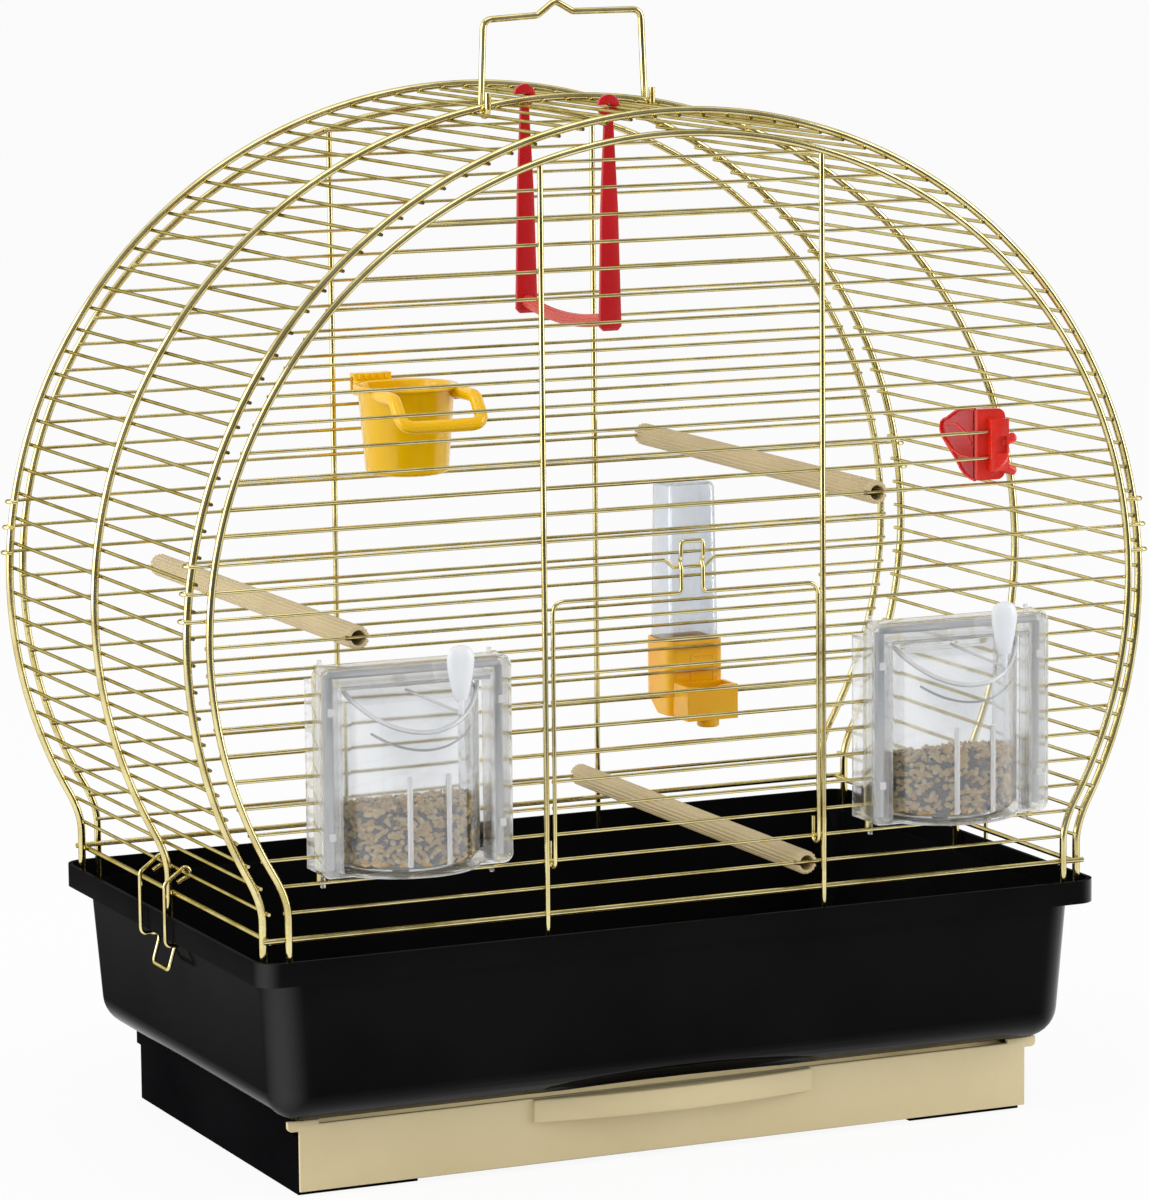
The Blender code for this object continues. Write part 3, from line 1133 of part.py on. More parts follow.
def make_drinker_tube():
    """Clear tapered tube, closed at the top and open at the bottom."""
    y, _, base_top = drinker_places()
    bottom = base_top - DRINKER_SOCKET_DEPTH + GAP
    top = bottom + DRINKER_TUBE_HEIGHT
    centre = (DRINKER_X, y)
    shoulder = top - DRINKER_TUBE_TOP_RADIUS
    half_x, half_y, corner = DRINKER_TUBE_HALF_WIDTH, DRINKER_TUBE_HALF_DEPTH, DRINKER_TUBE_CORNER
    flare, wall, cap = DRINKER_TUBE_FLARE, DRINKER_TUBE_WALL, DRINKER_TUBE_TOP_RADIUS
    rings = [rounded_ring(half_x - wall, half_y - wall, corner - wall, top - wall, centre),
             rounded_ring(half_x + flare - wall, half_y + flare - wall, corner - wall, bottom, centre),
             rounded_ring(half_x + flare, half_y + flare, corner, bottom, centre),
             rounded_ring(half_x, half_y, corner, shoulder, centre),
             rounded_ring(half_x - cap / 3, half_y - cap / 3, corner, top - cap / 3, centre),
             rounded_ring(half_x - cap, half_y - cap, corner, top, centre)]
    return finish_piece(loft("drinker_bottle", rings), "drinker_tube", CLEAR)


def make_drinker_base():
    """Orange base: a socket for the tube, and a trough that reaches in between two wires."""
    y, bottom, top = drinker_places()
    centre = (DRINKER_X, y)
    socket_x = DRINKER_TUBE_HALF_WIDTH + DRINKER_TUBE_FLARE + GAP
    socket_y = DRINKER_TUBE_HALF_DEPTH + DRINKER_TUBE_FLARE + GAP
    outer_x = socket_x + DRINKER_BASE_WALL
    outer_y = socket_y + DRINKER_BASE_WALL
    corner = DRINKER_BASE_CORNER
    shell = (outer_x, outer_y, corner)
    base = loft("drinker_shell", [rounded_ring(*shell, bottom, centre), rounded_ring(*shell, top, centre)])
    gap_top = level(DRINKER_TROUGH_LEVEL + 1) - 0.5 * FINE_WIRE - GAP
    reach = PANEL_WIRE_Y - DRINKER_TROUGH_REACH
    half = DRINKER_TROUGH_HALF_WIDTH
    trough_low = (DRINKER_X - half, reach, bottom)
    join(base, box("drinker_trough", trough_low, (DRINKER_X + half, y, gap_top)))
    brim_y = PANEL_WIRE_Y - 0.5 * FINE_WIRE - GAP
    brim_z = gap_top + DRINKER_TROUGH_RISE
    join(base, box("drinker_brim", trough_low, (DRINKER_X + half, brim_y, brim_z)))
    boss_y = reach + DRINKER_BOSS_RADIUS
    start = (DRINKER_X, boss_y, bottom - DRINKER_BOSS_DROP)
    end = (DRINKER_X, boss_y, bottom + DRINKER_TROUGH_WALL / 2)
    join(base, rod("drinker_boss", start, end, DRINKER_BOSS_RADIUS))
    seat = top - DRINKER_SOCKET_DEPTH
    socket = (socket_x, socket_y, corner - DRINKER_BASE_WALL)
    rings = [rounded_ring(*socket, seat, centre), rounded_ring(*socket, top + OVERRUN, centre)]
    cut(base, loft("drinker_socket", rings))
    wall = DRINKER_SHELL_WALL + DRINKER_BASE_WALL
    well = (outer_x - wall, outer_y - wall, corner - DRINKER_SHELL_WALL)
    floor_z = bottom + DRINKER_TROUGH_WALL
    rings = [rounded_ring(*well, floor_z, centre), rounded_ring(*well, seat + OVERRUN, centre)]
    cut(base, loft("drinker_well", rings))
    inner = half - DRINKER_TROUGH_WALL
    low = (DRINKER_X - inner, reach + DRINKER_TROUGH_WALL, floor_z)
    cut(base, box("drinker_channel", low, (DRINKER_X + inner, y, gap_top - DRINKER_TROUGH_WALL)))
    mouth_y = brim_y - DRINKER_TROUGH_WALL
    cut(base, box("drinker_mouth", low, (DRINKER_X + inner, mouth_y, brim_z + OVERRUN)))
    return finish_piece(base, "drinker_base", ORANGE)


def feeder_heights():
    """Heights of the feeder's shelf underside, shelf top, drum top and ring top."""
    bottom = level(FEEDER_LOW_LEVEL) + FEEDER_RING_LIFT
    ring_top = level(FEEDER_HIGH_LEVEL) + FEEDER_RING_TOP_LAP
    return bottom, bottom + FEEDER_SHELF, ring_top - FEEDER_RING_BORDER - GAP, ring_top


def make_feeder_frame(name, x):
    """Clear frame: a bordered ring outside the wires, a sleeve through them and a shelf."""
    bottom, shelf, drum_top, ring_top = feeder_heights()
    back = -PANEL_WIRE_Y - 0.5 * FINE_WIRE - GAP
    front = back - FEEDER_RING_DEPTH
    half = FEEDER_RING_HALF_WIDTH
    round_ = FEEDER_RING_CORNER
    small = round_ * (1.0 - SMALL_SHARE)
    outline = []
    corners = ((1, bottom, 1), (1, ring_top, -1), (-1, ring_top, -1), (-1, bottom, 1))
    for side_x, edge_z, sign in corners:
        corner = [(side_x * half, edge_z + sign * round_), (side_x * (half - small), edge_z + sign * small),
                  (side_x * (half - round_), edge_z)]
        outline += corner if side_x * sign < 0 else reversed(corner)
    outline = [(x + across, z) for across, z in outline]
    frame = prism("feeder_ring", outline, front, back)
    window = half - FEEDER_RING_BORDER
    window_top = drum_top + GAP
    window_low = (x - window, front - OVERRUN, shelf)
    cut(frame, box("feeder_window", window_low, (x + window, back + OVERRUN, window_top)))
    sleeve = FEEDER_OPENING_HALF_WIDTH - 0.5 * POST_WIRE - GAP
    sleeve_back = back + FEEDER_SLEEVE_BACK
    roof = window_top + FEEDER_SLEEVE_WALL
    start = back - FEEDER_SHELF
    block = box("feeder_sleeve", (x - sleeve, start, bottom), (x + sleeve, sleeve_back, roof))
    bay = sleeve - FEEDER_SLEEVE_WALL
    bay_low = (x - bay, start - OVERRUN, shelf)
    cut(block, box("feeder_bay", bay_low, (x + bay, sleeve_back + OVERRUN, window_top)))
    join(frame, block)
    join(frame, rod("feeder_shelf", (x, DRUM_Y, bottom), (x, DRUM_Y, shelf), FEEDER_SHELF_RADIUS, DRUM_SIDES))
    claw_front = -PANEL_WIRE_Y + 0.5 * FINE_WIRE + GAP
    claw_back = claw_front + FEEDER_CLAW_THICKNESS
    claw_low = level(FEEDER_LOW_LEVEL) - FEEDER_CLAW_LENGTH
    claw_high = level(FEEDER_HIGH_LEVEL) + FEEDER_CLAW_LENGTH
    for side in (-1, 1):
        ends = sorted((x + side * bay, x + side * sleeve))
        join(frame, box("feeder_claw", (ends[0], claw_front, claw_low), (ends[1], claw_back, shelf)))
        join(frame, box("feeder_claw", (ends[0], claw_front, roof - FEEDER_SLEEVE_WALL / 2),
                        (ends[1], claw_back, claw_high)))
    hole = (DRUM_PIN_RADIUS + GAP) / math.cos(math.pi / TUBE_SIDES)
    hole_low = (x, DRUM_Y, bottom - OVERRUN)
    cut(frame, rod("feeder_pin_hole", hole_low, (x, DRUM_Y, ring_top + OVERRUN), hole))
    return finish_piece(frame, name, CLEAR)


def drum_slope(front_z, top):
    """Rise of the drum's sloping top for each unit of depth, from its front to the panel."""
    return (top - front_z) / (DRUM_RADIUS - (PANEL_WIRE_Y + DRUM_Y) - 2 * DRUM_WALL)


def slanted_block(name, x, radius, low, high, front_z, slope):
    """Round block on the drum's axis whose front top slopes up and back."""
    block = rod(name, (x, DRUM_Y, low), (x, DRUM_Y, high), radius, DRUM_SIDES)
    front = DRUM_Y - DRUM_RADIUS
    over = DRUM_RADIUS
    outline = [(front - over, front_z - slope * over),
               (front + (high - front_z + over) / slope, high + over), (front - over, high + over)]
    return cut(block, prism("drum_slope", outline, x - 2 * radius, x + 2 * radius, "X"))


def make_drum(name, x):
    """Clear round seed drum with a sloping front top, open to the inside of the cage."""
    bottom, shelf, top, _ = feeder_heights()
    low = shelf + GAP
    front_z = low + DRUM_FRONT_HEIGHT
    slope = drum_slope(front_z, top)
    drum = slanted_block("drum_block", x, DRUM_RADIUS, low, top, front_z, slope)
    for angle in DRUM_RIB_ANGLES:
        turn = Matrix.Rotation(math.radians(angle), 4, "Z")
        rib_low = (-DRUM_RIB_WIDTH / 2, -DRUM_RADIUS - DRUM_RIB_PROUD, low + DRUM_RIB_LIFT)
        rib_high = (DRUM_RIB_WIDTH / 2, -DRUM_RADIUS + DRUM_WALL / 2, low + DRUM_RIB_LIFT + DRUM_RIB_HEIGHT)
        rib = box("drum_rib", rib_low, rib_high)
        rib.data.transform(Matrix.Translation((x, DRUM_Y, 0.0)) @ turn)
        join(drum, rib)
    drop = DRUM_WALL * math.hypot(1.0, slope)
    inner = slanted_block("drum_hollow", x, DRUM_RADIUS - DRUM_WALL, low + DRUM_WALL, top - DRUM_WALL,
                          front_z - drop, slope)
    cut(drum, inner)
    mouth_y = DRUM_Y + DRUM_MOUTH_SETBACK
    mouth_low = (x - DRUM_RADIUS - OVERRUN, mouth_y, low + DRUM_LIP_HEIGHT)
    mouth_high = (x + DRUM_RADIUS + OVERRUN, DRUM_Y + DRUM_RADIUS + OVERRUN, top + OVERRUN)
    cut(drum, box("drum_mouth", mouth_low, mouth_high))
    pin = DRUM_PIN_RADIUS
    join(drum, rod("drum_pin", (x, DRUM_Y, bottom), (x, DRUM_Y, low + DRUM_WALL / 2), pin))
    pin_top = top + GAP + FEEDER_SLEEVE_WALL
    join(drum, rod("drum_pin", (x, DRUM_Y, top - DRUM_WALL / 2), (x, DRUM_Y, pin_top), pin))
    return finish_piece(drum, name, CLEAR, (x, DRUM_Y, low))


def make_seed(name, x):
    """Seeds in the drum, heaped against its front and sloping down to the mouth."""
    low = feeder_heights()[1] + GAP + DRUM_WALL + GAP
    radius = DRUM_RADIUS - DRUM_WALL - GAP
    seed = rod("seed_heap", (x, DRUM_Y, low), (x, DRUM_Y, low + SEED_FRONT_HEIGHT), radius, DRUM_SIDES)
    front = DRUM_Y - radius
    back = DRUM_Y + radius
    over = radius
    slope = (SEED_FRONT_HEIGHT - SEED_BACK_HEIGHT) / radius
    ramp = [(DRUM_Y, low + SEED_FRONT_HEIGHT), (back + over, low + SEED_BACK_HEIGHT - slope * over),
            (back + over, low + SEED_FRONT_HEIGHT + over), (front - over, low + SEED_FRONT_HEIGHT + over)]
    cut(seed, prism("seed_ramp", ramp, x - 2 * radius, x + 2 * radius, "X"))
    return finish_piece(seed, name, SEED, (x, DRUM_Y, low))


def make_lever(name, x):
    """Drop-shaped lever on a short stem that stands on the drum's sloping top."""
    _, shelf, drum_top, ring_top = feeder_heights()
    front_z = shelf + GAP + DRUM_FRONT_HEIGHT
    slope = drum_slope(front_z, drum_top)
    turn = math.radians(LEVER_ANGLE)
    centre = Vector((x + LEVER_RADIUS * math.sin(turn), DRUM_Y - LEVER_RADIUS * math.cos(turn), 0.0))
    top = ring_top + LEVER_TOP_RISE
    bottom = top - LEVER_LENGTH
    profile = [(0.0, bottom), (LEVER_TIP_SHARE, bottom),
               (LEVER_WIDE_SHARE, bottom + LEVER_LENGTH * LEVER_TIP_SHARE),
               (1.0, bottom + LEVER_LENGTH * LEVER_WIDE_SHARE),
               (LEVER_WIDE_SHARE, top - LEVER_HALF_THICKNESS),
               (LEVER_TIP_SHARE, top - LEVER_HALF_THICKNESS / 4), (0.0, top)]
    lever = turned("lever_drop", profile, (0.0, 0.0, 0.0), TUBE_SIDES)
    lever.data.transform(Matrix.Diagonal((LEVER_HALF_WIDTH, LEVER_HALF_THICKNESS, 1.0, 1.0)))
    inner_y = centre.y + LEVER_STEM_RADIUS
    stem_z = front_z + slope * (inner_y - (DRUM_Y - DRUM_RADIUS)) + GAP
    stem = rod("lever_stem", (0.0, 0.0, stem_z), (0.0, 0.0, bottom + LEVER_STEM_SINK), LEVER_STEM_RADIUS)
    join(lever, stem)
    lever.data.transform(Matrix.Translation(centre))
    return finish_piece(lever, name, MILKY, (centre.x, centre.y, stem_z))


def make_side_clip(name, side):
    """Bent wire clip: curled round the lowest fine depth wire and hooked under the rim."""
    radius = 0.5 * (FINE_WIRE + CLIP_WIRE) + GAP + CLIP_CURL_CLEARANCE
    leg_x = BARREL_ARCH.half_x(LEG_WIRE_Z) + CLIP_LEG_OUT
    under_z = TRAY_RIM_Z - CLIP_UNDER_CLEARANCE - CLIP_WIRE / 2
    under_x = TRAY_LIP_HALF_WIDTH - CLIP_UNDER_REACH
    shoulder_z = LEG_WIRE_Z - CLIP_SHOULDER_DROP
    tab_x = TRAY_LIP_HALF_WIDTH - CLIP_TAB_INSET
    tab_z = under_z - CLIP_TAB_DROP
    halves = []
    for end in (-1, 1):
        y = end * CLIP_LEG_Y
        centre = (side * LEG_WIRE_X, y, LEG_WIRE_Z)
        hook = curl(centre, radius, -90.0, -200.0, (side, 0, 0), (0, 0, 1))
        tail = Vector((side * (LEG_WIRE_X + CLIP_TAIL_OUT), y, LEG_WIRE_Z - radius - CLIP_TAIL_DROP))
        run = [hook[-1], Vector((side * leg_x, y, shoulder_z)), Vector((side * leg_x, y, under_z)),
               Vector((side * under_x, y, under_z)), Vector((side * under_x, end * CLIP_TAB_Y, under_z)),
               Vector((side * tab_x, end * CLIP_TAB_Y, tab_z)), Vector((side * tab_x, 0.0, tab_z))]
        halves.append([tail] + hook[:-1] + bend(run, CLIP_BEND))
    clip = wire("clip_wire", [halves[0] + list(reversed(halves[1]))[1:]], CLIP_WIRE, THIN)
    return finish_piece(clip, name, BRASS, (side * LEG_WIRE_X, 0.0, LEG_WIRE_Z))


def pivot(name, location, children):
    """Parent pieces that move together to an empty on their joint's axis."""
    axis = bpy.data.objects.new(name, None)
    axis.location = location
    bpy.context.collection.objects.link(axis)
    bpy.context.view_layer.update()
    for child in children:
        child.parent = axis
        child.matrix_parent_inverse = axis.matrix_world.inverted()


def main():
    """Build every piece of the cage."""
    clear_scene()
    make_housing()
    make_drawer()
    make_tray()
    make_barrel()
    make_panel("front_panel", True)
    make_panel("back_panel", False)
    make_door()
    make_handle()
    arms = [make_swing_arm("swing_arm_rear", SWING_REAR_Y), make_swing_arm("swing_arm_front", SWING_FRONT_Y)]
    pivot("swing_axis", (0.0, 0.0, CREST_WIRE_Z), arms + [make_swing_perch()])
    make_perch("perch_left", PERCH_LEFT_X, PERCH_LEFT_LEVEL)
    make_perch("perch_upper", PERCH_UPPER_X, PERCH_UPPER_LEVEL)
    make_perch("perch_lower", PERCH_LOWER_X, PERCH_LOWER_LEVEL)
    make_cup()
    make_clip_holder()
    make_drinker_tube()
    make_drinker_base()
    for label, side in (("left", -1), ("right", 1)):
        x = side * FEEDER_X
        make_feeder_frame("feeder_frame_" + label, x)
        turning = [make_drum("feeder_drum_" + label, x), make_seed("feeder_seed_" + label, x),
                   make_lever("feeder_lever_" + label, x)]
        pivot("feeder_axis_" + label, (x, DRUM_Y, feeder_heights()[1]), turning)
        make_side_clip("side_clip_" + label, side)


main()
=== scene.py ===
"""Looks of a wire bird cage on a glossy black base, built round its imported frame.

Each sub-assembly is a class that holds its sizes, in metres. It models its pieces with
Blender's operators, dresses them and lets them ride on the body that carries them.
"""

from __future__ import annotations

import logging
import math
import random
from collections.abc import Iterable, Sequence
from dataclasses import dataclass
from enum import Enum

import bmesh
import bpy
import numpy as np
from mathutils import Matrix, Vector

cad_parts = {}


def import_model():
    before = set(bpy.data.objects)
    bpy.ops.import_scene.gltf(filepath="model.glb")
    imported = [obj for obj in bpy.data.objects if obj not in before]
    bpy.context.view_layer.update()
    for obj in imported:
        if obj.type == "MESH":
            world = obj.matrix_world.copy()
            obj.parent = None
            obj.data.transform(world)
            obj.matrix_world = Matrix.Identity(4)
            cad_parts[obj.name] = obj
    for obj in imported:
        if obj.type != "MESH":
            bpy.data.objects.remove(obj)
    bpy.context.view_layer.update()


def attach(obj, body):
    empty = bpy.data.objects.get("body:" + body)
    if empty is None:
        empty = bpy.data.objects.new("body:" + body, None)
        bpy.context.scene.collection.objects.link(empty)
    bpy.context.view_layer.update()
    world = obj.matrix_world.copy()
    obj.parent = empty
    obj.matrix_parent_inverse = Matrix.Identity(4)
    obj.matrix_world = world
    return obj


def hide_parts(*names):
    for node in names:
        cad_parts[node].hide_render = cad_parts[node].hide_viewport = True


LOG = logging.getLogger("bird_cage")
MERGE = 0.000001
SMOOTH_ANGLE = math.radians(50)
OVERRUN = 0.004
GAP = 0.0003
SHARP = 0.0001
BOW_CORNER = 0.0022
ROD_END_SHARE = 0.12
LEVEL_EDGE_SHARE = 0.6
WELD_SIZE_SHARES = (0.85, 1.15)
WHITE = (1.0, 1.0, 1.0)
ORIGIN = (0.0, 0.0, 0.0)

Item = bpy.types.Object
Point = Sequence[float]
Path = list[Vector]
Ring = tuple[float, float, float]
Spot = tuple[float, float]


class Side(Enum):
    """The two sides that paired pieces stand on, as the sign of X."""

    LEFT = -1
    RIGHT = 1

    @property
    def label(self) -> str:
        """Word that ends the names of this side's pieces."""
        return self.name.lower()


class Ray(int, Enum):
    """Kinds of ray, by their outputs of the light path node."""

    CAMERA = 0
    GLOSSY = 3
    TRANSMISSION = 6


class Body(str, Enum):
    """Bodies of the frame that pieces ride on."""

    CAGE = "cage"
    DRAWER = "drawer"
    DOOR = "door"
    HANDLE = "handle"
    SWING = "swing"


@dataclass(frozen=True)
class Layout:
    """Heights and planes that the wire pieces and what hangs on them share."""

    foot_z: float = 0.1120
    first_height: float = 0.0178
    pitch: float = 0.01285
    wire_y: float = 0.13185
    fine_wire: float = 0.0017
    crest_wire_z: float = 0.5091990
    leg_wire_x: float = 0.2157990
    leg_wire_z: float = 0.1424

    def level(self, index: int) -> float:
        """Height of one of the end panels' horizontal wires."""
        return self.foot_z + self.first_height + self.pitch * index

    @property
    def clear(self) -> float:
        """Distance from a fine wire's axis at which a moulded piece runs past it."""
        return self.fine_wire / 2 + GAP


PLAN = Layout()


class Link:
    """A shader socket that takes part in Python expressions."""

    def __init__(self, nodes: Nodes, socket: bpy.types.NodeSocket) -> None:
        """Keep the socket and the nodes that it belongs to."""
        self.nodes = nodes
        self.socket = socket

    def _with(self, operation: str, other: Link | float, swapped: bool = False) -> Link:
        """Add a Math node of this socket and another value.

        Args:
            operation: The Math node's operation.
            other: A socket or a number.
            swapped: Whether the other value comes first.

        Returns:
            The Math node's result.
        """
        pair = (other, self) if swapped else (self, other)
        return self.nodes.node("ShaderNodeMath", {"operation": operation}, dict(enumerate(pair)))

    def __add__(self, other: Link | float) -> Link:
        """Sum."""
        return self._with("ADD", other)

    __radd__ = __add__

    def __sub__(self, other: Link | float) -> Link:
        """Difference."""
        return self._with("SUBTRACT", other)

    def __rsub__(self, other: float) -> Link:
        """Difference from a number."""
        return self._with("SUBTRACT", other, True)

    def __mul__(self, other: Link | float) -> Link:
        """Product."""
        return self._with("MULTIPLY", other)

    __rmul__ = __mul__

    def larger(self, other: Link | float) -> Link:
        """The larger of two values."""
        return self._with("MAXIMUM", other)

    def smaller(self, other: Link | float) -> Link:
        """The smaller of two values."""
        return self._with("MINIMUM", other)


class Nodes:
    """Adds nodes to one node tree."""

    def __init__(self, tree: bpy.types.NodeTree) -> None:
        """Keep the tree."""
        self.tree = tree

    def node(
        self, kind: str, settings: dict | None = None, values: dict | None = None, result: int = 0
    ) -> Link:
        """Add a node.

        Args:
            kind: The node's type name.
            settings: Its own settings, set first; stops gives a ramp's places and colours.
            values: Values or links of its input sockets, by name or number.
            result: Number of the output socket that is wanted.

        Returns:
            The output socket.
        """
        made = self.tree.nodes.new(kind)
        for name, value in (settings or {}).items():
            if name == "stops":
                self._set_stops(made.color_ramp, value)
            else:
                setattr(made, name, value)
        for name, value in (values or {}).items():
            self.feed(made.inputs[name], value)
        return Link(self, made.outputs[result])

    @staticmethod
    def _set_stops(ramp: bpy.types.ColorRamp, stops: Sequence[tuple[float, Point]]) -> None:
        """Give a ramp its stops, each a place and a colour."""
        while len(ramp.elements) < len(stops):
            ramp.elements.new(1.0)
        for element, (place, colour) in zip(ramp.elements, stops):
            element.position = place
            element.color = (*colour, 1.0)

    def feed(self, socket: bpy.types.NodeSocket, value: Link | float | Point) -> None:
        """Link a socket or set its constant; a colour of three numbers becomes opaque."""
        if isinstance(value, Link):
            self.tree.links.new(value.socket, socket)
        elif socket.type == "RGBA" and len(value) == 3:
            socket.default_value = (*value, 1.0)
        else:
            socket.default_value = value

    def ray(self, kind: Ray) -> Link:
        """Value that is 1 for rays of a kind and 0 for others."""
        return self.node("ShaderNodeLightPath", result=kind.value)

    def smooth(self, value: Link, ends: Spot, results: Spot = (0.0, 1.0)) -> Link:
        """Value smoothed between two ends, from the first result to the second."""
        values = dict(enumerate((value, *ends, *results)))
        return self.node("ShaderNodeMapRange", {"interpolation_type": "SMOOTHSTEP"}, values)


class Paint(Nodes):
    """Builds one material's nodes round its Principled shader."""

    def __init__(self, name: str) -> None:
        """Start a material with a Principled shader."""
        self.material = bpy.data.materials.new(name)
        self.material.use_nodes = True
        super().__init__(self.material.node_tree)
        self.shader = self.tree.nodes["Principled BSDF"]

    def set(self, **values: Link | float | Point) -> None:
        """Set sockets of the Principled shader; a name's underscores stand for spaces."""
        for name, value in values.items():
            self.feed(self.shader.inputs[name.replace("_", " ")], value)

    def place(self) -> Link:
        """Object coordinates."""
        return self.node("ShaderNodeTexCoord", result=3)

    def noise(self, where: Link, scale: float, detail: float = 3.0) -> Link:
        """Noise from 0 to 1 of a scale in features per metre."""
        return self.node("ShaderNodeTexNoise", None, {"Vector": where, "Scale": scale, "Detail": detail})

    def ramp(self, factor: Link, stops: Iterable[tuple[float, Point]]) -> Link:
        """Colour ramp through stops."""
        return self.node("ShaderNodeValToRGB", {"stops": tuple(stops)}, {"Fac": factor})

    def blend(self, factor: Link | float, low: Link | Point, high: Link | Point) -> Link:
        """Colour between two colours."""
        return self.node("ShaderNodeMix", {"data_type": "RGBA"}, {0: factor, 6: low, 7: high}, 2)

    def value(self, name: str) -> Link:
        """The mesh's attribute of a name."""
        return self.node("ShaderNodeAttribute", {"attribute_name": name}, result=2)

    def emboss(self, height: Link, strength: float, distance: float) -> None:
        """Give the shader the normal of a relief."""
        values = {"Height": height, "Strength": strength, "Distance": distance}
        self.set(Normal=self.node("ShaderNodeBump", None, values))


@dataclass(frozen=True)
class PlatedWire:
    """Bright brass plating with drawing marks, duller patches and painted dark edges in its grazing
    reflections.
    """

    name: str
    pale: Point
    deep: Point
    # edge tints the grazing reflections near black: painted shade along the wires' sides, not the colour of
    # brass.
    edge: Point = (0.12, 0.10, 0.04)
    roughness: float = 0.08
    wear: float = 0.10
    patch_scale: float = 55.0
    streak_scale: float = 900.0
    patch_share: float = 0.75
    tone_places: Spot = (0.30, 0.56)
    marks: float = 0.05
    relief: float = 0.0002

    def material(self) -> bpy.types.Material:
        """Build the material."""
        paint = Paint(self.name)
        where = paint.place()
        patch = paint.noise(where, self.patch_scale, 4.0)
        streak = paint.noise(where, self.streak_scale, 2.0)
        mixed = patch * self.patch_share + streak * (1.0 - self.patch_share)
        shade = paint.ramp(mixed, zip(self.tone_places, (self.deep, self.pale)))
        paint.set(Base_Color=shade, Metallic=1.0, Roughness=streak * self.wear + self.roughness)
        # The specular tint from edge paints the dark wire edges.
        paint.set(Specular_Tint=self.edge)
        paint.emboss(streak + patch, self.marks, self.relief)
        return paint.material


@dataclass(frozen=True)
class MouldedPlastic:
    """Opaque injection-moulded plastic: faint mottling, fine grain and worn gloss."""

    name: str
    colour: Point
    shadow: Point
    roughness: float
    grain: float = 0.05
    grain_scale: float = 1400.0
    cloud_scale: float = 14.0
    cloud_share: float = 0.8
    tone_places: Spot = (0.30, 0.62)
    cloud_wear: float = 0.08
    grain_wear: float = 0.06
    relief: float = 0.0002
    specular: float = 0.5
    depth: float = 0.0
    glow: Ring = (0.004, 0.0012, 0.0006)
    corner_gloss: float = 0.0
    gloss_roughness: float = 0.10

    def material(self) -> bpy.types.Material:
        """Build the material."""
        paint = Paint(self.name)
        where = paint.place()
        cloud = paint.noise(where, self.cloud_scale, 4.0)
        grain = paint.noise(where, self.grain_scale)
        mixed = cloud * self.cloud_share + grain * (1.0 - self.cloud_share)
        shade = paint.ramp(mixed, zip(self.tone_places, (self.shadow, self.colour)))
        least = self.roughness - (self.cloud_wear + self.grain_wear) / 2
        rough = cloud * self.cloud_wear + grain * self.grain_wear + least
        paint.set(Base_Color=shade, Roughness=rough, Specular_IOR_Level=self.specular)
        paint.emboss(grain, self.grain, self.relief)
        if self.depth:
            paint.set(Subsurface_Weight=self.depth, Subsurface_Radius=self.glow)
        if self.corner_gloss:
            gloss = paint.value("edge") * self.corner_gloss
            paint.set(Coat_Weight=gloss, Coat_Roughness=self.gloss_roughness)
        return paint.material


@dataclass(frozen=True)
class ClearPlastic:
    """Transparent moulded plastic with flow waves, seen best along its edges."""

    name: str
    tint: Point
    haze: Point
    clearness: float
    roughness: float = 0.03
    wave: float = 0.02
    bending: float = 1.46
    cover: float = 1.0
    gloss: float = 0.0
    gloss_bending: float = 2.2
    gloss_roughness: float = 0.03
    wear: float = 0.04
    tone_places: Spot = (0.35, 0.65)
    speck_share: float = 0.1
    flow_scale: float = 60.0
    speck_scale: float = 1700.0
    flow_stretch: Ring = (1.0, 1.0, 0.45)
    relief: float = 0.0006

    def material(self) -> bpy.types.Material:
        """Build the material."""
        paint = Paint(self.name)
        stretched = {"Vector": paint.place(), "Scale": self.flow_stretch}
        where = paint.node("ShaderNodeMapping", None, stretched)
        flow = paint.noise(where, self.flow_scale)
        speck = paint.noise(where, self.speck_scale, 2.0)
        shade = paint.ramp(flow, zip(self.tone_places, (self.haze, self.tint)))
        paint.set(Base_Color=shade, Roughness=speck * self.wear + self.roughness, IOR=self.bending)
        paint.set(Transmission_Weight=self.clearness, Alpha=self.cover)
        paint.set(Coat_Weight=self.gloss, Coat_IOR=self.gloss_bending, Coat_Roughness=self.gloss_roughness)
        paint.emboss(flow + speck * self.speck_share, self.wave, self.relief)
        return paint.material


@dataclass(frozen=True)
class GrainCoat:
    """Husks of loose seeds. Each grain's own tone comes from its attribute."""

    name: str
    stops: Sequence[tuple[float, Point]]
    husk_scale: float = 2200.0
    tone_spread: float = 0.12
    roughness: float = 0.42
    wear: float = 0.25
    specular: float = 0.15
    wrinkles: float = 0.35
    relief: float = 0.0003

    def material(self) -> bpy.types.Material:
        """Build the material."""
        paint = Paint(self.name)
        husk = paint.noise(paint.place(), self.husk_scale)
        shade = paint.ramp(paint.value("tone") + (husk - 0.5) * self.tone_spread, self.stops)
        rough = husk * self.wear + self.roughness
        paint.set(Base_Color=shade, Roughness=rough, Specular_IOR_Level=self.specular)
        paint.emboss(husk, self.wrinkles, self.relief)
        return paint.material


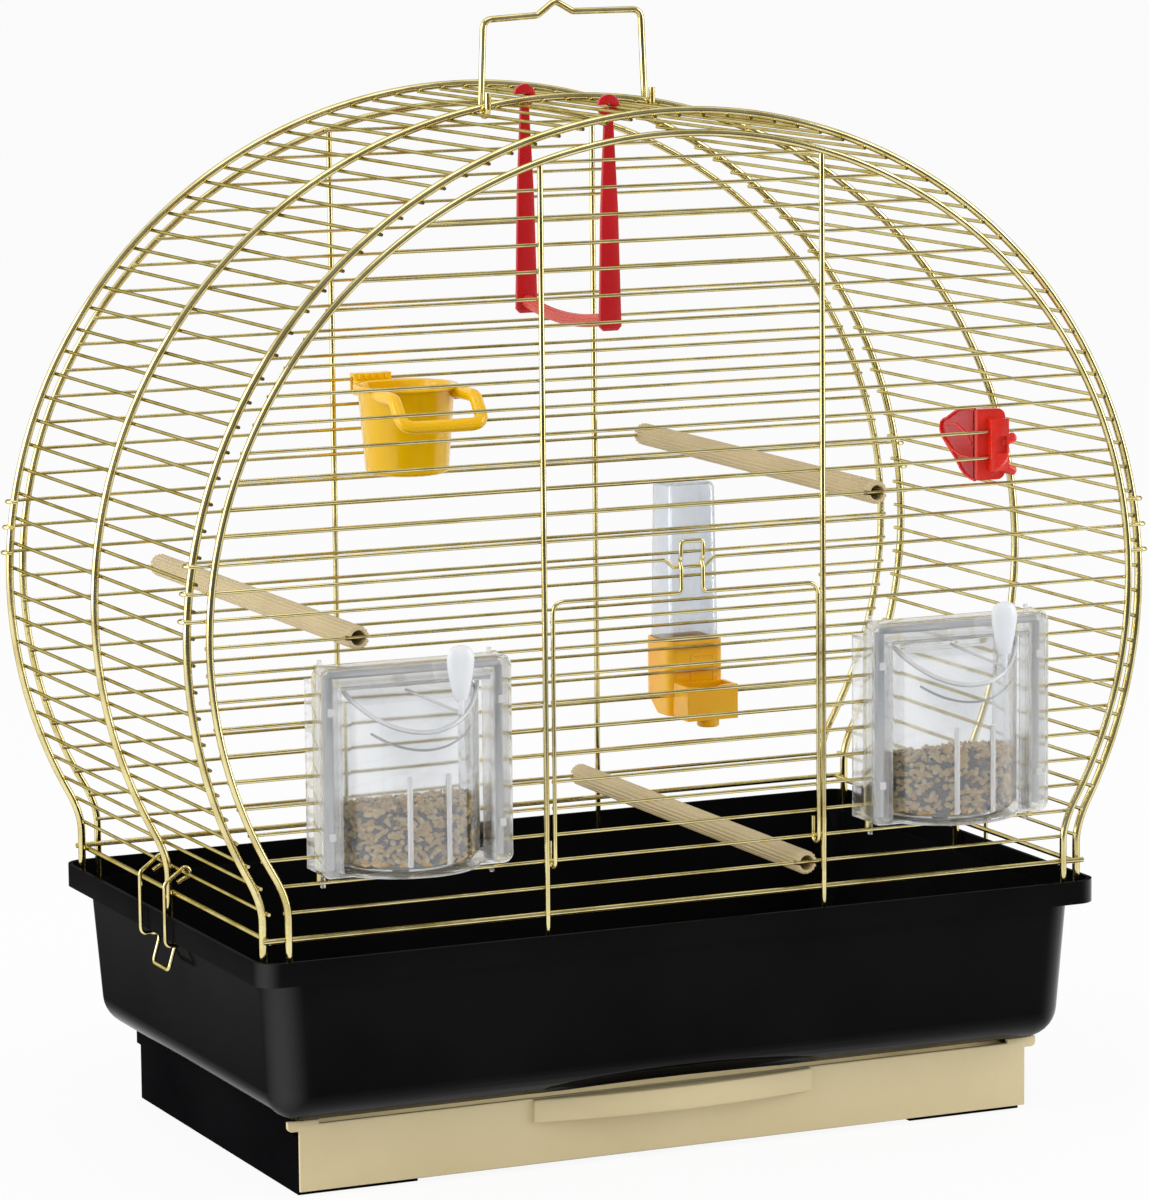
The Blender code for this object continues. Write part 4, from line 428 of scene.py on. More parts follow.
@dataclass(frozen=True)
class StudioFloor:
    """Pale floor that keeps the object's shadow; its reflection darkens far in front."""

    name: str = "studio_floor"
    pale: Point = (0.86, 0.86, 0.86)
    deep: Point = (0.08, 0.08, 0.08)
    dark_from: float = -1.3
    pale_from: float = -0.5
    glow_share: float = 0.92
    veiled_share: float = 0.4
    dark_share: float = 0.75
    roughness: float = 0.7

    def material(self) -> bpy.types.Material:
        """Build the material."""
        paint = Paint(self.name)
        depth = paint.node("ShaderNodeSeparateXYZ", None, {0: paint.place()}, 1)
        room = paint.smooth(depth, (self.dark_from, self.pale_from))
        glossy, through = paint.ray(Ray.GLOSSY), paint.ray(Ray.TRANSMISSION)
        dark = (glossy * (1.0 - through) + through * self.dark_share) * (1.0 - room)
        paint.set(Base_Color=paint.blend(dark, self.pale, self.deep), Roughness=self.roughness)
        clear = through * (room * (1.0 - self.veiled_share) + self.veiled_share)
        seen = paint.ray(Ray.CAMERA) + clear + glossy * room
        glow = paint.node("ShaderNodeEmission", None, {"Color": WHITE, "Strength": 1.0})
        lit = Link(paint, paint.shader.outputs[0])
        values = {0: seen.smaller(1.0) * self.glow_share, 1: lit, 2: glow}
        mixed = paint.node("ShaderNodeMixShader", None, values)
        paint.feed(paint.tree.nodes["Material Output"].inputs["Surface"], mixed)
        return paint.material


@dataclass(frozen=True)
class Finishes:
    """All finishes of the cage, each made once."""

    brass: PlatedWire = PlatedWire("pale_brass_plating", (0.90, 0.79, 0.40), (0.58, 0.47, 0.18))
    black: MouldedPlastic = MouldedPlastic(
        "glossy_black_base", (0.0060, 0.0060, 0.0066), (0.0035, 0.0035, 0.0040), 0.22, 0.02,
        specular=0.0, corner_gloss=0.9
    )
    beige: MouldedPlastic = MouldedPlastic(
        "beige_drawer_plastic", (0.72, 0.61, 0.36), (0.66, 0.55, 0.31), 0.36
    )
    tan: MouldedPlastic = MouldedPlastic(
        "tan_perch_plastic", (0.58, 0.47, 0.27), (0.48, 0.37, 0.19), 0.45, 0.12
    )
    red: MouldedPlastic = MouldedPlastic(
        "red_swing_plastic", (0.56, 0.004, 0.010), (0.44, 0.002, 0.006), 0.24
    )
    pale_red: MouldedPlastic = MouldedPlastic(
        "soft_red_perch_plastic", (0.62, 0.075, 0.055), (0.50, 0.045, 0.035), 0.30, depth=0.35
    )
    # Darker copy of the holder's red for the wing: painted shade on its hollow face.
    wing_red: MouldedPlastic = MouldedPlastic(
        "crimson_wing_plastic", (0.52, 0.004, 0.012), (0.42, 0.002, 0.008), 0.22
    )
    holder_red: MouldedPlastic = MouldedPlastic(
        "warm_red_holder_plastic", (0.80, 0.030, 0.012), (0.66, 0.014, 0.008), 0.26, depth=0.15
    )
    yellow: MouldedPlastic = MouldedPlastic(
        "yellow_cup_plastic", (0.95, 0.57, 0.003), (0.90, 0.50, 0.002), 0.13, 0.01, depth=0.1
    )
    orange: ClearPlastic = ClearPlastic(
        "orange_drinker_plastic", (1.0, 0.54, 0.008), (1.0, 0.45, 0.005), 0.12, 0.12
    )
    tube: ClearPlastic = ClearPlastic(
        "grey_clear_tube", (0.88, 0.91, 0.95), (0.80, 0.83, 0.88), 0.95, 0.03,
        bending=1.36, cover=0.9, gloss=0.6
    )
    clear: ClearPlastic = ClearPlastic(
        "clear_drum_plastic", (0.82, 0.84, 0.86), (0.76, 0.78, 0.81), 0.98, 0.02,
        bending=1.33, cover=0.95, gloss=0.7
    )
    shell: ClearPlastic = ClearPlastic(
        "clear_feeder_frame", (0.93, 0.94, 0.96), (0.87, 0.89, 0.92), 0.97, 0.02,
        bending=1.33, cover=0.8, gloss=0.9
    )
    # White, half-clouded clear plastic on the feeders' rails, rims, ribs and guides: painted highlight along
    # their edges.
    bright: ClearPlastic = ClearPlastic("bright_feeder_edges", WHITE, (0.95, 0.97, 1.0), 0.50, 0.08)
    milky: ClearPlastic = ClearPlastic(
        "milky_lever_plastic", (0.95, 0.97, 1.0), (0.88, 0.91, 0.96), 0.20, 0.16
    )
    seed: GrainCoat = GrainCoat(
        "mixed_seed_husks",
        (
            # The lowest stop colours black seeds and the heap's core, whose near-black is painted shade.
            (0.05, (0.020, 0.010, 0.004)),
            (0.22, (0.15, 0.065, 0.018)),
            (0.34, (0.62, 0.340, 0.070)),
            (0.62, (0.88, 0.580, 0.170)),
            (0.95, (0.98, 0.820, 0.450)),
        ),
    )


class Shelf:
    """The finishes' materials, built on first use and shared by the pieces."""

    finishes = Finishes()
    made: dict[str, bpy.types.Material] = {}

    @classmethod
    def material(cls, name: str) -> bpy.types.Material:
        """Material of a finish, by its field's name."""
        if name not in cls.made:
            cls.made[name] = getattr(cls.finishes, name).material()
        return cls.made[name]


def deselect() -> None:
    """Leave edit mode and select nothing."""
    if bpy.context.mode != "OBJECT":
        bpy.ops.object.mode_set(mode="OBJECT")
    bpy.ops.object.select_all(action="DESELECT")


def activate(item: Item) -> Item:
    """Select one object alone and make it active."""
    deselect()
    item.select_set(True)
    bpy.context.view_layer.objects.active = item
    return item


def apply_modifier(item: Item, kind: str, **settings: object) -> Item:
    """Add a modifier, set it and apply it.

    Args:
        item: The object.
        kind: The modifier's type.
        **settings: Its settings.

    Returns:
        The same object.
    """
    activate(item)
    modifier = item.modifiers.new(kind.lower(), kind)
    for name, value in settings.items():
        setattr(modifier, name, value)
    bpy.ops.object.modifier_apply(modifier=modifier.name)
    return item


def carve(item: Item, tool: Item, operation: str = "DIFFERENCE") -> Item:
    """Apply an exact Boolean and remove its tool.

    Args:
        item: The object that is changed.
        tool: The other solid, which is used up.
        operation: DIFFERENCE, UNION or INTERSECT.

    Returns:
        The changed object.
    """
    apply_modifier(item, "BOOLEAN", object=tool, operation=operation, solver="EXACT")
    bpy.data.objects.remove(tool, do_unlink=True)
    return item


def edit_all() -> None:
    """Enter edit mode with the whole mesh selected."""
    bpy.ops.object.mode_set(mode="EDIT")
    bpy.ops.mesh.select_all(action="SELECT")


def stop_editing() -> None:
    """Go back to object mode."""
    bpy.ops.object.mode_set(mode="OBJECT")


def clean(item: Item, angle: float = SMOOTH_ANGLE) -> Item:
    """Put the place into the mesh, merge doubles, face outwards and shade smooth by angle."""
    activate(item)
    bpy.ops.object.transform_apply(location=True, rotation=True, scale=True)
    edit_all()
    bpy.ops.mesh.remove_doubles(threshold=MERGE)
    bpy.ops.mesh.normals_make_consistent(inside=False)
    stop_editing()
    bpy.ops.object.shade_smooth_by_angle(angle=angle)
    return item


def soften(item: Item, width: float, segments: int = 2, angle: float = 35.0) -> Item:
    """Clean a moulded solid and round its sharp edges.

    Args:
        item: The solid.
        width: Width of the rounding.
        segments: Steps across it.
        angle: Edges sharper than this, in degrees, are rounded.

    Returns:
        The same object.
    """
    clean(item)
    apply_modifier(
        item, "BEVEL", width=width, segments=segments, limit_method="ANGLE", angle_limit=math.radians(angle)
    )
    activate(item)
    bpy.ops.object.shade_smooth_by_angle(angle=SMOOTH_ANGLE)
    return apply_modifier(item, "WEIGHTED_NORMAL", keep_sharp=True)


def write_values(mesh: bpy.types.Mesh, name: str, values: Sequence[float]) -> None:
    """Write a value for each vertex as an attribute."""
    mesh.attributes.new(name, "FLOAT", "POINT").data.foreach_set("value", values)


def mark_edges(item: Item) -> Item:
    """Write how far each vertex looks out over a rounded edge, from 0 on flats to 1.

    Args:
        item: The piece.

    Returns:
        The same piece, with a float attribute named edge.
    """
    values = []
    for vertex in item.data.vertices:
        x, y, z = (abs(part) for part in vertex.normal)
        upright = (2.0 * x * y) ** 2
        level = (2.0 * max(x, y) * z) ** 2
        values.append(min(1.0, max(upright, LEVEL_EDGE_SHARE * level)))
    write_values(item.data, "edge", values)
    return item


def add_line(curve: bpy.types.Curve, points: Sequence[Point], closed: bool) -> None:
    """Add a polyline to a curve: in space, or closed and flat with points of two numbers."""
    spline = curve.splines.new("POLY")
    spline.points.add(len(points) - 1)
    for corner, point in zip(spline.points, points):
        corner.co = (*point, 0.0, 1.0) if closed else (*point, 1.0)
    spline.use_cyclic_u = closed


def named(name: str) -> Item:
    """Name the object that was just added."""
    bpy.context.object.name = name
    return bpy.context.object


def wire(name: str, paths: Sequence[Sequence[Point]], diameter: float, sides: int = 10) -> Item:
    """Bend round wires of one diameter along paths, as one object.

    Args:
        name: The object's name.
        paths: Lists of points.
        diameter: The wires' diameter.
        sides: Even number of sides of a wire.

    Returns:
        The wires as a mesh.
    """
    deselect()
    bpy.ops.curve.primitive_nurbs_path_add(location=ORIGIN)
    curve = named(name).data
    curve.splines.clear()
    curve.dimensions = "3D"
    curve.twist_mode = "MINIMUM"
    curve.bevel_depth = diameter / 2
    curve.bevel_resolution = sides // 2 - 2
    curve.use_fill_caps = True
    for path in paths:
        add_line(curve, path, False)
    bpy.ops.object.convert(target="MESH")
    return clean(bpy.context.object)


def plate(
    name: str, outlines: Sequence[Sequence[Point]], thickness: float, rounding: float, frame: Matrix
) -> Item:
    """Cut a flat plate with rounded edges from outlines.

    Args:
        name: The object's name.
        outlines: The outer outline and then its holes, as lists of two-number points.
        thickness: Thickness of the plate, centred on the outlines' plane.
        rounding: Radius of its edges.
        frame: Matrix that takes the outlines' plane to its place.

    Returns:
        The plate as a mesh.
    """
    deselect()
    bpy.ops.curve.primitive_bezier_circle_add(location=ORIGIN)
    curve = named(name).data
    curve.splines.clear()
    curve.dimensions = "2D"
    curve.fill_mode = "BOTH"
    curve.extrude = thickness / 2 - rounding
    curve.bevel_depth = rounding
    curve.bevel_resolution = 1
    curve.offset = -rounding
    for outline in outlines:
        add_line(curve, outline, True)
    bpy.ops.object.convert(target="MESH")
    item = bpy.context.object
    item.data.transform(frame)
    return clean(item)


def front_plane(y: float, z: float = 0.0) -> Matrix:
    """Matrix that stands an outline of X and Z up at a depth."""
    return Matrix(((1, 0, 0, 0), (0, 0, -1, y), (0, 1, 0, z), (0, 0, 0, 1)))


def side_plane(x: float) -> Matrix:
    """Matrix that stands an outline of Y and Z up at an X."""
    return Matrix(((0, 0, 1, x), (1, 0, 0, 0), (0, 1, 0, 0), (0, 0, 0, 1)))


def arc(centre: Point, radius: float, start: float, sweep: float, steps: int) -> list[Spot]:
    """Points of a flat arc, its angles in radians."""
    angles = [start + sweep * step / steps for step in range(steps + 1)]
    return [(centre[0] + radius * math.cos(a), centre[1] + radius * math.sin(a)) for a in angles]


def block(name: str, low: Point, high: Point) -> Item:
    """Add a cube and stretch it between two corners."""
    deselect()
    middle = (Vector(low) + Vector(high)) / 2
    bpy.ops.mesh.primitive_cube_add(size=1.0, location=middle)
    item = named(name)
    edit_all()
    bpy.ops.transform.resize(value=tuple(Vector(high) - Vector(low)), center_override=middle)
    stop_editing()
    bpy.ops.object.transform_apply(location=True, rotation=True, scale=True)
    return item


def raise_rings(rings: Sequence[Ring], centre: Point = (0.0, 0.0)) -> None:
    """Extrude the selected face through rings of half width, half depth and height."""
    for before, after in zip(rings, rings[1:]):
        rise = (0.0, 0.0, after[2] - before[2])
        bpy.ops.mesh.extrude_region_move(TRANSFORM_OT_translate={"value": rise})
        grow = (after[0] / before[0], after[1] / before[1], 1.0)
        bpy.ops.transform.resize(value=grow, center_override=(centre[0], centre[1], after[2]))


def rounded_stack(
    name: str, rings: Sequence[Ring], corner: float, centre: Point = (0.0, 0.0), steps: int = 8
) -> Item:
    """Raise a rounded rectangle through rings of half width, half depth and height.

    Args:
        name: The object's name.
        rings: The rings, from the first face to the last.
        corner: Corner radius of the first ring.
        centre: Centre of the rings in plan.
        steps: Segments of each corner.

    Returns:
        A closed solid.
    """
    deselect()
    half_x, half_y, z = rings[0]
    middle = (centre[0], centre[1], z)
    bpy.ops.mesh.primitive_plane_add(size=2.0, location=middle)
    item = named(name)
    edit_all()
    bpy.ops.transform.resize(value=(half_x, half_y, 1.0), center_override=middle)
    bpy.ops.mesh.bevel(offset=corner, segments=steps, affect="VERTICES")
    bpy.ops.mesh.select_all(action="SELECT")
    raise_rings(rings, centre)
    stop_editing()
    return clean(item)


def turned(
    name: str, profile: Sequence[tuple[float, float]], place: Matrix, sides: int = 48
) -> Item:
    """Turn a profile of radii and heights round Z and put it in place.

    Args:
        name: The object's name.
        profile: Radii and heights, from the first face round the outside to the last face.
        place: Matrix that takes the Z axis to its place.
        sides: Sides of the round.

    Returns:
        A closed solid.
    """
    deselect()
    radius, z = profile[0]
    bpy.ops.mesh.primitive_circle_add(vertices=sides, radius=radius, fill_type="NGON", location=(0.0, 0.0, z))
    item = named(name)
    edit_all()
    raise_rings([(radius, radius, z) for radius, z in profile])
    stop_editing()
    bpy.ops.object.transform_apply(location=True, rotation=True, scale=True)
    item.data.transform(place)
    return clean(item)


def lathe_frame(start: Point, end: Point) -> tuple[Matrix, float]:
    """Matrix that stands Z along a run from start to end, and the run's length."""
    run = Vector(end) - Vector(start)
    turn = Vector((0.0, 0.0, 1.0)).rotation_difference(run).to_matrix().to_4x4()
    return Matrix.Translation(Vector(start)) @ turn, run.length


def rod(name: str, start: Point, end: Point, radius: float, sides: int = 32) -> Item:
    """Straight round rod with slightly rounded ends."""
    place, length = lathe_frame(start, end)
    edge = min(radius, length) * ROD_END_SHARE
    profile = [(radius - edge, 0.0), (radius, edge), (radius, length - edge), (radius - edge, length)]
    return turned(name, profile, place, sides)


def merge(name: str, items: Sequence[Item]) -> Item:
    """Join objects into one that takes a name."""
    deselect()
    for item in items:
        item.select_set(True)
    bpy.context.view_layer.objects.active = items[0]
    if len(items) > 1:
        bpy.ops.object.join()
    items[0].name = name
    return items[0]


def scatter(
    name: str, model: Item, places: Sequence[Matrix], tones: Sequence[float] | None = None
) -> Item:
    """Copy a small model to many places in one mesh and remove the model.

    Args:
        name: The new object's name.
        model: The model, round its own origin.
        places: Where its copies go.
        tones: A value for each copy, kept as the mesh's tone attribute.

    Returns:
        The object with all the copies.
    """
    corners = np.array([vertex.co for vertex in model.data.vertices])
    faces = [tuple(face.vertices) for face in model.data.polygons]
    points = []
    polygons = []
    for number, place in enumerate(places):
        turn = np.array(place.to_3x3())
        points.append(corners @ turn.T + np.array(place.translation))
        shift = number * len(corners)
        polygons += [tuple(index + shift for index in face) for face in faces]
    mesh = bpy.data.meshes.new(name)
    mesh.from_pydata(np.concatenate(points).tolist(), [], polygons)
    mesh.shade_smooth()
    if tones is not None:
        write_values(mesh, "tone", np.repeat(np.array(tones, dtype=np.float32), len(corners)))
    item = bpy.data.objects.new(name, mesh)
    bpy.context.collection.objects.link(item)
    bpy.data.objects.remove(model, do_unlink=True)
    return item


def bead_model() -> Item:
    """Small round bead of unit radius with a few dozen faces."""
    deselect()
    bpy.ops.mesh.primitive_uv_sphere_add(segments=8, ring_count=5, radius=1.0, location=ORIGIN)
    return bpy.context.object


def weld_beads(name: str, points: Sequence[Point], radius: float) -> Item:
    """Weld beads of slightly uneven size at wire crossings."""
    chance = random.Random(len(points))
    places = []
    for point in points:
        size = radius * chance.uniform(*WELD_SIZE_SHARES)
        places.append(Matrix.Translation(Vector(point)) @ Matrix.Scale(size, 4))
    return scatter(name, bead_model(), places)


def bend(points: Sequence[Point], radius: float, steps: int = 7) -> Path:
    """Round the corners of a path.

    Args:
        points: The path's corners.
        radius: Radius of the rounding.
        steps: Points along each corner.

    Returns:
        The rounded path.
    """
    path = [Vector(points[0])]
    for before, corner, after in zip(points, points[1:], points[2:]):
        corner = Vector(corner)
        back = Vector(before) - corner
        ahead = Vector(after) - corner
        half = back.angle(ahead) / 2
        reach = min(radius / math.tan(half), back.length / 2, ahead.length / 2)
        start = corner + back.normalized() * reach
        end = corner + ahead.normalized() * reach
        for step in range(steps + 1):
            share = step / steps
            path.append(start.lerp(corner, share).lerp(corner.lerp(end, share), share))
    path.append(Vector(points[-1]))
    return path


def curl(centre: Point, radius: float, start: float, sweep: float, along: Point, up: Point) -> Path:
    """Arc round a centre, in degrees, in the plane of two unit vectors."""
    flat = arc((0.0, 0.0), radius, math.radians(start), math.radians(sweep), 14)
    return [Vector(centre) + a * Vector(along) + u * Vector(up) for a, u in flat]


def dress(
    item: Item, finish: str, body: str, stands_for: Sequence[str] = ()
) -> Item:
    """Give a piece its finish, let it ride and report it.

    Args:
        item: The piece.
        finish: Field name of its finish.
        body: The frame's body that it rides on.
        stands_for: CAD nodes that it replaces.

    Returns:
        The piece.
    """
    item.data.name = item.name
    item.data.materials.clear()
    item.data.materials.append(Shelf.material(finish))
    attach(item, body)
    if stands_for:
        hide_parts(*stands_for)
    LOG.info("%s: %d faces on %s", item.name, len(item.data.polygons), body)
    return item


def dress_wire(item: Item, node: str, body: str = Body.CAGE) -> Item:
    """Dress a piece of brass wire that stands for a CAD node."""
    return dress(item, "brass", body, [node])


@dataclass(frozen=True)
class Arch:
    """A wire arch in the XZ plane: an ellipse over straight legs, with bent knees."""

    half_width: float
    rise: float
    centre_z: float
    leg_x: float
    foot_z: float
    knee_bend: float = 0.010
    steps: int = 132

    def knee(self) -> float:
        """Angle below the horizontal at which the leg leaves the ellipse."""
        return math.acos(self.leg_x / self.half_width)

    def point(self, angle: float) -> Vector:
        """Point of the ellipse at an angle from its +X end."""
        return Vector((self.half_width * math.cos(angle), 0.0, self.centre_z + self.rise * math.sin(angle)))

    def path(self, y: float) -> Path:
        """Wire from the foot at -X over the crest to the foot at +X."""
        start = math.pi + self.knee()
        sweep = start + self.knee()
        arc = [self.point(start - sweep * step / self.steps) for step in range(self.steps + 1)]
        kept = [p for p in arc if min((p - arc[0]).length, (p - arc[-1]).length) > self.knee_bend]
        path = [Vector((-self.leg_x, 0.0, self.foot_z))]
        path += self.knee_curve(arc[0], kept[0])
        path += kept[1:-1]
        path += list(reversed(self.knee_curve(arc[-1], kept[-1])))
        path.append(Vector((self.leg_x, 0.0, self.foot_z)))
        return [Vector((p.x, y, p.z)) for p in path]

    def knee_curve(self, knee: Vector, above: Vector) -> Path:
        """Smooth bend from the leg below a knee to a point of the ellipse above it."""
        below = knee - Vector((0.0, 0.0, self.knee_bend))
        steps = 8
        shares = [step / steps for step in range(steps + 1)]
        return [below.lerp(knee, share).lerp(knee.lerp(above, share), share) for share in shares]

    def half_x(self, z: float) -> float:
        """Half width of the arch at a height."""
        if z < self.centre_z - self.rise * math.sin(self.knee()):
            return self.leg_x
        share = (z - self.centre_z) / self.rise
        return self.half_width * math.sqrt(max(0.0, 1.0 - share * share))

    def spread(self, spacing: float, count: int) -> list[tuple[Vector, Vector]]:
        """Points evenly spaced along the +X half from the crest.

        Args:
            spacing: Distance along the wire.
            count: How many points.

        Returns:
            Each point with its inward normal.
        """
        samples = 4000
        reach = math.pi / 2 + self.knee()
        found: list[tuple[Vector, Vector]] = []
        length = 0.0
        before = self.point(math.pi / 2)
        for step in range(1, samples + 1):
            angle = math.pi / 2 - reach * step / samples
            here = self.point(angle)
            length += (here - before).length
            before = here
            if len(found) < count and length >= spacing * (len(found) + 1):
                inward = Vector((-self.rise * math.cos(angle), 0.0, -self.half_width * math.sin(angle)))
                found.append((here, inward.normalized()))
        return found


@dataclass
class Barrel:
    """Three hoops on straight legs with the depth wires welded inside them."""

    half_width: float = 0.2530
    rise: float = 0.2410
    centre_height: float = 0.1584
    leg_x: float = 0.2180
    half_depth: float = 0.1280
    hoop_wire: float = 0.0038
    edge_wire: float = 0.0026
    inset: float = 0.0022010
    pitch: float = 0.0127463
    wires_each_side: int = 41
    edge_height: float = 0.0170
    edge_inset: float = 0.0027258
    stub: float = 0.0008
    bead: float = 0.00125

    @property
    def arch(self) -> Arch:
        """Line of the hoops."""
        return Arch(self.half_width, self.rise, PLAN.foot_z + self.centre_height, self.leg_x, PLAN.foot_z)

    def wire_centres(self) -> list[tuple[Vector, Vector]]:
        """Centres of the depth wires with the direction towards the hoops."""
        crest = Vector((0.0, 0.0, PLAN.crest_wire_z))
        centres = [(crest, Vector((0.0, 0.0, 1.0)))]
        for point, inward in self.arch.spread(self.pitch, self.wires_each_side - 1):
            centre = point + inward * self.inset
            centres.append((centre, -inward))
            mirrored = Vector((-centre.x, 0.0, centre.z))
            centres.append((mirrored, Vector((inward.x, 0.0, -inward.z))))
        for side in Side:
            foot = Vector((side.value * PLAN.leg_wire_x, 0.0, PLAN.leg_wire_z))
            centres.append((foot, Vector((side.value, 0.0, 0.0))))
        return centres

    def build(self) -> None:
        """Model and dress the barrel's pieces."""
        hoop_ys = (-self.half_depth, 0.0, self.half_depth)
        dress_wire(wire("barrel_hoops", [self.arch.path(y) for y in hoop_ys], self.hoop_wire, 14), "barrel")
        face = self.half_depth + self.hoop_wire / 2
        end = face + self.stub
        centres = self.wire_centres()
        paths = [[(c.x, -end, c.z), (c.x, end, c.z)] for c, _ in centres]
        dress_wire(wire("barrel_depth_wires", paths, PLAN.fine_wire), "barrel")
        touch = PLAN.fine_wire / 2
        welds = [(c.x + n.x * touch, y, c.z + n.z * touch) for c, n in centres for y in hoop_ys]
        dress_wire(weld_beads("barrel_welds", welds, self.bead), "barrel")
        edge_x = self.leg_x - self.edge_inset
        edge_z = PLAN.foot_z + self.edge_height
        paths = [[(s.value * edge_x, -face, edge_z), (s.value * edge_x, face, edge_z)] for s in Side]
        dress_wire(wire("barrel_edge_wires", paths, self.edge_wire, 12), "barrel")


@dataclass
class EndPanel:
    """One end of the cage: hoop, uprights and horizontal wires, with or without openings."""

    node: str
    has_openings: bool
    half_width: float = 0.2440
    rise: float = 0.2296
    centre_height: float = 0.1594
    leg_x: float = 0.2073
    hoop_wire: float = 0.0035
    hoop_lap_share: float = 0.43
    upright_wire: float = 0.0027
    edge_wire: float = 0.0026
    post_wire: float = 0.0020
    hoop_y: float = 0.1339157
    upright_y: float = 0.1333191
    edge_y: float = 0.1323
    post_y: float = 0.1304339
    upright_x: float = 0.0740
    wires: int = 28
    edge_end: float = 0.2195
    feeder_x: float = 0.1447
    opening_half: float = 0.0455
    feeder_levels: tuple[int, int] = (3, 9)
    door_levels: tuple[int, int] = (3, 12)
    hooked_levels: tuple[int, ...] = (12, 13, 14)
    latch_level: int = 13
    latch_x: float = 0.0030
    bow_half: float = 0.0085
    bow_run: float = 0.0045
    bow_drop: float = 0.0040
    bead: float = 0.00115

    @property
    def arch(self) -> Arch:
        """Line of the panel's hoop."""
        return Arch(self.half_width, self.rise, PLAN.foot_z + self.centre_height, self.leg_x, PLAN.foot_z)

    @property
    def post_xs(self) -> list[float]:
        """Places of the posts beside the feeder openings."""
        return [a * self.feeder_x + b * self.opening_half for a in (-1, 1) for b in (-1, 1)]

    def turn(self, paths: Sequence[Sequence[Point]]) -> list[Path]:
        """Turn paths that are drawn for the front to this panel's end."""
        sign = 1.0 if self.has_openings else -1.0
        return [[Vector((sign * p[0], sign * p[1], p[2])) for p in path] for path in paths]

    def hook(self, height: float, start_x: float, side: int) -> Path:
        """A wire that runs out from start_x and hooks round the barrel's end hoop."""
        barrel = Barrel()
        hoop_x = barrel.arch.half_x(height)
        centre = (side * hoop_x, -barrel.half_depth, height)
        radius = PLAN.wire_y - barrel.half_depth
        turn = curl(centre, radius, -90.0, 180.0, (side, 0, 0), (0, 1, 0))
        return [Vector((start_x, -PLAN.wire_y, height))] + turn

    def latch_bow(self, height: float) -> Path:
        """Dip of the wire that the door's latch snaps over."""
        near = self.bow_half
        far = near + self.bow_run
        low = height - self.bow_drop
        line = [(-far - self.bow_run, height), (-far, height), (-near, low), (near, low), (far, height)]
        line.append((far + self.bow_run, height))
        return bend([(self.latch_x + x, -PLAN.wire_y, z) for x, z in line], BOW_CORNER)

    def level_paths(self, index: int) -> list[Path]:
        """One horizontal wire: a single run, or runs beside the openings."""
        z = PLAN.level(index)
        reach = self.arch.half_x(z) + self.hoop_wire * self.hoop_lap_share
        hooked = index in self.hooked_levels
        stops = []
        if self.has_openings and self.feeder_levels[0] <= index <= self.feeder_levels[1]:
            stops.append((self.feeder_x - self.opening_half, self.feeder_x + self.opening_half))
        if self.has_openings and self.door_levels[0] <= index <= self.door_levels[1]:
            stops.append((0.0, self.upright_x - self.upright_wire / 2))
        if not stops:
            middle = self.latch_bow(z) if self.has_openings and index == self.latch_level else []
            ends = [[Vector((side * reach, -PLAN.wire_y, z))] for side in (-1, 1)]
            if hooked:
                ends = [self.hook(z, 0.0, side)[1:] for side in (-1, 1)]
            return [list(reversed(ends[0])) + middle + ends[1]]
        paths = []
        for side in (-1, 1):
            edge = reach
            for near, far in sorted(stops, reverse=True):
                if edge == reach and hooked:
                    paths.append(self.hook(z, side * far, side))
                else:
                    paths.append([Vector((side * x, -PLAN.wire_y, z)) for x in (far, edge)])
                edge = near
        return paths

    def weld_points(self) -> list[Vector]:
        """Crossings of the horizontal wires with the hoop, the uprights and the posts."""
        y = -PLAN.wire_y - PLAN.fine_wire / 2
        points = []
        for index in range(1, self.wires + 1):
            z = PLAN.level(index)
            half = self.arch.half_x(z)
            points += [Vector((side * half, y, z)) for side in (-1, 1)]
            if z < self.upright_top():
                points += [Vector((side * self.upright_x, y, z)) for side in (-1, 1)]
            if self.has_openings and self.feeder_levels[0] - 1 <= index <= self.feeder_levels[1] + 1:
                points += [Vector((x, -PLAN.wire_y + PLAN.fine_wire / 2, z)) for x in self.post_xs]
        return points

    def upright_top(self) -> float:
        """Height where the uprights meet the hoop."""
        share = self.upright_x / self.arch.half_width
        return self.arch.centre_z + self.arch.rise * math.sqrt(1.0 - share * share)

    def build(self) -> None:
        """Model and dress the panel's pieces."""
        hoop = wire(self.node + "_hoop", self.turn([self.arch.path(-self.hoop_y)]), self.hoop_wire, 14)
        levels = [path for index in range(1, self.wires + 1) for path in self.level_paths(index)]
        wires = wire(self.node + "_wires", self.turn(levels), PLAN.fine_wire)
        z = PLAN.level(0)
        line = [(-self.edge_end, -self.edge_y, z), (self.edge_end, -self.edge_y, z)]
        edge = wire(self.node + "_edge", self.turn([line]), self.edge_wire, 12)
        heights = (PLAN.foot_z, self.upright_top())
        stands = [[(s.value * self.upright_x, -self.upright_y, z) for z in heights] for s in Side]
        uprights = wire(self.node + "_uprights", self.turn(stands), self.upright_wire, 12)
        welds = weld_beads(self.node + "_welds", self.turn([self.weld_points()])[0], self.bead)
        pieces = [hoop, wires, edge, uprights, welds]
        if self.has_openings:
            low = PLAN.level(self.feeder_levels[0] - 1) - PLAN.fine_wire / 2
            high = PLAN.level(self.feeder_levels[1] + 1) + PLAN.fine_wire / 2
            posts = [[(x, -self.post_y, low), (x, -self.post_y, high)] for x in self.post_xs]
            pieces.append(wire(self.node + "_posts", posts, self.post_wire))
        for piece in pieces:
            dress_wire(piece, self.node)


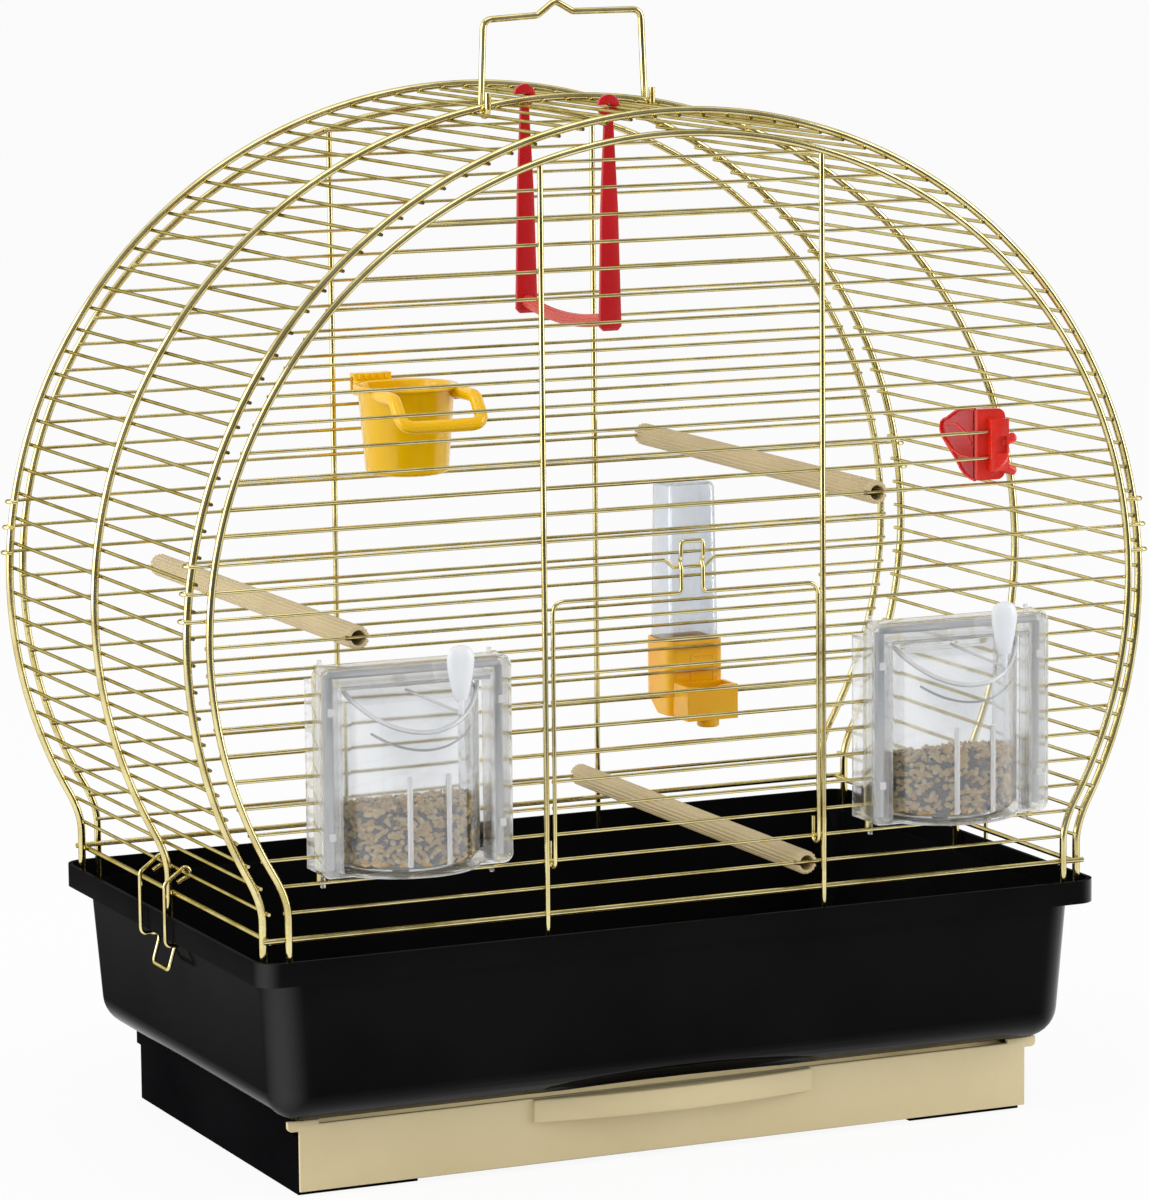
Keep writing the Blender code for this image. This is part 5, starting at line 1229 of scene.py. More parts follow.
@dataclass
class Door:
    """Drop-down door: a bent wire with hinge hooks and a latch loop, and its bars."""

    wire_size: float = 0.0020
    hinge_level: int = 2
    last_level: int = 11
    latch_level: int = 13
    standoff: float = 0.00305
    rail_drop: float = 0.0032
    side_x: float = 0.07045
    corner: float = 0.0060
    tail: float = 0.0090
    bar_y: float = 0.1336429
    latch_x: float = 0.0030
    latch_half: float = 0.00575
    loop_half: float = 0.0060
    loop_rise: float = 0.0088
    bow_drop: float = 0.0040
    kink_share: float = 0.62
    bar_lap_share: float = 0.35
    bead: float = 0.0010

    def half(self, side: int) -> Path:
        """Half of the door's wire, from its tail up to the middle of the latch loop."""
        y = -PLAN.wire_y - self.standoff
        hinge_z = PLAN.level(self.hinge_level)
        x = side * self.side_x
        rail_z = PLAN.level(self.latch_level - 1) - self.rail_drop
        hook = curl((x, -PLAN.wire_y, hinge_z), self.standoff, 0.0, -180.0, (0, 1, 0), (0, 0, 1))
        tail = Vector((x, -PLAN.wire_y + self.standoff, hinge_z + self.tail))
        riser_x = self.latch_x + side * self.latch_half
        latch_z = PLAN.level(self.latch_level) - self.bow_drop
        loop_z = PLAN.level(self.latch_level) + self.loop_rise
        kink_z = latch_z + (PLAN.fine_wire + self.wire_size) / 2 + self.wire_size / 2
        rise = bend([(x, y, hinge_z + self.tail), (x, y, rail_z), (riser_x, y, rail_z)], self.corner)[:-1]
        loop_x = self.latch_x + side * self.loop_half
        latch = [
            (riser_x + side * self.corner, y, rail_z),
            (riser_x, y, rail_z),
            (riser_x, y, latch_z),
            (riser_x, y + self.kink_share * self.standoff, kink_z),
            (loop_x, y, kink_z + self.wire_size),
            (loop_x, y, loop_z),
            (self.latch_x, y, loop_z),
        ]
        return [tail] + hook + rise + bend(latch, BOW_CORNER)

    def build(self) -> None:
        """Model and dress the door's wire, bars and welds."""
        path = self.half(-1) + list(reversed(self.half(1)))[1:]
        dress_wire(wire("door_frame", [path], self.wire_size, 12), "door", Body.DOOR)
        heights = [PLAN.level(index) for index in range(self.hinge_level + 1, self.last_level + 1)]
        end = self.side_x + self.wire_size * self.bar_lap_share
        bars = [[(-end, -self.bar_y, z), (end, -self.bar_y, z)] for z in heights]
        dress_wire(wire("door_bars", bars, PLAN.fine_wire), "door", Body.DOOR)
        y = -self.bar_y - PLAN.fine_wire / 2
        welds = [(side * self.side_x, y, z) for z in heights for side in (-1, 1)]
        dress_wire(weld_beads("door_welds", welds, self.bead), "door", Body.DOOR)


@dataclass
class Handle:
    """Carrying handle: a bent wire whose ends curl round the middle hoop."""

    wire_size: float = 0.0032
    foot_x: float = 0.0445
    foot_z: float = 0.5076
    curl_radius: float = 0.0043
    tail: float = 0.0070
    height: float = 0.0440
    tilt: float = 0.0015
    lean: float = 0.0018
    corner: float = 0.0050
    hump_x: float = -0.0040
    hump_rise: float = 0.0070
    hump_half: float = 0.0095
    hump_corner: float = 0.0040

    def build(self) -> None:
        """Model and dress the handle."""
        radius = self.curl_radius
        top = self.foot_z + self.height
        halves = []
        for side in (-1, 1):
            centre = Vector((side * self.foot_x, 0.0, self.foot_z))
            tail = Vector((centre.x, -radius, self.foot_z + self.tail))
            halves.append([tail] + curl(centre, radius, 180.0, 180.0, (0, 1, 0), (0, 0, 1)))
        left = Vector((-self.foot_x + self.lean, radius, top - self.tilt))
        right = Vector((self.foot_x - self.lean, radius, top + self.tilt))
        hump_left = Vector((self.hump_x - self.hump_half, radius, top))
        hump_right = Vector((self.hump_x + self.hump_half, radius, top + self.tilt))
        peak = Vector((self.hump_x, radius, top + self.hump_rise))
        crown = bend([halves[0][-1], left, hump_left], self.corner)[1:-1]
        crown += bend([left, hump_left, peak, hump_right, right], self.hump_corner)[1:-1]
        crown += bend([hump_right, right, halves[1][-1]], self.corner)[1:-1]
        path = halves[0] + crown + list(reversed(halves[1]))
        dress_wire(wire("handle_wire", [path], self.wire_size, 14), "handle", Body.HANDLE)


@dataclass
class SideClip:
    """Bent wire clip that curls round the lowest depth wire and hooks under the rim."""

    side: Side
    wire_size: float = 0.0020
    curl_radius: float = 0.00255
    leg_y: float = 0.0175
    tab_y: float = 0.0110
    lip_x: float = 0.2243
    rim_z: float = 0.1092
    leg_proud: float = 0.0022
    shoulder_drop: float = 0.0050
    tail_out: float = 0.0040
    tail_drop: float = 0.0022
    under_clearance: float = 0.0017
    under_reach: float = 0.0055
    tab_inset: float = 0.0015
    tab_drop: float = 0.0135
    corner: float = 0.0034
    hook_sweep: float = -200.0

    def build(self) -> None:
        """Model and dress the clip."""
        sign = self.side.value
        leg_x = sign * (self.lip_x + self.leg_proud)
        under_z = self.rim_z - self.under_clearance - self.wire_size / 2
        under_x = sign * (self.lip_x - self.under_reach)
        shoulder_z = PLAN.leg_wire_z - self.shoulder_drop
        tab_x = sign * (self.lip_x - self.tab_inset)
        tab_z = under_z - self.tab_drop
        halves = []
        for end in (-1, 1):
            y = end * self.leg_y
            centre = (sign * PLAN.leg_wire_x, y, PLAN.leg_wire_z)
            hook = curl(centre, self.curl_radius, -90.0, self.hook_sweep, (sign, 0, 0), (0, 0, 1))
            tail_z = PLAN.leg_wire_z - self.curl_radius - self.tail_drop
            tail = Vector((sign * (PLAN.leg_wire_x + self.tail_out), y, tail_z))
            tab_y = end * self.tab_y
            run = [hook[-1], (leg_x, y, shoulder_z), (leg_x, y, under_z), (under_x, y, under_z)]
            run += [(under_x, tab_y, under_z), (tab_x, tab_y, tab_z), (tab_x, 0.0, tab_z)]
            halves.append([tail] + hook[:-1] + bend(run, self.corner))
        node = "side_clip_" + self.side.label
        path = halves[0] + list(reversed(halves[1]))[1:]
        dress_wire(wire(node + "_wire", [path], self.wire_size, 12), node, node)


@dataclass
class Swing:
    """Swing: two hook straps over the crest wire and a ribbed perch between them."""

    thickness: float = 0.0026
    edge: float = 0.0004
    front_y: float = -0.0492
    rear_y: float = 0.0524
    disc: float = 0.0058
    length: float = 0.1100
    neck_half: float = 0.0022
    middle_half: float = 0.00445
    foot_half: float = 0.0058
    middle_share: float = 0.45
    corner_share: float = 0.35
    hole: float = 0.00116
    slot_half: float = 0.00065
    perch: float = 0.0065
    groove_share: float = 0.90
    sag: float = 0.0045
    lift: float = 0.0060
    ribs: int = 14
    steps: int = 40
    perch_steps: int = 24

    def strap_outline(self) -> list[Spot]:
        """Outline of a strap: disc with its slot, neck, widening strap and rounded foot."""
        steps = self.steps
        middle = (0.0, 0.0)
        open_angle = math.asin(self.slot_half / self.disc)
        neck_angle = math.asin(self.neck_half / self.disc)
        hole_angle = math.asin(self.slot_half / self.hole)
        neck_right = -math.pi / 2 + neck_angle
        neck_left = -math.pi / 2 - neck_angle
        start = math.pi - open_angle
        outline = arc(middle, self.disc, start, neck_right - start, steps)
        foot = -self.length
        waist = -self.length * self.middle_share
        corner = self.foot_half * self.corner_share
        right = [(self.middle_half, waist), (self.foot_half, foot + corner), (self.foot_half - corner, foot)]
        outline += right + [(-x, z) for x, z in reversed(right)]
        outline += arc(middle, self.disc, neck_left, open_angle - math.pi - neck_left, steps // 4)
        outline += arc(middle, self.hole, hole_angle - math.pi, 2 * (math.pi - hole_angle), steps // 2)
        return outline

    def build(self) -> None:
        """Model and dress the straps and the perch."""
        for node, y in (("swing_arm_front", self.front_y), ("swing_arm_rear", self.rear_y)):
            frame = front_plane(y, PLAN.crest_wire_z)
            strap = plate(node + "_strap", [self.strap_outline()], self.thickness, self.edge, frame)
            dress(strap, "red", Body.SWING, [node])
        dress(self.ribbed_perch(), "pale_red", Body.SWING, ["swing_perch"])

    def ribbed_perch(self) -> Item:
        """Sagging perch whose ribs run along it, from strap to strap."""
        inner = self.thickness / 2 + GAP
        start = self.front_y + inner
        length = self.rear_y - inner - start
        z = PLAN.crest_wire_z - self.length + self.lift
        place = (0.0, start, z)
        turn = (math.pi / 2, 0.0, 0.0)
        item = ribbed_face("swing_perch_bar", self.ribs, self.perch / 2, self.groove_share, place, turn)
        shares = [step / self.perch_steps for step in range(self.perch_steps + 1)]
        sags = [share * (1.0 - share) for share in shares]
        for before, after in zip(sags, sags[1:]):
            move = (0.0, length / self.perch_steps, -self.sag * 4.0 * (after - before))
            bpy.ops.mesh.extrude_region_move(TRANSFORM_OT_translate={"value": move})
        stop_editing()
        return clean(item, math.radians(35))


def ribbed_face(
    name: str, ribs: int, radius: float, share: float, place: Point = ORIGIN, turn: Point = ORIGIN
) -> Item:
    """Round face with grooves in its rim, left in edit mode with all of it selected.

    Args:
        name: The object's name.
        ribs: How many ribs its rim has.
        radius: Radius of the ribs.
        share: Radius of the grooves, of the ribs' radius.
        place: Its centre.
        turn: Its rotation round X, Y and Z.

    Returns:
        The face as an object.
    """
    deselect()
    bpy.ops.mesh.primitive_circle_add(
        vertices=ribs * 4, radius=radius, fill_type="NGON", location=place, rotation=turn
    )
    item = named(name)
    bpy.ops.object.mode_set(mode="EDIT")
    bpy.ops.mesh.select_mode(type="VERT")
    bpy.ops.mesh.select_all(action="DESELECT")
    shape = bmesh.from_edit_mesh(item.data)
    shape.verts.ensure_lookup_table()
    for vertex in shape.verts:
        vertex.select_set(vertex.index % 4 < 2)
    shape.select_flush_mode()
    bmesh.update_edit_mesh(item.data)
    bpy.ops.transform.resize(value=(share, share, share), center_override=item.location)
    bpy.ops.mesh.select_all(action="SELECT")
    return item


@dataclass
class Perch:
    """Hollow ribbed perch, slotted over one wire of each end panel."""

    node: str
    x: float
    level: int
    diameter: float = 0.0115
    wall: float = 0.0020
    end_lap: float = 0.0030
    ribs: int = 18
    groove_share: float = 0.93
    chamfer: float = 0.0008

    def build(self) -> None:
        """Model and dress the perch."""
        z = PLAN.level(self.level)
        end = PLAN.wire_y + self.end_lap
        radius = self.diameter / 2
        item = ribbed_face(self.node + "_tube", self.ribs, radius, self.groove_share)
        small = (radius - self.chamfer) / radius
        bpy.ops.transform.resize(value=(small, small, 1.0), center_override=(0.0, 0.0, 0.0))
        rings = [(small, 0.0), (1.0, self.chamfer), (1.0, end)]
        rings += [(1.0, 2 * end - self.chamfer), (small, 2 * end)]
        raise_rings([(size, size, height) for size, height in rings])
        stop_editing()
        place, _ = lathe_frame((self.x, -end, z), (self.x, end, z))
        item.data.transform(place)
        clean(item)
        bore = radius - self.wall
        carve(item, rod("perch_bore", (self.x, -end - OVERRUN, z), (self.x, end + OVERRUN, z), bore, 24))
        slot = PLAN.clear
        for side in (-1, 1):
            near, far = sorted((side * (PLAN.wire_y - slot), side * (end + OVERRUN)))
            low = (self.x - self.diameter, near, z - slot)
            carve(item, block("perch_slot", low, (self.x + self.diameter, far, z + slot)))
        clean(item, math.radians(30))
        dress(item, "tan", Body.CAGE, [self.node])


@dataclass
class Cup:
    """Yellow cup with a rolled rim, a hook over a back wire and a perch loop in front."""

    x: float = -0.0475
    wire_level: int = 18
    body_radius: float = 0.0248
    base_radius: float = 0.0215
    flange_radius: float = 0.0272
    flange: float = 0.0020
    height: float = 0.0457
    wall: float = 0.0016
    back_clearance: float = 0.0050
    rim_drop: float = 0.0002
    hook_half: float = 0.0105
    hook_shift: float = -0.0060
    hook_thickness: float = 0.0018
    hook_tail: float = 0.0060
    hook_root: float = 0.0080
    loop_wire: float = 0.0068
    loop_reach: float = 0.0490
    arm_reach: float = 0.0380
    loop_half: float = 0.0255
    loop_root: float = 0.0100
    loop_drop: float = 0.0165
    loop_corner: float = 0.0070
    teeth: int = 5
    teeth_share: float = 0.9
    tooth_half: float = 0.0008
    tooth_proud: float = 0.0007
    tooth_lap: float = 0.0002
    tooth_rise: float = 0.0012
    edge: float = 0.0003
    foot_steps: tuple[Spot, ...] = ((0.0030, 0.0), (0.0010, 0.0006), (0.0, 0.0022))
    inner_corner: float = 0.0030
    step_share: float = 0.3
    arm_share: float = 0.80
    root_share: float = 0.78

    @property
    def top(self) -> float:
        """Height of the rim."""
        return PLAN.level(self.wire_level) - self.rim_drop

    @property
    def y(self) -> float:
        """Depth of the cup's axis."""
        return PLAN.wire_y - PLAN.fine_wire / 2 - self.back_clearance - self.flange_radius

    def bowl(self) -> Item:
        """Turned bowl with a rounded foot and a rolled flange."""
        bottom = self.top - self.height
        flange_z = self.top - self.flange
        step = self.flange * self.step_share
        inner = self.base_radius - self.wall
        floor = bottom + self.wall
        profile = [(self.base_radius - inset, bottom + rise) for inset, rise in self.foot_steps] + [
            (self.body_radius, flange_z - step),
            (self.body_radius + step, flange_z),
            (self.flange_radius - step, flange_z),
            (self.flange_radius, flange_z + step),
            (self.flange_radius, self.top - step),
            (self.flange_radius - step, self.top),
            (self.body_radius - self.wall + step, self.top),
            (self.body_radius - self.wall, self.top - step),
            (inner, floor + self.inner_corner),
            (inner - self.inner_corner, floor),
        ]
        return turned("cup_bowl", profile, Matrix.Translation((self.x, self.y, 0.0)), 96)

    def loop(self) -> Item:
        """Perch loop that leaves the flange, drops and crosses in front."""
        root_z = self.top - self.loop_wire / 2
        bar_z = self.top - self.loop_drop
        arm_y = self.y - self.loop_root
        bar_y = self.y - self.loop_reach
        arm_x = self.loop_half - self.loop_wire / 2
        start_x = self.body_radius * self.arm_share
        halves = []
        for side in (-1, 1):
            x = self.x + side * arm_x
            root = (self.x + side * start_x, arm_y, root_z)
            arm = [(x, arm_y - self.loop_root, root_z), (x, self.y - self.arm_reach, root_z)]
            halves.append([root, *arm, (x, bar_y, bar_z)])
        path = halves[0] + list(reversed(halves[1]))
        return wire("cup_loop", [bend(path, self.loop_corner)], self.loop_wire, 20)

    def hook(self) -> Item:
        """Hook plate, with moulded teeth on its front, over a wire of the back panel."""
        wire_z = PLAN.level(self.wire_level)
        inner = PLAN.wire_y - PLAN.clear
        outer = PLAN.wire_y + PLAN.clear
        under = wire_z + PLAN.clear
        thick = self.hook_thickness
        root_y = self.y + self.body_radius * self.root_share
        low = self.top - self.hook_root
        high = self.top - GAP
        tail = wire_z - self.hook_tail
        roof = under + thick
        outline = [(root_y, low), (inner, low), (inner, under), (outer, under), (outer, tail)]
        outline += [(outer + thick, tail), (outer + thick, roof), (inner - thick, roof)]
        outline += [(inner - thick, high), (root_y, high)]
        middle = self.x + self.hook_shift
        parts = [plate("cup_hook", [outline], 2 * self.hook_half, self.edge, side_plane(middle))]
        front = inner - thick - self.tooth_proud
        back = inner - thick + self.tooth_lap
        for index in range(self.teeth):
            share = (index + 0.5) / self.teeth * 2.0 - 1.0
            x = middle + share * self.hook_half * self.teeth_share
            tooth_low = (x - self.tooth_half, front, self.top)
            tooth = block("tooth", tooth_low, (x + self.tooth_half, back, under + self.tooth_rise))
            parts.append(soften(tooth, self.edge))
        return merge("cup_hook", parts)

    def build(self) -> None:
        """Model and dress the cup's pieces."""
        for piece in (self.bowl(), self.loop(), self.hook()):
            dress(piece, "yellow", Body.CAGE, ["cup"])


@dataclass
class ClipHolder:
    """Clip holder: a block behind two wires, a jaw round them, a wing and two prongs."""

    x: float = 0.1681
    half: float = 0.0078
    low_level: int = 16
    overhang: float = 0.0111
    depth: float = 0.0045
    jaw_width: float = 0.0098
    jaw_depth: float = 0.0032
    jaw_overhang: float = 0.0065
    corner: float = 0.0042
    wing_length: float = 0.0360
    wing_thickness: float = 0.0018
    prong: float = 0.0050
    prong_reach: float = 0.0050
    prong_rise: float = 0.0085
    prong_drop: float = 0.0062
    prong_root: float = 0.0030
    prong_edge: float = 0.0005
    prong_root_share: float = 0.9
    low_lean: float = -0.0012
    high_lean: float = 0.0014
    recess_rim: float = 0.0022
    recess_wall: float = 0.0016
    edge: float = 0.0009
    wing_edge: float = 0.0005
    line_sink: float = 0.0001
    rim_wire: float = 0.0014
    line_wire: float = 0.0013
    rim_corner: float = 0.0020
    line_corner: float = 0.0080
    wing_shares: tuple[Spot, ...] = (
        (0.0, 0.0), (0.14, 0.015), (0.28, 0.05), (0.42, 0.13), (0.55, 0.25), (0.80, 0.42), (0.93, 0.51),
        (1.0, 0.60), (1.0, 0.67), (0.97, 0.73), (0.90, 0.77), (0.80, 0.80), (0.68, 0.86), (0.55, 0.92),
        (0.42, 0.96), (0.28, 0.98), (0.0, 1.0)
    )
    crease_shares: tuple[Spot, ...] = ((0.10, 0.50), (0.30, 0.66), (0.55, 0.74), (0.86, 0.70))
    arc_shares: tuple[Spot, ...] = ((0.12, 0.30), (0.40, 0.30), (0.66, 0.36), (0.84, 0.46))
    prong_end_shares: tuple[Spot, ...] = ((1.0, 0.6), (0.86, 0.25), (0.5, 0.0))

    @property
    def low_z(self) -> float:
        """Height of the lower wire in the jaw."""
        return PLAN.level(self.low_level)

    @property
    def high_z(self) -> float:
        """Height of the upper wire in the jaw."""
        return PLAN.level(self.low_level + 1)

    @property
    def face(self) -> float:
        """Front of the block, behind the wires."""
        return -PLAN.wire_y + PLAN.clear

    def body(self) -> Item:
        """Block with a rounded side, and the hollow jaw that stands on its front."""
        left, right = self.x - self.half, self.x + self.half
        bottom, top = self.low_z - self.overhang, self.high_z + self.overhang
        r = self.corner
        outline = [(left, top), (left, bottom)]
        outline += arc((right - r, bottom + r), r, -math.pi / 2, math.pi / 2, 8)
        outline += arc((right - r, top - r), r, 0.0, math.pi / 2, 8)
        middle_y = self.face + self.depth / 2
        body = plate("clip_block", [outline], self.depth, SHARP, front_plane(middle_y))
        front = -PLAN.wire_y - self.jaw_depth
        jaw_left = right - self.jaw_width
        low = (jaw_left, front, self.low_z - self.jaw_overhang)
        high = (right - GAP, middle_y, self.high_z + self.jaw_overhang)
        carve(body, block("clip_jaw", low, high), "UNION")
        low = (jaw_left + self.recess_rim, front - OVERRUN, self.low_z + self.recess_rim)
        high = (right - self.recess_wall, front + self.recess_wall, self.high_z - self.recess_rim)
        carve(body, block("clip_recess", low, high))
        soften(body, self.edge, 3)
        for z in (self.low_z, self.high_z):
            start, end = (left - OVERRUN, -PLAN.wire_y, z), (right + OVERRUN, -PLAN.wire_y, z)
            carve(body, rod("clip_hole", start, end, PLAN.clear, 20))
        return clean(body)

    def wing_line(self, shares: Sequence[Spot]) -> list[Spot]:
        """Points on the wing from shares of its length and height."""
        back = self.face + self.depth / 2
        bottom = self.low_z - self.overhang
        tall = self.high_z + self.overhang - bottom
        return [(back + along * self.wing_length, bottom + up * tall) for along, up in shares]

    def prong_piece(self, z: float, lean: float) -> Item:
        """Round prong with a blunt end that sticks out sideways."""
        right = self.x + self.half
        y = (self.face + self.depth / 2 - PLAN.wire_y - self.jaw_depth) / 2
        start, end = (right - self.prong_root, y, z - lean), (right + self.prong_reach, y, z + lean)
        place, length = lathe_frame(start, end)
        radius = self.prong / 2
        profile = [(radius * self.prong_root_share, 0.0), (radius, self.prong_edge)]
        profile += [(radius * size, length - radius * back) for size, back in self.prong_end_shares]
        return turned("clip_prong", profile, place, 24)

    def build(self) -> None:
        """Model and dress the holder."""
        parts = [self.body()]
        left = self.x - self.half
        outline = self.wing_line(self.wing_shares)
        frame = side_plane(left + self.wing_thickness / 2)
        wing = plate("clip_wing", [outline], self.wing_thickness, self.wing_edge, frame)
        # The wing takes the darker red, which is painted shade on the holder's own plastic.
        dress(wing, "wing_red", Body.CAGE, ["clip_holder"])
        for spots, corner, steps, size in (
            (outline, self.rim_corner, 3, self.rim_wire),
            (self.wing_line(self.crease_shares), self.line_corner, 7, self.line_wire),
            (self.wing_line(self.arc_shares), self.line_corner, 7, self.line_wire),
        ):
            line = [Vector((left - self.line_sink, y, z)) for y, z in spots]
            parts.append(wire("clip_line", [bend(line, corner, steps)], size, 8))
        parts.append(self.prong_piece(self.low_z - self.prong_drop, self.low_lean))
        parts.append(self.prong_piece(self.low_z + self.prong_rise, self.high_lean))
        dress(merge("clip_holder_body", parts), "holder_red", Body.CAGE, ["clip_holder"])


@dataclass
class Drinker:
    """Clear tapered tube standing in an orange base whose trough reaches into the cage."""

    x: float = 0.1329
    y: float = 0.1488
    bottom: float = 0.1695
    half_x: float = 0.0137
    half_y: float = 0.0128
    flare: float = 0.0012
    corner: float = 0.0055
    tube_bottom: float = 0.2053
    tube_height: float = 0.0890
    tube_wall: float = 0.0013
    base_height: float = 0.0400
    base_half_x: float = 0.0163
    base_half_y: float = 0.0154
    base_corner: float = 0.0050
    wall: float = 0.0018
    trough_half: float = 0.0148
    trough_front: float = 0.11405
    trough_top: float = 0.1800
    brim_rise: float = 0.0080
    boss: float = 0.0060
    boss_drop: float = 0.0040
    back_run: float = 0.0200
    back_rise: float = 0.0140
    back_start_share: float = 1.3
    back_low_share: float = 0.3
    cap: float = 0.0030
    cap_shares: tuple[Spot, ...] = ((0.0, 1.0), (0.13, 0.5), (0.5, 0.13), (1.0, 0.0))
    neck_inset: float = 0.0010
    boss_lap: float = 0.0008
    seat_depth: float = 0.0045
    socket_wall: float = 0.0011
    socket_corner: float = 0.0039
    well_wall: float = 0.0033
    well_corner: float = 0.0028
    scoop: float = 0.0165
    scoop_rise: float = 0.0145
    scoop_shift: float = -0.0020
    scoop_lap: float = 0.0005
    edge: float = 0.0005
    rib_left: float = -0.0030
    rib_right: float = 0.0100
    rib_half: float = 0.0009
    rib_lap: float = 0.0003
    rib_proud: float = 0.0004
    rib_edge: float = 0.0002
    rib_end: float = 0.0080
    bar_low: float = 0.0085
    bar_high: float = 0.0068

    def tube(self) -> Item:
        """Tube with a rounded top, open below."""
        top = self.tube_bottom + self.tube_height
        wall = self.tube_wall
        wide_x, wide_y = self.half_x + self.flare, self.half_y + self.flare
        rings = [(self.half_x - wall, self.half_y - wall, top - wall),
                 (wide_x - wall, wide_y - wall, self.tube_bottom), (wide_x, wide_y, self.tube_bottom)]
        for inset, drop in self.cap_shares:
            inset *= self.cap
            rings.append((self.half_x - inset, self.half_y - inset, top - drop * self.cap))
        return rounded_stack("drinker_bottle", rings, self.corner - wall, (self.x, self.y), 8)

    def upright(self, name: str, wall: float, corner: float, low: float, high: float) -> Item:
        """Rounded upright block, drawn in from the socket's outside by a wall."""
        half = (self.base_half_x - wall, self.base_half_y - wall)
        return rounded_stack(name, [(*half, low), (*half, high)], corner, (self.x, self.y))

    def base(self) -> Item:
        """Socket and trough with a scooped mouth, a stepped window and a round boss."""
        x = self.x
        top = self.bottom + self.base_height
        base = self.upright("drinker_cup", 0.0, self.base_corner, self.bottom, top)
        brim = self.trough_top + self.brim_rise
        wires = PLAN.wire_y - PLAN.clear
        half = self.trough_half
        cup = block("trough", (x - half, self.trough_front, self.bottom), (x + half, wires, brim))
        slim = half - self.neck_inset
        neck_low = (x - slim, wires - self.wall / 2, self.bottom + self.neck_inset)
        carve(cup, block("neck", neck_low, (x + slim, self.y, self.trough_top)), "UNION")
        carve(base, cup, "UNION")
        carve(base, self.slanted_back(0.0))
        boss_y = self.trough_front + self.boss
        boss_low = (x, boss_y, self.bottom - self.boss_drop)
        carve(base, rod("boss", boss_low, (x, boss_y, self.bottom + self.boss_lap), self.boss), "UNION")
        seat = top - self.seat_depth
        carve(base, self.upright("socket", self.socket_wall, self.socket_corner, seat, top + OVERRUN))
        floor = self.bottom + self.wall
        hollow = self.upright("well", self.well_wall, self.well_corner, floor, seat + OVERRUN)
        carve(hollow, self.slanted_back(self.wall))
        carve(base, hollow)
        inner = half - self.wall
        low = (x - inner, self.trough_front + self.wall, floor)
        carve(base, block("channel", low, (x + inner, self.y, self.trough_top - self.wall)))
        carve(base, block("mouth", low, (x + inner, wires - self.wall, brim + OVERRUN)))
        scoop_x, scoop_z = x + self.scoop_shift, brim + self.scoop_rise
        start = (scoop_x, self.trough_front - OVERRUN, scoop_z)
        end = (scoop_x, self.trough_front + self.wall + self.scoop_lap, scoop_z)
        carve(base, rod("scoop", start, end, self.scoop, 48))
        return soften(base, self.edge)

    def slanted_back(self, lift: float) -> Item:
        """Wedge that slants the base's underside up toward its back.

        Args:
            lift: How far the slanting face is raised.

        Returns:
            The wedge, to be carved away.
        """
        back = self.y + self.base_half_y + OVERRUN
        slope = self.back_rise / self.back_run
        start = back - self.back_start_share * self.back_run
        low = self.bottom + lift - self.back_low_share * self.back_rise
        under = self.bottom - self.wall
        outline = [(start, low), (back, low + slope * (back - start)), (back, under), (start, under)]
        return plate("slant", [outline], 4 * self.base_half_x, SHARP, side_plane(self.x))

    def ribs(self) -> Item:
        """Raised panel lines on the socket's inner side, which faces into the cage."""
        top = self.bottom + self.base_height
        face = self.y - self.base_half_y
        left, right = self.x + self.rib_left, self.x + self.rib_right
        parts = []
        for x_low, x_high, z_low, z_high in (
            (left - self.rib_half, left + self.rib_half, self.trough_top, top - self.rib_end),
            (right - self.rib_half, right + self.rib_half, self.trough_top, top - self.rib_end),
            (left, right, top - self.bar_low, top - self.bar_high),
        ):
            line = block("rib", (x_low, face - self.rib_lap, z_low), (x_high, face + self.rib_proud, z_high))
            parts.append(soften(line, self.rib_edge))
        return merge("drinker_ribs", parts)

    def build(self) -> None:
        """Model and dress the drinker."""
        dress(self.tube(), "tube", Body.CAGE, ["drinker_tube"])
        dress(self.base(), "orange", Body.CAGE, ["drinker_base"])
        dress(self.ribs(), "orange", Body.CAGE, ["drinker_base"])


GrainKind = tuple[float, Ring, Spot, Spot]
GRAIN_KINDS: tuple[GrainKind, ...] = (
    (0.40, (0.00150, 0.00115, 0.00140), (0.80, 1.15), (0.45, 0.95)),
    (0.80, (0.0030, 0.00095, 0.00115), (0.75, 1.15), (0.35, 0.80)),
    (1.00, (0.0013, 0.00095, 0.00105), (0.80, 1.20), (0.06, 0.27)),
)


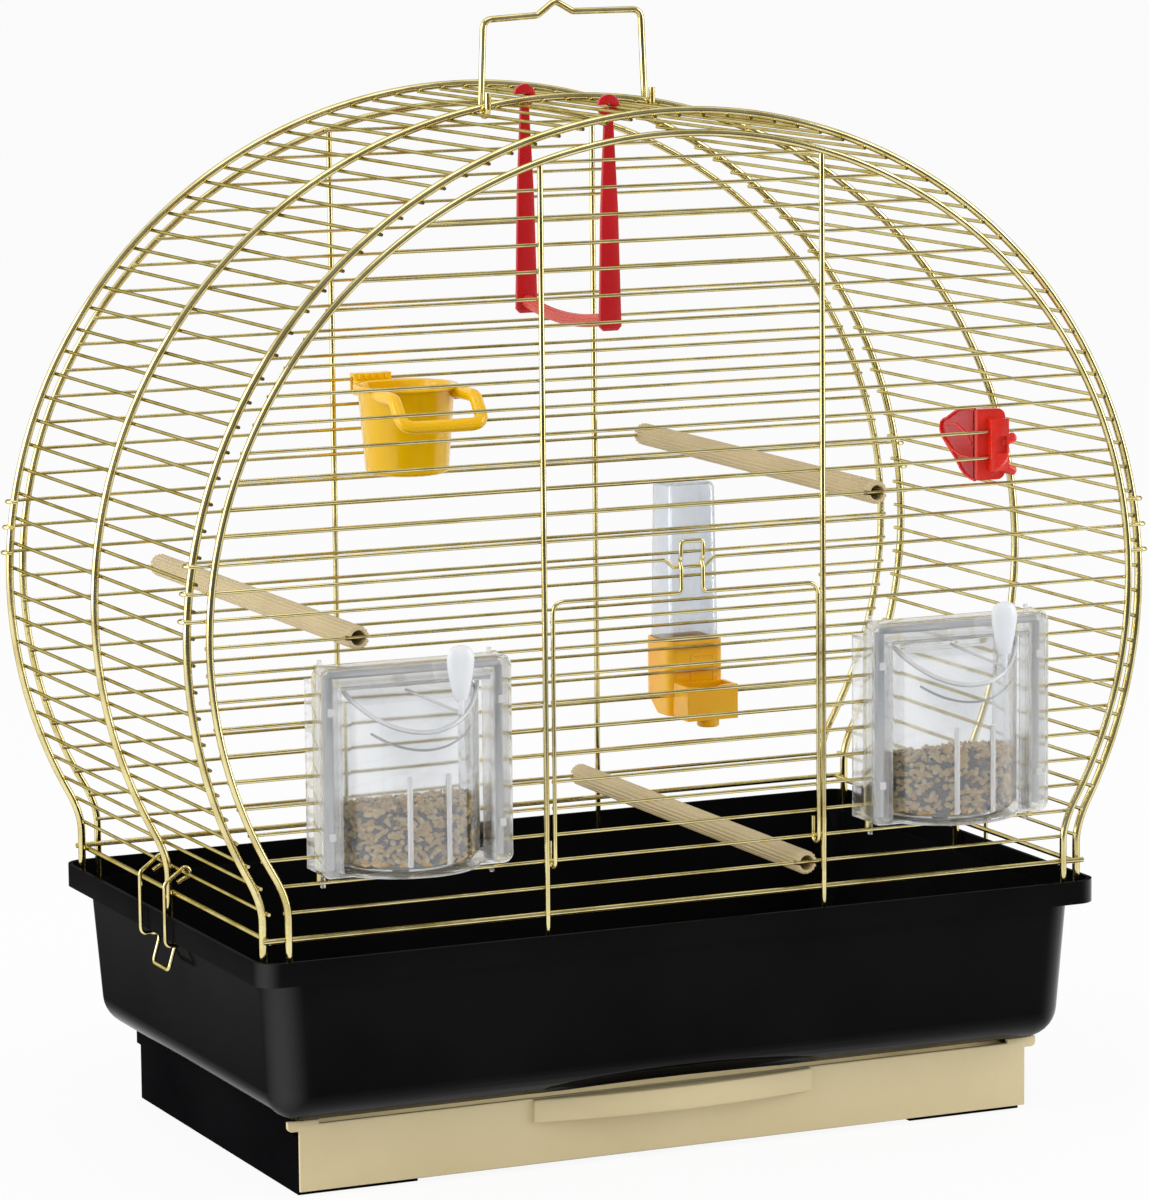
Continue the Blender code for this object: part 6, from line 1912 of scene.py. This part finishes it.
@dataclass
class Feeder:
    """Clear feeder: a frame in the panel's opening and a drum of seeds that turns in it."""

    side: Side
    x: float = 0.1447
    bottom: float = 0.1590
    shelf: float = 0.0020
    ring_top: float = 0.2593
    half: float = 0.0490
    back: float = -0.1330
    ring_depth: float = 0.0105
    border: float = 0.0112
    corner: float = 0.0050
    skin: float = 0.0016
    opening_half: float = 0.0442
    sleeve_back: float = -0.1120
    sleeve_wall: float = 0.0018
    shelf_radius: float = 0.0390
    axis_y: float = -0.12085
    drum_radius: float = 0.0380
    drum_wall: float = 0.0015
    front_height: float = 0.0667
    mouth_setback: float = 0.0100
    lip_height: float = 0.0180
    pin: float = 0.0030
    seed_front: float = 0.0295
    seed_back: float = 0.0125
    lever_angle: float = 30.0
    lever_radius: float = 0.0372
    lever_half_width: float = 0.0070
    lever_half_thickness: float = 0.0036
    lever_length: float = 0.0270
    lever_rise: float = 0.0077
    grains: int = 1500
    first_draw: int = 29
    least_corner: float = 0.0010
    edge: float = 0.0003
    edge_angle: float = 50.0
    ring_edge: float = 0.0009
    pocket_edge: float = 0.0002
    drum_edge: float = 0.00035
    drum_edge_angle: float = 45.0
    claw_reach: float = 0.0028
    claw_depth: float = 0.0020
    claw_lap: float = 0.0009
    rail_sink: float = 0.0024
    rail_radii: tuple[float, float, float] = (0.0024, 0.0018, 0.0019)
    rail_ends: Spot = (0.0040, 0.0050)
    rail_inset: float = 0.0060
    rail_share: float = 0.36
    snap_heights: Spot = (0.0200, 0.0210)
    snap_half: Spot = (0.0018, 0.0020)
    snap_proud: float = 0.0005
    snap_lap: float = 0.0006
    snap_edge: float = 0.0004
    step_rise: float = 0.0011
    step_sink: float = 0.0008
    step_wire: float = 0.0016
    rib_angle: float = 15.0
    rib_lift: float = 0.0030
    rib_profile: tuple[Spot, ...] = ((0.0010, 0.0), (0.0014, 0.0006), (0.0014, 0.0420), (0.0010, 0.0430))
    rim_wire: float = 0.0022
    inner_rim_wire: float = 0.0012
    inner_rim_drop: float = 0.0085
    guide_wire: float = 0.0014
    guide_reaches: Spot = (-0.0220, 0.0120)
    guide_run: float = 0.0210
    pin_lap: float = 0.0007
    pin_rise: float = 0.0021
    stem: float = 0.0016
    stem_lap: float = 0.0060
    core_wall: float = 0.0028
    # Tone of the heap's core: painted shade between the grains.
    core_tone: float = 0.02
    grain_wall: float = 0.0014
    grain_drop: float = 0.0026
    least_heap: float = 0.0040
    grain_lift: float = 0.0010
    grain_shift: float = 0.0012
    drop_shares: tuple[Spot, ...] = (
        (0.10, 0.0), (0.30, 0.012), (0.48, 0.06), (0.62, 0.18), (0.78, 0.36), (0.93, 0.56), (1.0, 0.72),
        (0.96, 0.83), (0.82, 0.92), (0.58, 0.975), (0.25, 1.0)
    )

    @property
    def centre_x(self) -> float:
        """The feeder's middle."""
        return self.side.value * self.x

    @property
    def drum_low(self) -> float:
        """Underside of the drum."""
        return self.bottom + self.shelf + GAP

    @property
    def drum_top(self) -> float:
        """Top of the drum."""
        return self.ring_top - self.border - GAP

    @property
    def slope(self) -> float:
        """Rise of the drum's sloping top for each unit of depth."""
        run = self.drum_radius - (PLAN.wire_y + self.axis_y) - 2 * self.drum_wall
        return (self.drum_top - self.drum_low - self.front_height) / run

    @property
    def seed_fall(self) -> float:
        """Fall of the seeds' surface for each unit of depth."""
        return (self.seed_front - self.seed_back) / self.drum_radius

    def ring_outline(self, inset: float) -> list[Spot]:
        """Rounded rectangle of the frame, drawn in by an inset."""
        radius = max(self.corner - inset, self.least_corner)
        middle_z = (self.bottom + self.ring_top) / 2
        reach_z = (self.ring_top - self.bottom) / 2 - inset - radius
        reach_x = self.half - inset - radius
        points = []
        for quarter, (sx, sz) in enumerate(((1, 1), (-1, 1), (-1, -1), (1, -1))):
            centre = (self.centre_x + sx * reach_x, middle_z + sz * reach_z)
            points += arc(centre, radius, math.pi / 2 * quarter, math.pi / 2, 8)
        return points

    def frame_piece(self) -> Item:
        """Thin-walled ring outside the wires, a sleeve through them, a shelf and claws."""
        x = self.centre_x
        front = self.back - self.ring_depth
        upright = front_plane((front + self.back) / 2)
        frame = plate("feeder_shell_" + self.side.label, [self.ring_outline(0.0)], self.ring_depth,
                      self.ring_edge, upright)
        window = self.half - self.border
        shelf = self.bottom + self.shelf
        window_top = self.drum_top + GAP
        low, high = (x - window, front - OVERRUN, shelf), (x + window, self.back + OVERRUN, window_top)
        carve(frame, block("window", low, high))
        pocket_depth = self.ring_depth - self.skin + OVERRUN
        inward = front_plane(front + self.skin + pocket_depth / 2)
        pocket = plate("pocket", [self.ring_outline(self.skin)], pocket_depth, self.pocket_edge, inward)
        keep = window + self.skin
        low = (x - keep, front, self.bottom - OVERRUN)
        carve(pocket, block("keep", low, (x + keep, self.back + 2 * OVERRUN, window_top + self.skin)))
        carve(frame, pocket)
        sleeve = self.opening_half
        start = self.back - self.shelf
        roof = window_top + self.sleeve_wall
        body = block("sleeve", (x - sleeve, start, self.bottom), (x + sleeve, self.sleeve_back, roof))
        bay = sleeve - self.sleeve_wall
        high = (x + bay, self.sleeve_back + OVERRUN, window_top)
        carve(body, block("bay", (x - bay, start - OVERRUN, shelf), high))
        carve(frame, body, "UNION")
        carve(frame, self.upright_rod("shelf", self.bottom, shelf, self.shelf_radius, 96), "UNION")
        claw_front = -PLAN.wire_y + PLAN.clear
        claw_back = claw_front + self.claw_depth
        claw_low, claw_high = PLAN.level(2) - self.claw_reach, PLAN.level(10) + self.claw_reach
        for sign in (-1, 1):
            near, far = sorted((x + sign * bay, x + sign * sleeve))
            for z_low, z_high in ((claw_low, shelf), (roof - self.claw_lap, claw_high)):
                carve(frame, block("claw", (near, claw_front, z_low), (far, claw_back, z_high)), "UNION")
        low_z, high_z = self.bottom - OVERRUN, self.ring_top + OVERRUN
        carve(frame, self.upright_rod("pin_hole", low_z, high_z, self.pin + GAP, 24))
        return soften(frame, self.edge, 1, self.edge_angle)

    def upright_rod(self, name: str, low: float, high: float, radius: float, sides: int) -> Item:
        """Round rod that stands on the drum's axis."""
        return rod(name, (self.centre_x, self.axis_y, low), (self.centre_x, self.axis_y, high), radius, sides)

    def rails(self) -> Item:
        """Round rails, snap windows and stepped lines moulded inside the frame's border."""
        x = self.centre_x
        front = self.back - self.ring_depth
        y = front + self.skin + self.rail_sink
        left_radius, right_radius, top_radius = self.rail_radii
        z_low, z_high = self.bottom + self.rail_ends[0], self.ring_top - self.rail_ends[1]
        half_x, half_z = self.snap_half
        parts = []
        for sign, radius in ((-1, left_radius), (1, right_radius)):
            rail_x = x + sign * (self.half - self.border / 2)
            parts.append(rod("rail", (rail_x, y, z_low), (rail_x, y, z_high), radius, 20))
            for z in (self.bottom + self.snap_heights[0], self.ring_top - self.snap_heights[1]):
                low = (rail_x - half_x, front - self.snap_proud, z - half_z)
                snap = block("snap", low, (rail_x + half_x, front + self.snap_lap, z + half_z))
                parts.append(soften(snap, self.snap_edge))
        z = self.ring_top - self.border * self.rail_share
        reach = self.half - self.rail_inset
        parts.append(rod("rail", (x - reach, y, z), (x + reach, y, z), top_radius, 20))
        z = self.drum_top + GAP + self.step_rise
        reach = self.half - self.border
        step = [(x + sign * reach, front + self.step_sink, z) for sign in (-1, 1)]
        parts.append(wire("step", [step], self.step_wire, 8))
        return merge("feeder_rails_" + self.side.label, parts)

    def slanted(self, name: str, radius: float, low: float, high: float, front_z: float) -> Item:
        """Round block on the drum's axis whose front top slopes up and back."""
        body = self.upright_rod(name, low, high, radius, 112)
        over = self.drum_radius
        front = self.axis_y - over
        outline = [(front - over, front_z - self.slope * over),
                   (front + (high - front_z + over) / self.slope, high + over), (front - over, high + over)]
        return carve(body, plate("slope", [outline], 4 * over, SHARP, side_plane(self.centre_x)))

    def drum(self) -> Item:
        """Thin-walled drum with a sloping front top, open to the inside of the cage."""
        x, low, wall = self.centre_x, self.drum_low, self.drum_wall
        name = "feeder_drum_shell_" + self.side.label
        front_z = low + self.front_height
        drum = self.slanted(name, self.drum_radius, low, self.drum_top, front_z)
        drop = wall * math.hypot(1.0, self.slope)
        radius = self.drum_radius - wall
        carve(drum, self.slanted("hollow", radius, low + wall, self.drum_top - wall, front_z - drop))
        reach = self.drum_radius + OVERRUN
        mouth_low = (x - reach, self.axis_y + self.mouth_setback, low + self.lip_height)
        carve(drum, block("mouth", mouth_low, (x + reach, self.axis_y + reach, self.drum_top + OVERRUN)))
        return soften(drum, self.drum_edge, 1, self.drum_edge_angle)

    def on_drum(self, angle: float, radius: float, z: float) -> Vector:
        """Place at an angle from the drum's front, at a radius and a height."""
        return Vector((self.centre_x + radius * math.sin(angle), self.axis_y - radius * math.cos(angle), z))

    def drum_ribs(self) -> Item:
        """Ribs on the drum's front, the rim along its sloping edge, lever guides and pins."""
        low = self.drum_low
        front_z = low + self.front_height
        parts = []
        for sign in (-1, 1):
            angle = math.radians(sign * self.rib_angle)
            spot = self.on_drum(angle, self.drum_radius + SHARP, low + self.rib_lift)
            parts.append(turned("rib", self.rib_profile, Matrix.Translation(spot), 16))
        limit = math.acos((PLAN.wire_y + self.axis_y + 2 * self.drum_wall) / self.drum_radius)
        rim = []
        for step in range(65):
            angle = -limit + 2 * limit * step / 64
            z = front_z + self.slope * (self.drum_radius * (1.0 - math.cos(angle)))
            rim.append(self.on_drum(angle, self.drum_radius - self.drum_wall / 2, z))
        inner = [p - Vector((0.0, 0.0, self.inner_rim_drop)) for p in rim[12:-12]]
        parts.append(wire("rim", [rim], self.rim_wire))
        parts.append(wire("inner_rim", [inner], self.inner_rim_wire, 8))
        base = self.lever_base()
        end_y = self.axis_y - self.drum_radius + self.guide_run
        end_z = front_z + self.slope * self.guide_run + GAP
        foot = base + Vector((0.0, 0.0, GAP + SHARP))
        for reach in self.guide_reaches:
            parts.append(wire("guide", [[foot, Vector((base.x + reach, end_y, end_z))]], self.guide_wire, 8))
        top = self.drum_top
        for start, end in ((self.bottom, low + self.pin_lap), (top - self.pin_lap, top + self.pin_rise)):
            parts.append(self.upright_rod("pin", start, end, self.pin, 24))
        return merge("feeder_drum_ribs_" + self.side.label, parts)

    def lever_base(self) -> Vector:
        """Place where the lever's stem stands on the sloping top."""
        spot = self.on_drum(math.radians(self.lever_angle), self.lever_radius, 0.0)
        y = self.axis_y - self.lever_radius * math.cos(math.radians(self.lever_angle))
        depth = y + self.stem - (self.axis_y - self.drum_radius)
        spot.z = self.drum_low + self.front_height + self.slope * depth + GAP
        return spot

    def lever(self) -> Item:
        """Drop-shaped lever on its stem."""
        base = self.lever_base()
        top = self.ring_top + self.lever_rise
        bottom = top - self.lever_length
        profile = [(radius, bottom + self.lever_length * up) for radius, up in self.drop_shares]
        squash = Matrix.Diagonal((self.lever_half_width, self.lever_half_thickness, 1.0, 1.0))
        drop = turned("drop", profile, Matrix.Translation((base.x, base.y, 0.0)) @ squash, 40)
        stem = rod("stem", base, (base.x, base.y, bottom + self.stem_lap), self.stem, 20)
        return merge("feeder_lever_drop_" + self.side.label, [drop, stem])

    def grain(self, chance: random.Random) -> tuple[Vector, float]:
        """Draw one grain's kind, its half sizes and its tone."""
        kind = chance.random()
        for limit, size, sizes, tones in GRAIN_KINDS:
            if kind < limit:
                break
        return Vector(size) * chance.uniform(*sizes), chance.uniform(*tones)

    def seeds(self) -> Item:
        """Loose grains against the drum's wall and over the heap, each with its own tone."""
        chance = random.Random(self.first_draw + self.side.value)
        floor = self.drum_low + self.drum_wall + 2 * GAP
        radius = self.drum_radius - self.drum_wall - self.grain_wall
        places = []
        tones = []
        while len(places) < self.grains:
            on_wall = len(places) % 3
            angle = chance.uniform(-math.pi, math.pi)
            reach = radius * (1.0 if on_wall else math.sqrt(chance.random()))
            dx, dy = reach * math.sin(angle), -reach * math.cos(angle)
            height = self.seed_front - self.seed_fall * max(0.0, dy) - self.grain_drop
            rise = chance.random() * max(height, self.least_heap) if on_wall else height
            size, tone = self.grain(chance)
            spin = Matrix.Rotation(chance.uniform(-1.0, 1.0), 4, "Y")
            spin @= Matrix.Rotation(chance.uniform(-0.5, 0.5), 4, "Z")
            along = Matrix.Rotation(angle if on_wall else chance.uniform(0.0, math.pi), 4, "Z")
            inward = Vector((-math.sin(angle), math.cos(angle), 0.0)) * chance.uniform(0.0, self.grain_shift)
            spot = Vector((self.centre_x + dx, self.axis_y + dy, floor + self.grain_lift + rise)) + inward
            places.append(Matrix.Translation(spot) @ along @ spin @ Matrix.Diagonal((*size, 1.0)))
            tones.append(tone)
        return scatter("feeder_grains_" + self.side.label, bead_model(), places, tones)

    def heap(self) -> Item:
        """Near-black core of the heap behind the grains: painted shade in the gaps between them."""
        low = self.drum_low + self.drum_wall + GAP
        radius = self.drum_radius - self.drum_wall - self.core_wall
        top = low + self.seed_front
        core = self.upright_rod("feeder_heap_" + self.side.label, low, top, radius, 64)
        over = 2 * self.drum_radius
        front, back = self.axis_y - over, self.axis_y + over
        level = top - self.core_wall
        ramp = [(front, level), (self.axis_y, level), (back, level - self.seed_fall * over)]
        ramp += [(back, low + over), (front, low + over)]
        carve(core, plate("ramp", [ramp], 2 * over, SHARP, side_plane(self.centre_x)))
        clean(core)
        # The core's low tone picks the ramp's near-black, which is painted shade.
        write_values(core.data, "tone", [self.core_tone] * len(core.data.vertices))
        return core

    def build(self) -> None:
        """Model and dress the feeder's pieces."""
        body = "feeder_" + self.side.label
        # Rails and drum ribs take the painted highlight finish; the heap is a near-black core of painted
        # shade behind the grains.
        for make, finish, ride, slot, node in (
            (self.frame_piece, "shell", Body.CAGE, "feeder_clear", "frame"),
            (self.rails, "bright", Body.CAGE, "feeder_clear", "frame"),
            (self.drum, "clear", body, "feeder_clear", "drum"),
            (self.drum_ribs, "bright", body, "feeder_clear", "drum"),
            (self.lever, "milky", body, "lever_milky", "lever"),
            (self.heap, "seed", body, "seed_mix", "seed"),
            (self.seeds, "seed", body, "seed_mix", "seed"),
        ):
            dress(make(), finish, ride, [f"feeder_{node}_{self.side.label}"])


@dataclass
class Tray:
    """Deep glossy tray with a stepped rim, an upstanding lip and a hatch in its floor."""

    bottom_z: float = 0.0383
    rim_z: float = 0.1092
    ledge: float = 0.0025
    lip_height: float = 0.0116
    lip: float = 0.0019
    bottom_half: tuple[float, float] = (0.2117, 0.1302)
    top_half: tuple[float, float] = (0.2166, 0.1340)
    lip_half: tuple[float, float] = (0.2243, 0.1410)
    wall: float = 0.0020
    floor: float = 0.0024
    edge: float = 0.0150
    corner: float = 0.0180
    rim_corner: float = 0.0110
    hatch: Spot = (0.1750, 0.0850)
    hatch_corner: float = 0.0100
    soft_edge: float = 0.0007
    soft_angle: float = 50.0
    scoop: Point = (0.0860, 0.0160, 0.0095)

    def wall_half(self, z: float, inset: float) -> Ring:
        """Ring on the drafted wall at a height, drawn in by an inset."""
        share = (z - self.bottom_z) / (self.rim_z - self.bottom_z)
        half_x, half_y = (low + share * (high - low) for low, high in zip(self.bottom_half, self.top_half))
        return (half_x - inset, half_y - inset, z)

    def solid(self, name: str, inset: float, low: float, high: float) -> Item:
        """Drafted block with a rounded lower edge.

        Args:
            name: The object's name.
            inset: How far it is drawn in from the tray's outer wall.
            low: Height of its underside.
            high: Height of its top.

        Returns:
            A closed solid.
        """
        rings = [self.wall_half(low, inset), self.wall_half(high, inset)]
        item = rounded_stack(name, rings, self.corner - inset, steps=12)
        activate(item)
        bpy.ops.object.mode_set(mode="EDIT")
        bpy.ops.mesh.select_mode(type="EDGE")
        bpy.ops.mesh.select_all(action="DESELECT")
        shape = bmesh.from_edit_mesh(item.data)
        for edge in shape.edges:
            edge.select_set(all(abs(vertex.co.z - low) < MERGE for vertex in edge.verts))
        bmesh.update_edit_mesh(item.data)
        bpy.ops.mesh.bevel(offset=self.edge - inset, segments=8, affect="EDGES")
        stop_editing()
        return clean(item)

    def ellipsoid(self, name: str, grow: float) -> Item:
        """Ellipsoid round the finger scoop under the front edge."""
        place = (0.0, -self.bottom_half[1], self.bottom_z)
        deselect()
        bpy.ops.mesh.primitive_uv_sphere_add(segments=64, ring_count=32, radius=1.0, location=place)
        item = named(name)
        bpy.ops.transform.resize(value=tuple(size + grow for size in self.scoop))
        return clean(item)

    def build(self) -> None:
        """Model and dress the tray."""
        lip_top = self.rim_z + self.lip_height
        ledge_z = self.rim_z + self.ledge
        floor_z = self.bottom_z + self.floor
        inner_lip = tuple(size - self.lip for size in self.lip_half)
        tray = self.solid("tray_shell", 0.0, self.bottom_z, self.rim_z + self.ledge / 2)
        rim = [(*self.lip_half, self.rim_z), (*self.lip_half, lip_top)]
        rim += [(*inner_lip, lip_top), (*inner_lip, ledge_z)]
        carve(tray, rounded_stack("rim", rim, self.rim_corner, steps=10), "UNION")
        carve(tray, self.solid("pocket", self.wall, floor_z, ledge_z + OVERRUN))
        backing = self.solid("core", 0.0, self.bottom_z, self.rim_z)
        carve(backing, self.ellipsoid("backing", self.wall), "INTERSECT")
        carve(tray, backing, "UNION")
        carve(tray, self.ellipsoid("scoop", 0.0))
        hole = [(*self.hatch, self.bottom_z - OVERRUN), (*self.hatch, floor_z + OVERRUN)]
        carve(tray, rounded_stack("hatch", hole, self.hatch_corner))
        soften(tray, self.soft_edge, 3, self.soft_angle)
        dress(mark_edges(tray), "black", Body.CAGE, ["tray_base"])


@dataclass
class Housing:
    """Black drawer housing under the tray with a stepped band and low feet."""

    half_x: float = 0.1952
    half_y: float = 0.1096
    height: float = 0.0380
    wall: float = 0.0020
    floor: float = 0.0022
    band_step: float = 0.0020
    band_height: float = 0.0088
    ledge_z: float = 0.0312
    flange: float = 0.0020
    flange_reach: float = 0.0130
    pad_width: float = 0.0617
    notch_depth: float = 0.0180
    pad_height: float = 0.0012
    edge: float = 0.0006

    def build(self) -> None:
        """Model and dress the housing."""
        band = self.half_x + self.band_step
        front = -self.half_y - OVERRUN
        corner = (self.half_x, self.half_y, self.height)
        shell = block("housing_shell", (-self.half_x, -self.half_y, 0.0), corner)
        band_low = (-band, -self.half_y, self.height - self.band_height)
        carve(shell, block("band", band_low, (band, self.half_y, self.height)), "UNION")
        inner = self.half_x - self.wall
        back = self.half_y - self.wall
        carve(shell, block("bay", (-inner, front, self.floor), (inner, back, self.ledge_z + self.wall)))
        wide = band - self.wall
        top = self.height - self.flange
        carve(shell, block("track", (-wide, front, self.ledge_z), (wide, back, top)))
        well = band - self.flange_reach
        well_high = (well, self.half_y - self.flange_reach, self.height + OVERRUN)
        carve(shell, block("well", (-well, front, top - self.flange), well_high))
        pad = self.half_x - self.pad_width
        notch_back = -self.half_y + self.notch_depth
        carve(shell, block("notch", (-pad, front, -OVERRUN), (pad, notch_back, self.pad_height)))
        soften(shell, self.edge)
        dress(shell, "black", Body.CAGE, ["drawer_housing"])


@dataclass
class Drawer:
    """Beige dirt drawer with side rails, front, two ears and a bowed pull."""

    bottom: float = 0.0045
    rail_z: float = 0.0315
    rail: float = 0.0020
    wall: float = 0.0018
    half_x: float = 0.1905
    rail_half: float = 0.1949
    back: float = 0.1073
    front_back: float = -0.1127
    front: float = -0.1152
    front_low: float = 0.0027
    front_top: float = 0.0354
    front_half: float = 0.1962
    ear_out: float = 0.2024
    ear_height: float = 0.0052
    ear_top: float = 0.0376
    ear_lap: float = 0.0100
    corner: float = 0.0040
    pull_half: float = 0.0750
    pull_bow: float = 0.0090
    pull_end: float = 0.0022
    pull_height: float = 0.0119
    pull_wall: float = 0.0020
    pull_lap: float = 0.0012
    pull_edge: float = 0.0009
    hollow_lap: float = 0.0040
    hollow_edge: float = 0.0002
    tub_lap: float = 0.0012
    tub_edge: float = 0.0004
    face_edge: float = 0.0006

    def tub(self) -> Item:
        """Open tub with a rail round its top."""
        centre = (0.0, (self.back + self.front_back) / 2)
        half_y = (self.back - self.front_back) / 2
        top = self.rail_z + self.rail
        outer = (self.half_x, half_y - self.tub_lap)
        rail = (self.rail_half, half_y)
        hollow = (self.half_x - self.wall, half_y - self.tub_lap - self.wall)
        rings = [(*outer, self.bottom), (*outer, self.rail_z), (*rail, self.rail_z), (*rail, top),
                 (*hollow, top), (*hollow, self.bottom + self.wall)]
        return soften(rounded_stack("drawer_tub", rings, self.corner, centre), self.tub_edge)

    def face(self) -> Item:
        """Front plate with its two rounded ears."""
        ear_low = self.ear_top - self.ear_height
        half_round = self.ear_height / 2
        centre = (self.ear_out - half_round, ear_low + half_round)
        ear_in = self.front_half - self.ear_lap
        right = [(self.front_half, self.front_low), (self.front_half, ear_low)]
        right += arc(centre, half_round, -math.pi / 2, math.pi / 2, 8)
        right += [(self.ear_out, self.ear_top), (ear_in, self.ear_top), (ear_in, self.front_top)]
        outline = right + [(-x, z) for x, z in reversed(right)]
        thick = self.front_back - self.front
        return plate("drawer_face", [outline], thick, self.face_edge, front_plane(self.front + thick / 2))

    def pull_line(self, inset: float, end: float, sink: float) -> list[Spot]:
        """Plan of the bowed pull: deep in the middle, shallow at its ends, flat behind.

        Args:
            inset: How far it is drawn in from the pull's outside.
            end: Depth at the ends.
            sink: How far the flat back lies behind the drawer's front.

        Returns:
            The outline.
        """
        half = self.pull_half - inset
        bulge = self.pull_bow - inset - end
        shares = [2.0 * step / 40 - 1.0 for step in range(41)]
        line = [(half * share, self.front - end - bulge * (1.0 - share * share)) for share in shares]
        return line + [(half, self.front + sink), (-half, self.front + sink)]

    def pull(self) -> Item:
        """Bowed pull with a finger hollow below."""
        low = self.front_top - self.pull_height
        high = self.front_top - GAP
        flat = Matrix.Translation((0.0, 0.0, (low + high) / 2))
        outer = self.pull_line(0.0, self.pull_end, self.pull_lap)
        pull = plate("drawer_pull", [outer], high - low, self.pull_edge, flat)
        inner = self.pull_line(self.pull_wall, self.pull_end - self.pull_wall / 2, self.hollow_lap)
        hollow_high = self.front_top - self.pull_wall
        place = Matrix.Translation((0.0, 0.0, (low - OVERRUN + hollow_high) / 2))
        carve(pull, plate("hollow", [inner], hollow_high - low + OVERRUN, self.hollow_edge, place))
        return clean(pull)

    def build(self) -> None:
        """Model and dress the drawer."""
        for piece in (self.tub(), self.face(), self.pull()):
            dress(piece, "beige", Body.DRAWER, ["drawer"])


def outward(azimuth: float, elevation: float) -> Vector:
    """Direction from the cage to a viewer or lamp, from two angles in degrees."""
    a, e = math.radians(azimuth), math.radians(elevation)
    return Vector((math.sin(a) * math.cos(e), -math.cos(a) * math.cos(e), math.sin(e)))


@dataclass(frozen=True)
class Softbox:
    """One rectangular studio lamp that looks at the cage."""

    name: str
    azimuth: float
    elevation: float
    distance: float
    width: float
    height: float
    radiance: float
    aim_z: float = 0.27

    def build(self) -> None:
        """Add the lamp."""
        back = outward(self.azimuth, self.elevation)
        deselect()
        bpy.ops.object.light_add(type="AREA", location=Vector((0.0, 0.0, self.aim_z)) + back * self.distance)
        lamp = named(self.name)
        lamp.rotation_euler = (-back).to_track_quat("-Z", "Y").to_euler()
        lamp.data.shape = "RECTANGLE"
        lamp.data.size = self.width
        lamp.data.size_y = self.height
        lamp.data.energy = self.radiance * math.pi * self.width * self.height


@dataclass
class Studio:
    """Camera at the photograph's angle, soft lamps, pale world and floor."""

    azimuth: float = -24.1955
    elevation: float = 8.6354
    roll: float = -0.0098
    distance: float = 2.8226
    aim_side: float = 0.0014
    aim_z: float = 0.2589
    lens: float = 168.58
    floor_size: float = 80.0
    clip_start: float = 0.05
    clip_end: float = 200.0
    world_level: float = 0.55
    room_level: float = 0.26
    clear_level: float = 0.40
    room_from: float = -0.40
    room_to: float = 0.15
    lamps: tuple[Softbox, ...] = (
        Softbox("left_softbox", -92.0, 16.0, 2.2, 2.3, 2.0, 2.6),
        Softbox("right_softbox", 62.0, 16.0, 2.2, 0.9, 2.0, 4.2),
        Softbox("top_softbox", -15.0, 72.0, 2.2, 1.6, 1.2, 1.6),
    )

    def build(self) -> None:
        """Set up the whole studio."""
        self.add_camera()
        for lamp in self.lamps:
            lamp.build()
        self.add_world()
        deselect()
        bpy.ops.mesh.primitive_plane_add(size=self.floor_size, location=ORIGIN)
        floor = named("studio_floor")
        floor.data.materials.append(StudioFloor().material())
        bpy.context.scene.view_settings.view_transform = "Standard"

    def add_camera(self) -> None:
        """Add the camera where the photograph was taken from."""
        a = math.radians(self.azimuth)
        back = outward(self.azimuth, self.elevation)
        right = Vector((math.cos(a), math.sin(a), 0.0))
        up = back.cross(right)
        turned_right = math.cos(self.roll) * right + math.sin(self.roll) * up
        turned_up = math.cos(self.roll) * up - math.sin(self.roll) * right
        target = right * self.aim_side + Vector((0.0, 0.0, self.aim_z))
        deselect()
        bpy.ops.object.camera_add()
        camera = named("photo_camera")
        camera.data.lens = self.lens
        camera.data.clip_start = self.clip_start
        camera.data.clip_end = self.clip_end
        turn = Matrix((turned_right, turned_up, back)).transposed().to_4x4()
        camera.matrix_world = Matrix.Translation(target + back * self.distance) @ turn
        bpy.context.scene.camera = camera

    def add_world(self) -> None:
        """Light evenly, with white behind the cage and a darker room in front in reflections."""
        world = bpy.data.worlds.new("studio_world")
        bpy.context.scene.world = world
        world.use_nodes = True
        nodes = Nodes(world.node_tree)
        depth = nodes.node("ShaderNodeSeparateXYZ", None, {0: nodes.node("ShaderNodeTexCoord")}, 1)
        ends = (self.room_from, self.room_to)
        room = nodes.smooth(depth, ends, (self.room_level - self.world_level, 1.0 - self.world_level))
        clear = nodes.smooth(depth, ends, (self.clear_level, 1.0))
        seen = nodes.ray(Ray.CAMERA).larger(nodes.ray(Ray.TRANSMISSION) * clear)
        sky = world.node_tree.nodes["Background"]
        nodes.feed(sky.inputs["Strength"], seen.larger(nodes.ray(Ray.GLOSSY) * room + self.world_level))
        nodes.feed(sky.inputs["Color"], WHITE)


def main() -> None:
    """Load the frame and build every sub-assembly in order."""
    logging.basicConfig(level=logging.INFO, format="%(name)s: %(message)s")
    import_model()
    Studio().build()
    assemblies = [
        Housing(), Drawer(), Tray(), Barrel(), EndPanel("front_panel", True), EndPanel("back_panel", False),
        Door(), Handle(), Swing(), Perch("perch_left", -0.1700, 11), Perch("perch_upper", 0.1030, 15),
        Perch("perch_lower", 0.0640, 1), Cup(), ClipHolder(), Drinker(),
    ]
    for side in Side:
        assemblies += [Feeder(side), SideClip(side)]
    for assembly in assemblies:
        assembly.build()
    deselect()


if __name__ == "__main__":
    main()
